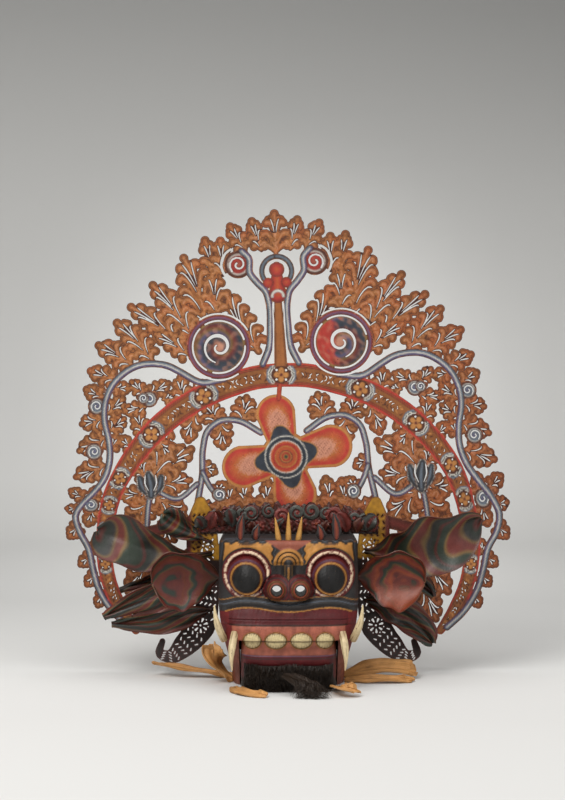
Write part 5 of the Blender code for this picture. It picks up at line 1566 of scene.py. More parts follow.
def frond(work, base, tip, width, pairs, bend, slit):
    """A lobed leaf along a rib from base to tip: fingers that leave the rib, run on beside it and curl
    outwards into round knobs, a trefoil at the tip, and a long slit between neighbouring fingers. bend
    bows the rib to its left by that share of its length."""
    base, tip = np.array(base, float), np.array(tip, float)
    length = float(np.hypot(*(tip - base)))
    ahead = (tip - base) / length
    left = left_of(ahead)
    count = max(pairs, 2)
    knob = min(0.44 * length / (count + 0.3), 0.0078)

    def rib(t):
        t = np.asarray(t, float)
        return base + np.multiply.outer(t, tip - base - ahead * knob) \
            + np.multiply.outer(4 * bend * length * t * (1 - t), left)

    t = np.linspace(0, 1, 9)
    work.strap(rib(t), 0.055 * length * (1 - t) + (0.75 * knob) * t, vein=True)
    work.disc(rib(1.0), knob, vein=True)
    for side in (-1, 1):
        work.disc(rib(0.90) + side * 0.80 * knob * left, 0.80 * knob, vein=True)
    fingers = []
    s = np.linspace(0, 1, 11)[:, None]
    for number in range(count):
        station = (number + 0.75) / (count + 0.45)
        half = (width / 2 - 0.8 * knob) * math.sin(math.pi * station**0.75) ** 0.5
        for side in (-1, 1):
            out = side * half * left
            root, leave = rib(max(station - 0.52, 0.02)), rib(max(station - 0.16, 0.05)) + 0.10 * out
            swing, end = rib(min(station + 0.10, 1.06)) + 0.66 * out, rib(station - 0.03) + out
            line = root * (1 - s) ** 3 + leave * 3 * s * (1 - s) ** 2
            line = line + swing * 3 * s**2 * (1 - s) + end * s**3
            fingers.append((side, number, line, half))
            work.strap(line, knob * (0.46 + 0.52 * ease(s[:, 0] / 0.95)), vein=True)
            work.disc(end, 0.92 * knob)
            if number % 2 == 0:
                work.disc(end + 0.95 * knob * ahead - side * 0.35 * knob * left, 0.70 * knob)
    for side, number, line, half in fingers:
        following = [other for other in fingers if other[0] == side and other[1] == number + 1]
        if half < 0.6 * knob or (number + (side > 0)) % 2 and number < count - 1:
            continue
        beside = following[0][2] if following else rib(0.45 + 0.55 * s[:, 0]) + side * 0.15 * knob * left
        cut = ((line + beside) / 2)[2:10]
        if np.hypot(*(cut[-1] - cut[0])) > 2.5 * slit:
            work.strap(cut, np.array([0.3, 0.6, 0.9, 1.05, 1.15, 1.15, 0.95, 0.6]) * slit, cut=True)


# The fan's band, in millimetres: out from the middle, and up from the head's top.
BAND_LINE = [(0, 265), (44, 262), (84, 252), (146, 228), (205, 189), (249, 144), (287, 84), (302, 35),
             (309, -24),
             (302, -79), (282, -125), (255, -163)]
BAND_HALF = [20, 20, 20, 20, 20, 18, 16, 15, 14, 13, 12, 7]
OUTER_STEM = [(96, 262), (134, 258), (168, 277), (188, 288), (213, 293), (239, 291), (265, 278), (285, 258),
              (297, 231), (300, 203), (294, 168), (294, 134), (304, 104), (324, 77), (345, 53), (357, 30),
              (352, 3), (336, -27), (329, -59), (318, -96), (294, -133), (266, -158)]
INNER_STEM = [(38, 170), (76, 192), (104, 193), (126, 178), (136, 147), (139, 104), (146, 68), (154, 30)]
TWIN_STEM = [(30, 284), (18, 312), (15, 345), (15, 385), (20, 405), (33, 420), (45, 437), (46, 462),
             (57, 474)]
BIG_SPIRAL = (102, 316, 53)
SMALL_SPIRAL = (64, 452, 23)
FLOWER = (2, 128, 42)
FLOWER_TURN = math.radians(11)
PETALS = ((90, 73, 33), (0, 77, 36), (180, 73, 36), (270, 62, 37))
LILY = (226, 84)
BRANCHES = (
    [(138, 108), (128, 84), (116, 66)],
    [(148, 88), (182, 62), LILY],
    [LILY, (233, 40), (236, 4), (225, -60), (216, -96)],
)
MEDALLIONS = (135, 244, 336, 391, 442, 496)
# Fronds outside the band and inside it: rib base, rib tip, width, pairs of lobes, bend.
OUTER_FRONDS = [
    ((0, 468), (0, 542), 54, 3, 0),
    ((24, 474), (40, 530), 34, 3, 0),
    ((50, 474), (78, 522), 36, 3, 0),
    ((110, 428), (118, 502), 40, 3, 0.05),
    ((90, 436), (92, 500), 44, 3, 0),
    ((122, 352), (156, 474), 74, 6, 0.05),
    ((36, 306), (88, 412), 64, 5, -0.06),
    ((104, 368), (108, 446), 52, 3, 0),
    ((146, 334), (212, 430), 50, 6, 0.04),
    ((160, 318), (252, 394), 46, 6, 0.04),
    ((150, 300), (212, 346), 40, 4, 0.06),
    ((214, 296), (276, 370), 48, 5, 0.05),
    ((248, 290), (310, 332), 46, 4, 0.05),
    ((276, 268), (326, 288), 38, 3, 0),
    ((228, 240), (254, 268), 30, 3, 0),
    ((222, 242), (184, 262), 32, 3, 0),
    ((228, 222), (270, 214), 30, 3, 0),
    ((200, 232), (172, 240), 24, 1, 0),
    ((300, 240), (334, 258), 34, 2, 0),
    ((302, 204), (344, 196), 38, 3, 0),
    ((298, 172), (350, 150), 40, 4, 0),
    ((300, 126), (358, 106), 44, 4, 0),
    ((292, 184), (262, 206), 34, 3, 0),
    ((292, 148), (280, 180), 28, 2, 0),
    ((340, 66), (367, 86), 30, 2, 0),
    ((350, 42), (376, 46), 26, 1, 0),
    ((350, 14), (372, -12), 32, 2, 0),
    ((324, 56), (320, 92), 28, 2, 0),
    ((326, 46), (338, 8), 30, 2, 0),
    ((331, -38), (320, -8), 22, 1, 0),
    ((330, -38), (354, -58), 28, 1, 0),
    ((322, -68), (342, -92), 28, 1, 0),
    ((310, -98), (322, -128), 26, 1, 0),
    ((162, 226), (170, 274), 38, 3, -0.05),
    ((130, 244), (146, 262), 30, 2, 0),
    ((296, 212), (262, 240), 34, 3, 0),
    ((284, 256), (250, 252), 30, 2, 0),
    ((234, 176), (248, 216), 36, 3, 0),
    ((254, 150), (276, 176), 28, 2, 0),
    ((110, 262), (84, 300), 30, 2, 0),
]
INNER_FRONDS = [
    ((68, 190), (58, 236), 48, 3, 0),
    ((112, 190), (124, 226), 44, 3, 0),
    ((104, 190), (102, 142), 40, 3, 0),
    ((222, 92), (150, 152), 56, 5, -0.08),
    ((224, 96), (196, 196), 54, 5, 0.06),
    ((232, 96), (250, 146), 40, 3, 0),
    ((214, 88), (154, 96), 44, 4, 0),
    ((234, 74), (282, 66), 42, 3, 0),
    ((228, 60), (272, 4), 54, 4, 0),
    ((218, 66), (166, 24), 52, 4, 0),
    ((236, 20), (294, -12), 46, 4, 0),
    ((232, -2), (284, -52), 48, 4, 0),
    ((230, -44), (272, -104), 48, 4, 0),
    ((220, -76), (250, -150), 50, 5, 0),
    ((216, 20), (186, -16), 40, 3, 0),
    ((216, -30), (192, -66), 36, 3, 0),
    ((116, 60), (78, 22), 42, 3, 0),
    ((130, 58), (146, 14), 36, 3, 0),
    ((62, 60), (40, 20), 40, 3, 0),
    ((40, 44), (28, 94), 34, 2, 0.05),
    ((70, 46), (66, 96), 34, 2, -0.05),
    ((98, 44), (92, 92), 32, 2, 0),
    ((144, 208), (162, 156), 38, 3, 0.05),
    ((138, 120), (112, 104), 30, 2, 0.05),
    ((122, 70), (96, 90), 28, 2, 0),
    ((208, 164), (190, 132), 30, 2, 0),
]
CURLS = [(222, 234, 14), (312, 226, 15), (320, 150, 15), (330, 52, 15), (232, 236, 10)]


def stem_stops(c):
    """Across a stem: brown edge, violet side, chalk line, blue-grey side, brown edge."""
    return [(-1.0, c.ochre_dark), (-0.80, c.ochre_dark * 1.4), (-0.70, c.violet * 0.7), (-0.30, c.violet),
            (-0.16, c.chalk * 0.8), (0.06, c.chalk * 0.9), (0.20, c.blue), (0.58, c.blue * 0.8),
            (0.70, c.slate), (0.82, c.ochre_dark * 1.5), (1.0, c.ochre_dark)]


def draw_stem(work, points, half, count, stops):
    """A painted stem along a smooth curve through points, in millimetres like its half width."""
    line, widths, _ = smooth_line(np.array(points) * MM, half * MM, count)
    work.strap(line, widths, stops=stops)


def draw_curl(work, centre, radius, side, c, warm=False):
    """A small rolled end: a disc in rings of blue and chalk, or red, with a spiral slit."""
    inner = c.gum if warm else c.violet
    outer = c.red * 0.75 if warm else c.blue
    half = [(0.0, inner), (0.35, outer), (0.62, outer * 0.8), (0.72, c.chalk * 0.8),
            (0.80, c.ochre_dark * 1.4),
            (1.0, c.ochre_dark)]
    work.disc(centre, radius, stops=both_ways(half))
    slit = spiral(centre, 0.66 * radius, 0.14 * radius, -0.8 if side > 0 else math.pi + 0.8, side * 1.25, 16)
    work.strap(slit, 0.055 * radius + 0.0003, cut=True)


def draw_big_spiral(work, side, c):
    """A boss inside a ring: the ring is held by three bridges, and a slit winds in over the boss's face."""
    u, v, radius = (value * MM for value in BIG_SPIRAL)
    middle = np.array([side * u, v])
    work.disc(middle, radius)
    rows, columns, gu, gv = work.window(middle[None], radius + 0.002)
    away = np.hypot(gu - middle[0], gv - middle[1]) / radius
    around = np.arctan2(gv - middle[1], gu - middle[0])
    swirl = np.mod(around * side / (2 * math.pi) + 1.55 * away, 1.0)
    patch = mottle(np.stack([gu, gv], -1), 0.016, 21 + side)
    boss = ramp(swirl, [(0.0, c.navy), (0.30, c.navy * 1.2), (0.45, c.violet * 0.8),
                        (0.60, c.leaf_gold * 0.55),
                        (0.75, c.leaf_red * 1.2), (1.0, c.navy)])
    if side > 0:
        warm = ease((-(gu - middle[0]) / radius + 0.10 * patch) / 0.35)
        boss = lay(boss, warm, c.red * 0.9)
    boss = layered(
        boss,
        (0.35 * np.clip(patch, 0, 1), c.pink * 0.8),
        (ease((0.22 - away) / 0.12), c.pink * 0.8),
    )
    ring = ramp(away, [(0.84, c.ochre_dark), (0.87, c.leaf_red * 1.5), (0.93, c.violet * 0.9),
                       (0.96, c.red * 0.7),
                       (0.985, c.ochre_dark), (1.0, c.ochre_dark * 0.8)])
    boss = lay(boss, ease((away - 0.74) / 0.05), c.leaf_gold * 0.8)
    work.lay(rows, columns, away < 1.0, np.where((away > 0.83)[..., None], ring, boss))
    for start in (0.25, 2.35, 4.45):
        work.strap(arc(middle, 0.825 * radius, start, 0.29, 18), 0.0015, cut=True)
    for start, turns in ((0.5, 0.26), (3.4, 0.30)):
        work.strap(arc(middle, 1.045 * radius, start, turns, 18), 0.0014, cut=True)
    slit = spiral(middle, 0.50 * radius, 0.09 * radius, -1.3 if side > 0 else math.pi + 1.3, side * 1.30, 50)
    work.strap(slit, np.interp(np.linspace(0, 1, 50), [0, 0.35, 1], [0.0010, 0.0030, 0.0012]), cut=True)


def draw_medallion(work, centre, ahead, half, c):
    """A four-petalled gold cross in a dark round, with double brackets of slate and chalk at both ends."""
    rows, columns, u, v = work.window(centre[None], 1.75 * half)
    left = left_of(ahead)
    a = ((u - centre[0]) * ahead[0] + (v - centre[1]) * ahead[1]) / half
    b = ((u - centre[0]) * left[0] + (v - centre[1]) * left[1]) / half
    away, around = np.hypot(a, b), np.arctan2(b, a)
    oval = np.hypot(a / 1.0, b / 0.86)
    paint = np.broadcast_to(c.ochre_dark * 1.2, u.shape + (3,))
    petal = 0.62 * np.abs(np.cos(2 * around)) ** 0.45
    paint = layered(
        paint,
        (within(away - petal - 0.07, 0.03), c.ochre_dark * 0.7),
        (within(away - petal, 0.04), c.ochre_light * 1.1),
        (within(away - 0.14, 0.04), c.leaf_red),
    )
    for inner, outer, shade in ((0.86, 0.95, c.chalk), (0.95, 1.04, c.slate), (1.04, 1.12, c.chalk),
                                (1.12, 1.26, c.blue * 0.9)):
        paint = lay(paint, ((oval >= inner) & (oval < outer)).astype(float), shade)
    inside = (np.abs(b) < 0.74) & (oval < 1.26) & ((oval < 0.86) | (np.abs(a) > 0.55))
    work.lay(rows, columns, inside & (work.distance[rows, columns] < 0), paint)
    for number in range(4):
        angle = math.pi / 4 + number * math.pi / 2
        hole = centre + half * 0.56 * (ahead * math.cos(angle) + left * math.sin(angle))
        work.disc(hole, 0.10 * half, cut=True)


def draw_band(work, c):
    """The band: red borders, an ochre ground pierced with small commas, and medallions along it."""
    line, half, at = smooth_line(np.array(BAND_LINE) * MM, np.array(BAND_HALF) * MM, 90)
    stops = [(0.0, c.ochre * 0.85), (0.56, c.ochre * 0.8), (0.62, c.ochre_dark * 1.3), (0.68, c.red * 0.8),
             (0.73, c.ochre * 0.8), (0.78, c.ochre_dark * 1.3), (0.84, c.red), (0.96, c.red * 1.1),
             (1.0, c.red * 0.7)]
    work.strap(line, half, stops=both_ways(stops))
    ahead = np.gradient(line, axis=0)
    ahead /= np.hypot(*ahead.T)[:, None]
    marks = np.array([0, *MEDALLIONS]) * MM

    def place(station):
        return (np.array([np.interp(station, at, line[:, 0]), np.interp(station, at, line[:, 1])]),
                np.array([np.interp(station, at, ahead[:, 0]), np.interp(station, at, ahead[:, 1])]),
                float(np.interp(station, at, half)))

    chance = np.random.default_rng(35)
    for station in np.arange(0.006, at[-1] - 0.004, 0.0056):
        centre, forward, reach = place(station)
        if np.abs(marks - station).min() < 1.35 * reach:
            continue
        left = left_of(forward)
        for side in (-1, 1):
            lean, bow, share = chance.choice([-1, 1]), chance.uniform(0.6, 1.6), chance.uniform(0.18, 0.44)
            start = centre + left * side * share * reach
            end = centre + left * side * (share - 0.22) * reach + forward * lean * 0.0030
            curve = [start, (start + end) / 2 + forward * 0.0012 * lean * bow, end]
            if chance.random() < 0.52:
                work.strap(curve, [0.0004, 0.0009, 0.0005], cut=True)
            else:
                shade = c.ochre_dark if chance.random() < 0.6 else c.ochre_light * 1.15
                work.strap(curve, [0.0008, 0.0012, 0.0008], stops=[(-1.0, shade), (1.0, shade)])
    for station in marks[1:]:
        draw_medallion(work, *place(station), c)
    return place


def draw_flower(work, c):
    """The flower: four petals in red and orange with pink hearts and gold rims, and a navy four-pointed
    middle that holds rings of chalk, red and gold."""
    u0, v0, radius = (value * MM for value in FLOWER)
    middle = np.array([u0, v0])
    for degrees, away, petal in PETALS:
        angle = math.radians(degrees) + FLOWER_TURN
        end = middle + away * MM * np.array([math.cos(angle), math.sin(angle)])
        work.strap(np.array([end, middle]), np.array([petal, 0.6 * petal]) * MM)
    work.disc(middle, radius)
    rows, columns, u, v = work.window(middle[None], 0.125)
    du, dv = u - u0, v - v0
    away, around = np.hypot(du, dv), np.arctan2(dv, du)
    place = np.stack([u, v], -1)
    spot = mottle(place, 0.005, 31)
    wide = mottle(place, 0.03, 32)
    inside = np.zeros(u.shape, bool)
    paint = np.zeros(u.shape + (3,))
    for degrees, out, petal in PETALS:
        angle = math.radians(degrees) + FLOWER_TURN
        ahead = np.array([math.cos(angle), math.sin(angle)])
        along, across = du * ahead[0] + dv * ahead[1], du * -ahead[1] + dv * ahead[0]
        t = np.clip(along / (out * MM), 0, 1)
        reach = (0.6 + 0.4 * t) * petal * MM
        depth = np.hypot(along - t * out * MM, across) / reach
        shade = ramp(depth, [(0.0, c.orange * 1.05), (0.45, c.orange), (0.70, c.red), (0.84, c.red * 1.05),
                             (0.89, c.gold), (0.95, c.ochre_light * 1.15), (1.0, c.ochre)])
        shade = lay(shade, 0.35 * np.clip(0.5 * spot + 0.3, 0, 1) * ease((0.8 - depth) / 0.2), c.gold)
        heart = np.hypot((along - 0.78 * out * MM) / 0.026, across / 0.0175) + 0.16 * spot
        shade = layered(
            shade,
            (0.9 * ease((1.05 - heart) / 0.25), c.pink),
            (0.7 * ease((0.95 - heart) / 0.2) * np.clip(spot, 0, 1), c.leaf_red * 1.1),
            (0.5 * within(np.abs(heart - 1.02) - 0.05, 0.02), c.gold),
        )
        here = (depth < 1.0) & (along > 0) & (np.abs(across) < along + 0.012)
        nearer = here & (~inside | (depth < 0.9))
        paint = np.where(nearer[..., None], shade, paint)
        inside |= here
    inside &= work.distance[rows, columns] < 0
    star = 0.036 + 0.017 * np.abs(np.cos(2 * (around - FLOWER_TURN))) ** 3
    paint = layered(
        paint,
        (within(away - star - 0.0016), c.gold),
        (within(away - star), c.navy * (1 + 0.15 * wide[..., None])),
    )
    for radius_mm, shade in ((35.5, c.chalk), (34.0, c.navy * 0.9), (27.5, c.chalk), (26.0, c.orange),
                             (23.0, c.red * 0.9), (18.5, c.gold), (17.0, c.orange * 0.9),
                             (11.5, c.leaf_red * 1.6),
                             (9.5, c.gold * 0.9), (7.8, c.red * 0.8), (4.6, c.gold * 0.8),
                             (3.0, c.green * 1.6)):
        paint = lay(paint, within(away - (radius_mm + 0.25 * spot) * MM), shade)
    centre_part = away < star + 0.0016
    work.lay(rows, columns, inside | (centre_part & (work.distance[rows, columns] < 0)), paint)


def draw_fan(work, c):
    """The fan's leather: one half's fronds, curls, stems and band, its mirror image, then what stands in
    the middle."""
    slit = bpy.context.scene.barong_sizes.slit
    for base, tip, width, pairs, bend in OUTER_FRONDS + INNER_FRONDS:
        frond(work, np.array(base) * MM, np.array(tip) * MM, width * MM, pairs, bend, slit)
    for u, v, radius in CURLS:
        draw_curl(work, np.array([u, v]) * MM, radius * MM, 1, c)
    u, v, radius = (value * MM for value in SMALL_SPIRAL)
    work.strap(arc((u, v), radius + 0.005, math.radians(146), 0.78, 30), 0.0020, cut=True)
    draw_curl(work, np.array([u, v]), radius, 1, c, warm=True)
    place = draw_band(work, c)
    stops = stem_stops(c)
    draw_stem(work, OUTER_STEM, 6.0, 80, stops)
    draw_stem(work, INNER_STEM, 5.5, 80, stops)
    for points in BRANCHES:
        draw_stem(work, points, 5, 24, stops)
    draw_curl(work, np.array([112, 68]) * MM, 13 * MM, -1, c)
    draw_lily(work, c)
    work.mirror()
    for side in (-1, 1):
        draw_big_spiral(work, side, c)
        draw_stem(work, np.array(TWIN_STEM) * np.array([side, 1.0]), 6.0, 60, stops)
        ring = arc(np.array([0, 438.0]) * MM, 25 * MM, math.pi / 2, -side * 0.42, 40)
        work.strap(ring, 4.5 * MM, stops=[(-1.0, c.ochre_dark), (-0.6, c.slate), (0.0, c.blue),
                                          (0.6, c.slate), (1.0, c.ochre_dark)])
    draw_flower(work, c)
    ochre = [(-1.0, c.ochre_dark), (-0.5, c.ochre), (0.5, c.ochre), (1.0, c.ochre_dark)]
    work.strap(np.array([(0, 280), (0, 396)]) * MM, np.array([11, 6]) * MM, stops=ochre)
    arch = arc((0, 396 * MM), 9.5 * MM, 0, 0.5, 20)
    coral = [(-1.0, c.leaf_red), (-0.5, c.red * 0.85), (0.0, c.orange * 0.9), (0.5, c.red * 0.85),
             (1.0, c.leaf_red)]
    work.strap(np.array([(0, 400), (0, 438)]) * MM, np.array([15, 8]) * MM, stops=coral)
    for at, size in (((0, 441), 13), ((-15, 419), 9), ((15, 419), 9)):
        work.disc(np.array(at) * MM, size * MM, stops=coral)
    work.strap(arch, 2.6 * MM, stops=[(-1.0, c.slate), (-0.3, c.chalk), (0.3, c.chalk), (1.0, c.blue)])
    for side in (-1, 1):
        work.strap(np.array([(side * 13.5, 290), (side * 10.0, 330), (side * 9.0, 384)]) * MM, 1.0 * MM,
                   cut=True)
        slot = arc((0, 438 * MM), 17.5 * MM, math.pi / 2 - side * 0.35, -side * 0.22, 14)
        work.strap(slot, np.linspace(2.6, 1.4, 14) * MM, cut=True)
    work.strap(np.array([(-6, 225), (-3, 250)]) * MM, 4 * MM, stops=coral)
    draw_medallion(work, *place(0.0), c)


def draw_lily(work, c):
    """A slate lily on the inner stem: three rolled petals edged in chalk."""
    u, v = LILY
    stops = [(0.0, c.blue), (0.35, c.slate), (0.62, c.navy), (0.74, c.slate),
             (0.80, c.chalk * 0.9), (0.88, c.ochre_dark), (1.0, c.ochre_dark)]
    petals = (
        ([(u, v - 16), (u, v + 6), (u + 3, v + 24)], [7, 13, 7]),
        ([(u - 4, v - 14), (u - 14, v + 2), (u - 18, v + 18)], [6, 10, 6]),
        ([(u + 4, v - 14), (u + 14, v + 2), (u + 18, v + 18)], [6, 10, 6]),
    )
    for points, widths in petals[::-1]:
        draw_stem(work, points, np.array(widths), 14, both_ways(stops))
    for lean in (-14, 14):
        slit = [(u + lean * 0.3, v - 6), (u + lean * 0.7, v + 8), (u + lean * 0.62, v + 22)]
        line, _, _ = smooth_line(np.array(slit) * MM, 1 * MM, 12)
        work.strap(line, np.interp(np.linspace(0, 1, 12), [0, 0.6, 1], [0.5, 1.3, 0.8]) * MM, cut=True)


# Plain straps that tie the fan's leaves to its foot on the head's top: points as (out, up from the top) and
# half widths, in metres. The first is in the middle, and the others are on both sides.
FOOT_STRAP = ([(-0.105, 0.030), (0.105, 0.030)], 0.030)
SIDE_STRAP = ([(0.150, 0.012), (0.105, 0.020), (0.02, 0.026)], 0.020)
PAINTED_STRAPS = (
    ([(0.152, 0.012), (0.160, -0.03), (0.19, -0.05), (0.23, -0.06)], [0.018, 0.010, 0.008, 0.008]),
    ([(0.146, 0.024), (0.24, 0.0)], 0.010),
)
NOTCH_GAP = 0.006
NOTCH_DEPTH = 0.40


def cut_fan():
    """The tall openwork fan, with a plain foot on the head's top and a notch that the head passes
    through."""
    c = colours()
    sizes = bpy.context.scene.barong_sizes
    reach = 0.56 * FAN_WIDTH
    steps = int(round(reach / sizes.fan_cell))
    cell = reach / steps
    work = Openwork(np.arange(-steps, steps + 1) * cell,
                    np.arange(-0.27 * FAN_WIDTH, 0.80 * FAN_WIDTH, cell))
    draw_fan(work, c)
    brown = [(-1.0, c.ochre_dark), (0.0, c.leaf_red * 1.3), (1.0, c.ochre_dark)]
    work.strap(*FOOT_STRAP)
    for side in (-1, 1):
        turn = np.array([side, 1.0])
        work.strap(np.array(SIDE_STRAP[0]) * turn, SIDE_STRAP[1])
        for points, half in PAINTED_STRAPS:
            work.strap(np.array(points) * turn, half, stops=brown)
    notch = HALF_HEAD + NOTCH_GAP
    work.box((-notch, -NOTCH_DEPTH), (notch, 0.0), cut=True)
    paint_leaves(work, c)
    foot = HEAD_HEIGHT + GAP
    cos, sin = math.cos(FAN_LEAN), math.sin(FAN_LEAN)
    edge = FAN_WIDTH / 2

    def shape(u, v, offset):
        """Leans the fan to its own right above the foot, sweeps its edges back, and lets the hide buckle
        a little."""
        up = np.clip(v, 0, None)
        x = u - up * sin
        z = foot + v + (cos - 1) * up + u * sin * ease(v / 0.12)
        buckle = 0.0016 * np.sin(u * 31 + 1.2) * np.sin(v * 27) * ease((v - 0.03) / 0.1)
        y = FAN_Y + FAN_SWEEP * (u / edge) ** 2 * ease((np.abs(u) - 0.12) / 0.2) + offset + buckle
        return np.stack([x, y, z], -1)

    new_openwork("fan_pierced", work, 0.00022, FAN_THICKNESS, shape, fan_finish(),
                 (sizes.fan_fine, sizes.fan_coarse, 0.010), c.hide * 0.8, ["fan"])


def paint_leaves(work, c):
    """Paints the leaves ochre, lighter along each finger's middle, redder to the right, below and at the
    fan's rim; the dark outlines and fine lines are drawn by the material. Other edges are darkened a
    little."""
    depth = -work.distance
    u, v = np.meshgrid(work.u, work.v)
    place = np.stack([u, v], -1)
    patch = mottle(place, 0.045, 41)
    small = mottle(place, 0.007, 42)
    shade = ramp(work.vein + 0.08 * small, [(0.0, c.ochre_light), (0.35, c.ochre), (0.8, c.ochre * 0.82),
                                            (1.0, c.ochre * 0.7)])
    rim = ease((np.hypot(u / 0.36, (v - 0.12) / 0.42) - 0.86) / 0.16)
    red = np.clip(0.32 + 0.5 * u / 0.37 - 0.36 * (v - 0.25) / 0.5 + 0.40 * patch + 0.35 * rim, 0, 0.9)
    shade = lay(shade, 0.62 * red, c.ochre * np.array([0.92, 0.56, 0.55]))
    stain = mottle(place, 0.016, 43)
    shade = shade * (1 + 0.10 * patch + 0.12 * small + 0.12 * stain - 0.16 * rim)[..., None]
    shade = lay(shade, 0.35 * ease((stain - 0.5) / 0.8), c.ochre_dark * 1.5)
    work.paint = np.where(work.leaf[..., None], shade, work.paint)
    edge = within(depth - 0.0007, 0.0004) * (~work.leaf)
    work.paint = lay(work.paint, 0.45 * edge, c.ochre_dark * 0.8)


# A pendant's middle line, out and up from the ground, with its half widths, in metres.
PENDANT_LINE = [(0.146, 0.284), (0.144, 0.250), (0.141, 0.205), (0.131, 0.160), (0.134, 0.115),
                (0.146, 0.080),
                (0.172, 0.048), (0.197, 0.030), (0.213, 0.036), (0.209, 0.054)]
PENDANT_HALF = [0.010, 0.025, 0.026, 0.014, 0.018, 0.025, 0.019, 0.010, 0.007, 0.005]
# Each rosette: middle, radius, petals, and how far from its middle the small holes start.
ROSETTES = (((0.146, 0.080), 0.0125, 7, 0.0165), ((0.142, 0.212), 0.0110, 6, 0.0145))
PENDANT_CELL = 0.0006
TAB_WIDTH = 0.012
TAB_FOOT = 0.145
TAB_TOP = 0.215
GILT_FOOT = 0.188


def cut_pendants():
    """The two pendants, flat against the head's sides and bent forward towards the foot: gilt above and
    near black below, with rosettes and rows of small holes. The near black is dark leather and painted
    shade together, for the shade that the lower part hangs in."""
    c = colours()
    inner = HALF_HEAD + GAP

    def shape(u, v, offset):
        return np.stack([u, pendant_middle(v) + offset, v], -1)

    for side, name in SIDES:
        work = Openwork(np.arange(-0.25, 0.2503, PENDANT_CELL), np.arange(0.0, 0.3203, PENDANT_CELL))
        turn = np.array([side, 1.0])
        line, half, _ = smooth_line(np.array(PENDANT_LINE) * turn, PENDANT_HALF, 60)
        work.strap(line, half)
        work.close[:] = True
        for middle, radius, petals, _ in ROSETTES:
            pierce_rosette(work, np.array(middle) * turn, radius, petals)
        ahead = np.gradient(line, axis=0)
        ahead /= np.hypot(*ahead.T)[:, None]
        left = np.stack([-ahead[:, 1], ahead[:, 0]], -1)
        for number in range(4, 56, 2):
            for share in (-0.62, -0.2, 0.2, 0.62):
                at_hole = line[number] + left[number] * share * half[number]
                far = min(np.hypot(*(at_hole - np.array(middle) * turn)) - clear for middle, _, _,
                          clear in ROSETTES)
                if far < 0 or half[number] * 0.42 < 0.0026:
                    continue
                swing = ahead[number] * 0.0016 * (1 if (number // 2) % 2 else -1) + left[number] * 0.0011
                work.strap([at_hole - swing, at_hole + swing], [0.0009, 0.0013], cut=True)
        edge = inner * side
        tab = sorted([edge, edge + side * TAB_WIDTH])
        work.box((tab[0], TAB_FOOT), (tab[1], TAB_TOP))
        within_head = sorted([0.0, edge])
        work.box((within_head[0], 0.0), (within_head[1], HEAD_HEIGHT + GAP), cut=True)
        u, v = np.meshgrid(work.u, work.v)
        place = np.stack([u, v], -1)
        upper = ease((v - GILT_FOOT + 0.006 * mottle(place, 0.03, 51)) / 0.012)
        work.paint = layered(
            # Near black ground below the gilt: dark leather, and painted shade where the lower part hangs in
            # shade.
            c.pendant_dark,
            (upper, c.pendant_gold * (1 + 0.14 * mottle(place, 0.012, 52))[..., None]),
            (ease((np.abs(u) - 0.158) / 0.006) * upper, c.leaf_red),
            (0.7 * within(-work.distance - 0.0009, 0.0003), c.leaf_red * 0.7),
        )
        new_openwork(f"pendant_{name}_pierced", work, 0.00016, FLAP_THICKNESS, shape, leaf_finish(),
                     (0.0026, 0.0026, 0.008), c.hide * 0.45, [f"pendant_{name}"])


def pierce_rosette(work, middle, radius, petals):
    """A ring of petal-shaped holes round a small one."""
    work.disc(middle, 0.14 * radius, cut=True)
    for number in range(petals):
        angle = number * 2 * math.pi / petals + 0.3
        out = np.array([math.cos(angle), math.sin(angle)])
        work.strap([middle + 0.50 * radius * out, middle + 0.86 * radius * out],
                   [0.08 * radius, 0.16 * radius], cut=True)
        angle += math.pi / petals
        out = np.array([math.cos(angle), math.sin(angle)])
        work.disc(middle + 1.05 * radius * out, 0.09 * radius, cut=True)


# Crown, hair and strips


# Where leaves curl out of the diadem, by share of its half width.
CROWN_LEAVES = (-0.95, -0.86, -0.74, -0.62, -0.50, -0.40, -0.12, 0.16, 0.40, 0.52, 0.64, 0.76, 0.87, 0.95)
ROSETTE_COUNT = 13
ROSETTE_RADIUS = 0.0085
SCROLL_COUNT = 12


def crown_bosses(chance, share, high):
    """Places of the diadem's bosses as (across, height, radius, whether it is a scroll, number): a row of
    rosettes and, along the top, scrolls that are set a little unevenly."""
    bosses = []
    for number in range(ROSETTE_COUNT):
        at = (number - 6) / 6.5 * CROWN_WIDTH / 2
        rise = float(np.interp(at, share * CROWN_WIDTH / 2, high)) - HEAD_HEIGHT
        bosses.append((at, HEAD_HEIGHT + 0.34 * rise, ROSETTE_RADIUS, False, number))
    for number in range(SCROLL_COUNT):
        at = (number - 5.5 + chance.uniform(-0.25, 0.25)) / 6.5 * CROWN_WIDTH / 2
        rise = float(np.interp(at, share * CROWN_WIDTH / 2, high)) - HEAD_HEIGHT
        radius = chance.uniform(0.0115, 0.0160)
        centre = HEAD_HEIGHT + rise - radius - chance.uniform(-0.001, 0.004)
        bosses.append((at, centre, radius, True, number))
    return bosses


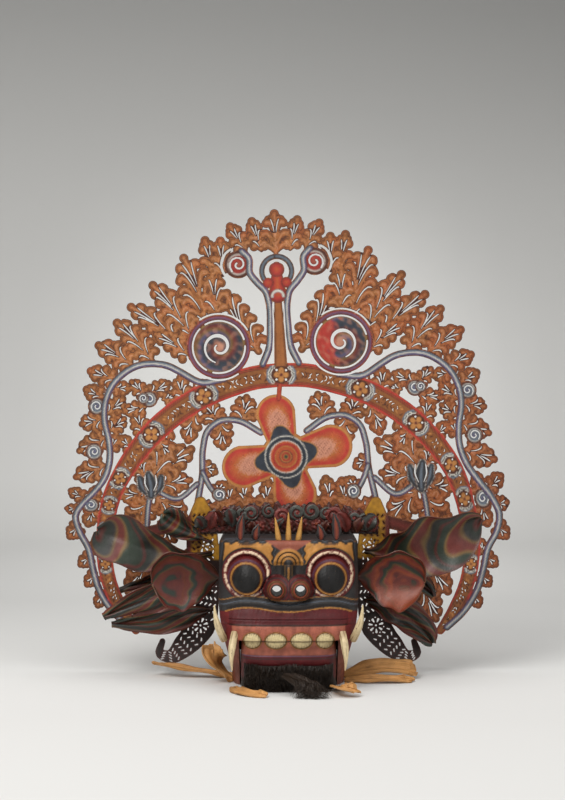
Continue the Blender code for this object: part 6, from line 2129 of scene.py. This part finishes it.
def crown_leaf(c, chance, number, at, rise, back):
    """A small lobed leaf that curls out of the diadem: its points, faces and paint."""
    rows, wide = 34, 18
    t, edge = sheet_places(rows, wide)
    foot = HEAD_HEIGHT + GAP
    outer = abs(at) > 0.55
    root = np.array([at * CROWN_WIDTH / 2, back - 0.006,
                     HEAD_HEIGHT + chance.uniform(0.08, 0.35) * rise])
    lean = chance.uniform(-0.016, 0.016)
    tip = root + np.array([lean, -chance.uniform(0.006, 0.013),
                           chance.uniform(0.022, 0.036) if outer else 0.017])
    tip[2] = min(tip[2], HEAD_HEIGHT + rise)
    middle = (root + tip) / 2 + np.array([-lean * 0.5, -0.007, 0.003])
    sheet = leaf_sheet(root, middle, tip, chance.uniform(0.015, 0.024) if outer else 0.012,
                       chance.uniform(0.4, 0.9),
                       (0, -1, 0.2), 0.6, 0.5, chance.uniform(-0.7, 0.7), rows, wide, wave=0.0018)
    lobes = 1 + 0.22 * np.abs(np.sin(3 * math.pi * t)) * edge
    rib = sheet.mean(1, keepdims=True)
    sheet = rib + (sheet - rib) * lobes[..., None]
    sheet[..., 1] = np.minimum(sheet[..., 1], back - 0.0015)
    sheet[..., 2] = np.maximum(sheet[..., 2], foot + 0.001)
    made, quads = sheet_solid(sheet, 0.0016)
    lead = (c.slate * 1.3 + 0.6 * c.green, c.leaf_red * 1.4, c.ochre_dark * 1.5)[number % 3]
    leaf_paint = layered(
        np.broadcast_to(lead, (rows, wide, 3)),
        (within(edge - 0.30, 0.1) * ease((t - 0.1) / 0.2), c.leaf_red * 0.7),
        (0.7 * ease((edge - 0.84) / 0.1), c.pendant_dark),
    )
    return made, quads, np.tile(leaf_paint.reshape(-1, 3), (2, 1))


def model_crown():
    """The diadem: a leather band with scrolls in slate green along its top, each a boss with a groove
    that winds in, red rosettes between and below them, and a few leaves that curl out of it."""
    c = colours()
    columns, levels = 380, 70
    share = np.linspace(-1, 1, columns)
    x = share * CROWN_WIDTH / 2
    back = FLAP_Y - FLAP_THICKNESS / 2 - GAP
    foot = HEAD_HEIGHT + GAP
    arch = 0.72 + 0.28 * np.cos(share * math.pi / 2) ** 0.5
    curls = np.abs(np.sin(share * 5.6 * math.pi + 0.8 * np.sin(7 * share + 1))) ** 0.6
    ragged = 0.05 * mottle(x[:, None], 0.014, 63)
    high = HEAD_HEIGHT + CROWN_HEIGHT * (arch * (0.78 + 0.16 * curls + ragged) - 0.3 * np.abs(share) ** 6)
    level = np.linspace(0, 1, levels)[:, None]
    z = foot + (high - foot) * level
    x = x + 0 * z
    place = np.stack([x, z], -1)
    tone = mottle(place, 0.010, 61)
    body = np.interp(level, [0.0, 0.3, 0.9, 1.0], [0.30, 0.45, 0.50, 0.30]) + 0.05 * tone
    paint = lay(c.ochre_dark * 0.8, np.clip(0.4 + 0.5 * tone, 0, 1), c.leaf_red * 0.9)
    chance = np.random.default_rng(64)
    bosses = crown_bosses(chance, share, high)
    for at, centre, radius, scroll, number in bosses:
        side = 1 if number % 3 else -1
        across = (x - at - chance.uniform(-0.002, 0.002)) * side
        up = z - centre - chance.uniform(-0.002, 0.002)
        away, around = np.hypot(across, up) / radius, np.arctan2(up, across)
        inside = within(away - 1, 0.05)
        if scroll:
            wind = np.mod(around / (2 * math.pi) + 1.45 * away + 0.3 * number, 1.0)
            groove = within(np.abs(wind - 0.5) - 0.15, 0.05)
            dome = inside * (0.62 + 0.36 * np.sqrt(np.clip(1 - away**2, 0, 1)))
            body = np.maximum(body, dome) - 0.26 * groove * inside
            lead = c.leaf_red * 1.5 if number % 4 == 1 else c.slate * 1.4 + 0.8 * c.green
            paint = layered(
                paint,
                (inside, lead * (1 + 0.18 * tone[..., None])),
                (inside * groove, c.leaf_red * 0.9),
                (0.8 * inside * within(away - 0.22, 0.06), c.red * 0.6),
                (0.5 * inside * within(np.abs(wind - 0.30) - 0.03, 0.02), c.chalk * 0.35),
            )
        else:
            petal = inside * (0.6 + 0.4 * np.abs(np.cos(2.5 * around + number)))
            body = np.maximum(body, 0.55 * petal + 0.3 * within(away - 0.3, 0.1))
            paint = layered(
                paint,
                (petal**2, c.leaf_red * 1.6),
                (within(away - 0.30, 0.08), c.slate * 1.6 if number % 2 else c.orange * 0.6),
            )
    # Painted shade: the band is darkened towards its foot for the dark gap over the head's top; a thin dark
    # line also runs along its top edge.
    dark = ease((0.16 - level) / 0.12) + 0.5 * within(np.abs(level - 0.985) - 0.02, 0.01)
    paint = lay(paint, np.clip(dark + 0 * x, 0, 1), c.pendant_dark)
    front = np.stack([x, back - CROWN_THICKNESS * np.clip(body, 0.22, 1.0), z], -1)
    rear = front.copy()
    rear[..., 1] = back
    sections = np.concatenate([front, rear[::-1]]).transpose(1, 0, 2)[:, ::-1]
    points, faces = loft(sections)
    rear_paint = np.broadcast_to(c.hide * 0.4, paint.shape)
    shade = np.concatenate([paint, rear_paint[::-1]]).transpose(1, 0, 2)[:, ::-1]
    parts, shades, count = [points], [shade.reshape(-1, 3)], len(points)
    for number, at in enumerate(CROWN_LEAVES):
        rise = float(np.interp(at, share, high)) - HEAD_HEIGHT
        made, quads, leaf_paint = crown_leaf(c, chance, number, at, rise, back)
        parts.append(made)
        shades.append(leaf_paint)
        faces = faces + (np.array(quads) + count).tolist()
        count += len(made)
    new_piece("crown_curls", np.vstack(parts), faces, np.vstack(shades), leaf_finish(), ["crown"], sharp=55)


def lay_hair():
    """The chin's fur and then the tress, from one run of chance."""
    sizes = bpy.context.scene.barong_sizes
    chance = np.random.default_rng(71)
    lay_fur(chance, sizes.fur_strands)
    lay_tress(chance, sizes.tress_strands)


def lay_fur(chance, count):
    """Short black hair over the chin: a thin dark hide and single strands that hang from it."""
    c = colours()
    edge = 0.93 * HALF_JAW
    hide_columns, hide_rows = 60, 16
    x = np.linspace(-edge, edge, hide_columns)[None]
    z = np.linspace(0.003, 0.043, hide_rows)[:, None]
    swell = np.interp(z, [0.003, 0.016, 0.034, 0.043], [0.55, 1.0, 0.80, 0.25])

    def chin(px, pz):
        corner = 0.6 * CORNER_DEPTH
        facing = facing_of(px / HALF_JAW)
        return jaw_front(pz) + corner - corner * facing - jaw_relief(px, pz) * carving(facing) - FUR_STANDOFF

    taper = 1 - 0.6 * (np.abs(x) / edge) ** 6
    inner = np.stack([x + 0 * z, chin(x, z), z + 0 * x], -1)
    outer = np.stack([x + 0 * z, chin(x, z) - 0.6 * FUR_THICKNESS * swell * taper,
                      z - 0.002 * swell + 0 * x], -1)
    points, faces = loft(np.concatenate([inner, outer[::-1]]).transpose(1, 0, 2))
    root_x = chance.uniform(-edge, edge, count)
    root_z = 0.006 + 0.039 * chance.uniform(0, 1, count) ** 0.8 + 0.0025 * np.sin(root_x * 90 + 1)
    root_y = chin(root_x, root_z) - 0.4 * FUR_THICKNESS * np.interp(root_z, z[:, 0], swell[:, 0])
    steps = 6
    t = np.linspace(0, 1, steps)[None]
    length = chance.uniform(0.008, 0.017, count)[:, None]
    sway = chance.normal(0, 0.004, count)[:, None]
    lines = np.stack([
        root_x[:, None] * (1 - 0.04 * t) + sway * t**2,
        root_y[:, None] - 0.0045 * np.sin(math.pi * 0.6 * t) * chance.uniform(0.5, 1.3, count)[:, None],
        np.maximum(root_z[:, None] - length * t, 0.0008),
    ], -1)
    fuzz, fuzz_faces = tubes(lines, (0.00045 * (1 - 0.75 * t)) * np.ones((count, 1)))
    shade = np.repeat(c.hair * chance.uniform(0.5, 1.7, (count, 1)), steps * 3, axis=0)
    faces = faces + [[corner + len(points) for corner in face] for face in fuzz_faces]
    paint = np.vstack([np.broadcast_to(c.hair * 0.6, (len(points), 3)), shade])
    new_piece("chin_fur_hair", np.vstack([points, fuzz]), faces, paint, hair_finish(), ["chin_fur"])


def lay_tress(chance, count):
    """The tress, which hangs from the chin and lies on the ground, as single strands."""
    c = colours()
    steps = 26
    clear = jaw_front(0.034) - FUR_STANDOFF - FUR_THICKNESS - TRESS_RADIUS - GAP
    start, end = np.array([0.002, clear, 0.030]), np.array([0.034, clear - 0.026, 0.0035])
    t = np.linspace(0, 1, steps)[:, None]
    guide = start + (end - start) * t + np.array([0.012, -0.006, 0.0]) * 4 * t * (1 - t)
    spread_out = (0.55 + 1.0 * t - 0.8 * t**2) * TRESS_RADIUS
    angle, away = chance.uniform(0, 2 * math.pi, count), np.sqrt(chance.uniform(0, 1, count))
    twist = angle[:, None] + 2.6 * t[None, :, 0] + 0.5 * np.sin(5 * t[None, :, 0] + angle[:, None])
    wide = 2.4 - 1.4 * t[None, :, 0]
    offset = np.stack([wide * np.cos(twist), 0.4 * np.sin(twist), 0.8 * np.sin(twist)], -1)
    offset = offset * (away[:, None] * spread_out[:, 0])[..., None]
    offset[..., 0] += 0.0016 * np.sin(9 * t[None, :, 0] + 3 * angle[:, None])
    stray = np.clip(chance.normal(0, 1, (count, 3)), -1.6, 1.6) * np.array([0.0130, 0.0050, 0.0030])
    lines = guide[None] + offset + stray[:, None] * (t[None] ** 2) * 1.2
    lines[..., 2] = np.maximum(lines[..., 2], 0.0007 + 0.002 * away[:, None] * (1 - t[None, :, 0]))
    radii = (0.00042 * (1 - 0.6 * t[None, :, 0] ** 2)) * np.ones((count, 1))
    points, faces = tubes(lines, radii)
    shade = np.repeat(c.hair * chance.uniform(0.7, 2.2, (count, 1)), steps * 3, axis=0)
    new_piece("beard_tress_hair", points, faces, shade, hair_finish(), ["beard_tress"])


# Leather strips on the ground: side, root (out, back, up), middle and tip, width, cup and twist.
SCRAPS = {
    "scrap_left_long": (-1, (0.091, -0.010, 0.0030), (0.150, -0.020, 0.010), (0.222, 0.004, 0.020), 0.026,
                        0.5, 0.5),
    "scrap_left_curl": (-1, (0.091, -0.046, 0.0030), (0.128, -0.058, 0.020), (0.120, -0.060, 0.058), 0.044,
                        0.8, 0.3),
    "scrap_left_front": (-1, (0.084, -0.118, 0.0026), (0.086, -0.160, 0.004), (0.040, -0.188, 0.003), 0.026,
                         0.3, 0.0),
    "scrap_right_broad": (1, (0.091, -0.006, 0.0030), (0.150, -0.024, 0.026), (0.205, -0.020, 0.012), 0.044,
                          0.5, -0.2),
    "scrap_right_long": (1, (0.091, -0.052, 0.0030), (0.140, -0.070, 0.008), (0.196, -0.058, 0.004), 0.024,
                         0.4, 0.0),
    "scrap_right_front": (1, (0.082, -0.120, 0.0030), (0.066, -0.186, 0.016), (0.100, -0.182, 0.010), 0.030,
                          0.8, 0.0),
}


def lay_strips():
    """Bare strips of the leather skirt round the foot of the head, torn at their ends and darker at their
    edges."""
    c = colours()
    rows, columns = 60, 24
    for number, (name, (side, root, middle, tip, width, cup, twist)) in enumerate(SCRAPS.items()):
        flip = np.array([side, 1.0, 1.0])
        sheet = leaf_sheet(root * flip, middle * flip, tip * flip, 0.88 * width, cup, (0, -0.4, 1), 0.16,
                           0.10,
                           side * twist, rows, columns, wave=0.0022)
        torn = 0.0055 * mottle(np.linspace(0, 1, columns)[:, None] * 9, 2.2, 80 + number)
        t, edge = sheet_places(rows, columns)
        across = np.linspace(-1, 1, columns)[None]
        crease = 0.0016 * (1 - np.abs(np.sin(1.7 * math.pi * across + 1.5 * t + number)))
        sheet = sheet + grid_normals(sheet) * crease[..., None]
        direction = sheet[-1].mean(0) - sheet[-8].mean(0)
        direction /= np.linalg.norm(direction)
        sheet = sheet + direction * (ease((t - 0.8) / 0.2) * torn[None])[..., None]
        sheet[..., 2] = np.clip(sheet[..., 2], 0.6 * LEAF_THICKNESS, None)
        grain = mottle(np.stack([3.0 * across + 0 * t, 0.5 * t], -1), 0.7, 90 + number)
        tone = 0.5 * mottle(sheet, 0.02, 90 + number) + 0.7 * grain
        paint = c.strip * (1 + 0.14 * tone)[..., None]
        paint = layered(
            paint,
            (0.5 * ease((edge - 0.8) / 0.2), c.strip * 0.45),
            (0.35 * ease((np.abs(tone) - 0.9) / 0.5), c.ochre_dark),
        )
        points, faces = sheet_solid(sheet, 0.8 * LEAF_THICKNESS)
        new_piece(f"{name}_strip", points, faces, np.tile(paint.reshape(-1, 3), (2, 1)), strip_finish(),
                  [name], sharp=60)


# Stage


def paper_material():
    """Matt paper that shows the tone kept in the sweep's points, with light and shade painted into it."""
    made = bpy.data.materials.new("pale_paper")
    made.use_nodes = True
    tree = made.node_tree
    shader = tree.nodes["Principled BSDF"]
    shader.inputs["Roughness"].default_value = 0.75
    shader.inputs["Specular IOR Level"].default_value = 0.1
    tone = node(tree, "ShaderNodeAttribute", attribute_name="paint")
    tree.links.new(tone.outputs["Color"], shader.inputs["Base Color"])
    return made


# The paper's tone by how far above the camera's level a place is seen, as rise over distance.
# It is painted light: darker up the wall, darker on the floor behind the mask, and lighter where the floor
# bends up.
PAPER_TONES = [(-0.254, 0.68), (-0.20, 0.70), (-0.178, 0.74), (-0.165, 0.68), (-0.15, 0.66), (-0.127, 0.61),
               (-0.09, 0.77), (-0.05, 0.80), (0.0, 0.75), (0.05, 0.70), (0.127, 0.60), (0.19, 0.49),
               (0.254, 0.385)]
PAPER_TINT = (1.0, 1.0, 0.985)
# Painted light: the paper is made lighter to the left and darker to the right above the camera's level.
SIDE_FADE = 0.09
# A painted pool of light on the paper behind the fan: its height, reach and strength.
GLOW_HEIGHT = 0.50
GLOW_REACH = 0.76
GLOW_TONE = 0.26
FLOOR_FRONT_Y = -5.0
WALL_Y = 3.6
WALL_TOP = 4.0
SWEEP_BEND = 1.2
HALF_SWEEP = 4.5
ROOM_LIGHT = 0.38
# Each lamp: name, place, what it points at, size, power and colour.
LAMPS = (
    ("key", (-1.4, -2.2, 2.6), (0, 0, 0.35), 1.6, 68, (1.0, 0.985, 0.96)),
    ("fill", (1.9, -2.4, 1.4), (0, 0, 0.35), 2.0, 19, (1.0, 0.985, 0.97)),
    ("overhead", (0, -0.3, 2.9), (0, 0, 0.2), 2.4, 38, (1.0, 0.99, 0.98)),
)


def area_light(name, place, aim, size, power, colour):
    """A square lamp that points at a place."""
    data = bpy.data.lights.new(name, "AREA")
    data.shape, data.size, data.energy, data.color = "SQUARE", size, power, colour
    made = placed(name, data)
    made.location = place
    made.rotation_euler = (Vector(aim) - Vector(place)).to_track_quat("-Z", "Y").to_euler()


def set_stage():
    """A pale sweep of paper under and behind the mask, its tone painted with light and shade, soft light
    from above and the left, and the camera."""
    columns = 60
    turn = np.linspace(0, math.pi / 2, 24)
    bend_y = WALL_Y - SWEEP_BEND
    floor_y = np.concatenate([[FLOOR_FRONT_Y], np.linspace(CAMERA_Y + 0.4, bend_y, 70, endpoint=False)])
    wall_z = np.linspace(SWEEP_BEND, WALL_TOP, 30)[1:]
    y = np.concatenate([floor_y, bend_y + SWEEP_BEND * np.sin(turn), np.full_like(wall_z, WALL_Y)])
    z = np.concatenate([0 * floor_y, SWEEP_BEND - SWEEP_BEND * np.cos(turn), wall_z])
    across = np.linspace(-HALF_SWEEP, HALF_SWEEP, columns)
    grid = np.stack([across + 0 * y[:, None], y[:, None] + 0 * across, z[:, None] + 0 * across], -1)
    rise = (grid[..., 2] - CAMERA_HEIGHT) / np.maximum(grid[..., 1] - CAMERA_Y, 0.5)
    # Painted light and shade in the paper's tone: fall-off with height, lighter to the left, and a glow
    # behind the fan.
    tone = np.interp(rise, *np.array(PAPER_TONES).T)
    tone = tone * (1 - SIDE_FADE * grid[..., 0] * ease(rise / 0.25))
    glow = np.exp(-(np.hypot(grid[..., 0], grid[..., 2] - GLOW_HEIGHT) / GLOW_REACH) ** 4)
    tone = tone + GLOW_TONE * glow * ease(grid[..., 1] / 2)
    mesh = bpy.data.meshes.new("paper_sweep")
    mesh.from_pydata(grid.reshape(-1, 3).tolist(), [], grid_faces(len(y), columns).tolist())
    sweep = placed("paper_sweep", mesh)
    put_paint(mesh, (tone[..., None] * np.array(PAPER_TINT)).reshape(-1, 3))
    mesh.materials.append(paper_material())
    mesh.shade_smooth()
    for lamp in LAMPS:
        area_light(*lamp)
    world = bpy.data.worlds.new("room")
    world.use_nodes = True
    world.node_tree.nodes["Background"].inputs["Color"].default_value = (1.0, 0.99, 0.97, 1)
    world.node_tree.nodes["Background"].inputs["Strength"].default_value = ROOM_LIGHT
    bpy.context.scene.world = world
    data = bpy.data.cameras.new("camera")
    data.lens = CAMERA_LENS
    camera = placed("camera", data)
    camera.location = (CAMERA_X, CAMERA_Y, CAMERA_HEIGHT)
    camera.rotation_euler = (math.pi / 2, 0, 0)
    bpy.context.scene.camera = camera
    bpy.context.scene.view_settings.view_transform = "Standard"


# Add-on


class MASK_OT_carve_head(bpy.types.Operator):
    """Carve and paint the hollow wooden head"""

    bl_idname = "barong.carve_head"
    bl_label = "Carve Head"

    def execute(self, context):
        carve_head()
        return {"FINISHED"}


class MASK_OT_carve_jaw(bpy.types.Operator):
    """Carve and paint the hinged lower jaw"""

    bl_idname = "barong.carve_jaw"
    bl_label = "Carve Jaw"

    def execute(self, context):
        carve_jaw()
        return {"FINISHED"}


class MASK_OT_make_tusks(bpy.types.Operator):
    """Make the four horn tusks"""

    bl_idname = "barong.make_tusks"
    bl_label = "Make Tusks"

    def execute(self, context):
        make_tusks()
        return {"FINISHED"}


class MASK_OT_brow_ornaments(bpy.types.Operator):
    """Make the gilt spikes and the leather flames on the brow"""

    bl_idname = "barong.brow_ornaments"
    bl_label = "Make Brow Ornaments"

    def execute(self, context):
        make_brow_ornaments()
        return {"FINISHED"}


class MASK_OT_cut_fan(bpy.types.Operator):
    """Cut, shape and paint the openwork leather fan"""

    bl_idname = "barong.cut_fan"
    bl_label = "Cut Fan"

    def execute(self, context):
        cut_fan()
        return {"FINISHED"}


class MASK_OT_cut_pendants(bpy.types.Operator):
    """Cut and paint the two pierced pendants"""

    bl_idname = "barong.cut_pendants"
    bl_label = "Cut Pendants"

    def execute(self, context):
        cut_pendants()
        return {"FINISHED"}


class MASK_OT_shape_ears(bpy.types.Operator):
    """Shape and paint the two cupped ears"""

    bl_idname = "barong.shape_ears"
    bl_label = "Shape Ears"

    def execute(self, context):
        shape_ears()
        return {"FINISHED"}


class MASK_OT_shape_leaves(bpy.types.Operator):
    """Shape and paint the striped leaves beside the face"""

    bl_idname = "barong.shape_leaves"
    bl_label = "Shape Leaves"

    def execute(self, context):
        shape_leaves()
        return {"FINISHED"}


class MASK_OT_model_crown(bpy.types.Operator):
    """Model the diadem of curled leather leaves"""

    bl_idname = "barong.model_crown"
    bl_label = "Model Crown"

    def execute(self, context):
        model_crown()
        return {"FINISHED"}


class MASK_OT_lay_hair(bpy.types.Operator):
    """Lay the chin fur and the tress of hair"""

    bl_idname = "barong.lay_hair"
    bl_label = "Lay Hair"

    def execute(self, context):
        lay_hair()
        return {"FINISHED"}


class MASK_OT_lay_strips(bpy.types.Operator):
    """Lay the bare leather strips round the foot"""

    bl_idname = "barong.lay_strips"
    bl_label = "Lay Strips"

    def execute(self, context):
        lay_strips()
        return {"FINISHED"}


class MASK_OT_set_stage(bpy.types.Operator):
    """Set the paper sweep, the lights and the camera"""

    bl_idname = "barong.set_stage"
    bl_label = "Set Stage"

    def execute(self, context):
        set_stage()
        return {"FINISHED"}


OPERATORS = (
    MASK_OT_carve_head, MASK_OT_carve_jaw, MASK_OT_make_tusks, MASK_OT_brow_ornaments, MASK_OT_cut_fan,
    MASK_OT_cut_pendants, MASK_OT_shape_ears, MASK_OT_shape_leaves, MASK_OT_model_crown, MASK_OT_lay_hair,
    MASK_OT_lay_strips, MASK_OT_set_stage,
)


class MASK_PT_panel(bpy.types.Panel):
    """The mask's sizes, colours and steps"""

    bl_label = "Barong Mask"
    bl_idname = "MASK_PT_panel"
    bl_space_type = "VIEW_3D"
    bl_region_type = "UI"
    bl_category = "Barong Mask"

    def draw(self, context):
        for settings in (context.scene.barong_sizes, context.scene.barong_colours):
            box = self.layout.box()
            for name in type(settings).__annotations__:
                box.prop(settings, name)
        for operator in OPERATORS:
            self.layout.operator(operator.bl_idname)


CLASSES = (MaskColours, MaskSizes, *OPERATORS, MASK_PT_panel)


def register():
    for kind in CLASSES:
        bpy.utils.register_class(kind)
    bpy.types.Scene.barong_colours = bpy.props.PointerProperty(type=MaskColours)
    bpy.types.Scene.barong_sizes = bpy.props.PointerProperty(type=MaskSizes)


def unregister():
    del bpy.types.Scene.barong_sizes
    del bpy.types.Scene.barong_colours
    for kind in reversed(CLASSES):
        bpy.utils.unregister_class(kind)


def main():
    """Builds every piece and the stage."""
    register()
    for operator in OPERATORS:
        group, name = operator.bl_idname.split(".")
        getattr(getattr(bpy.ops, group), name)()


if __name__ == "__main__":
    main()
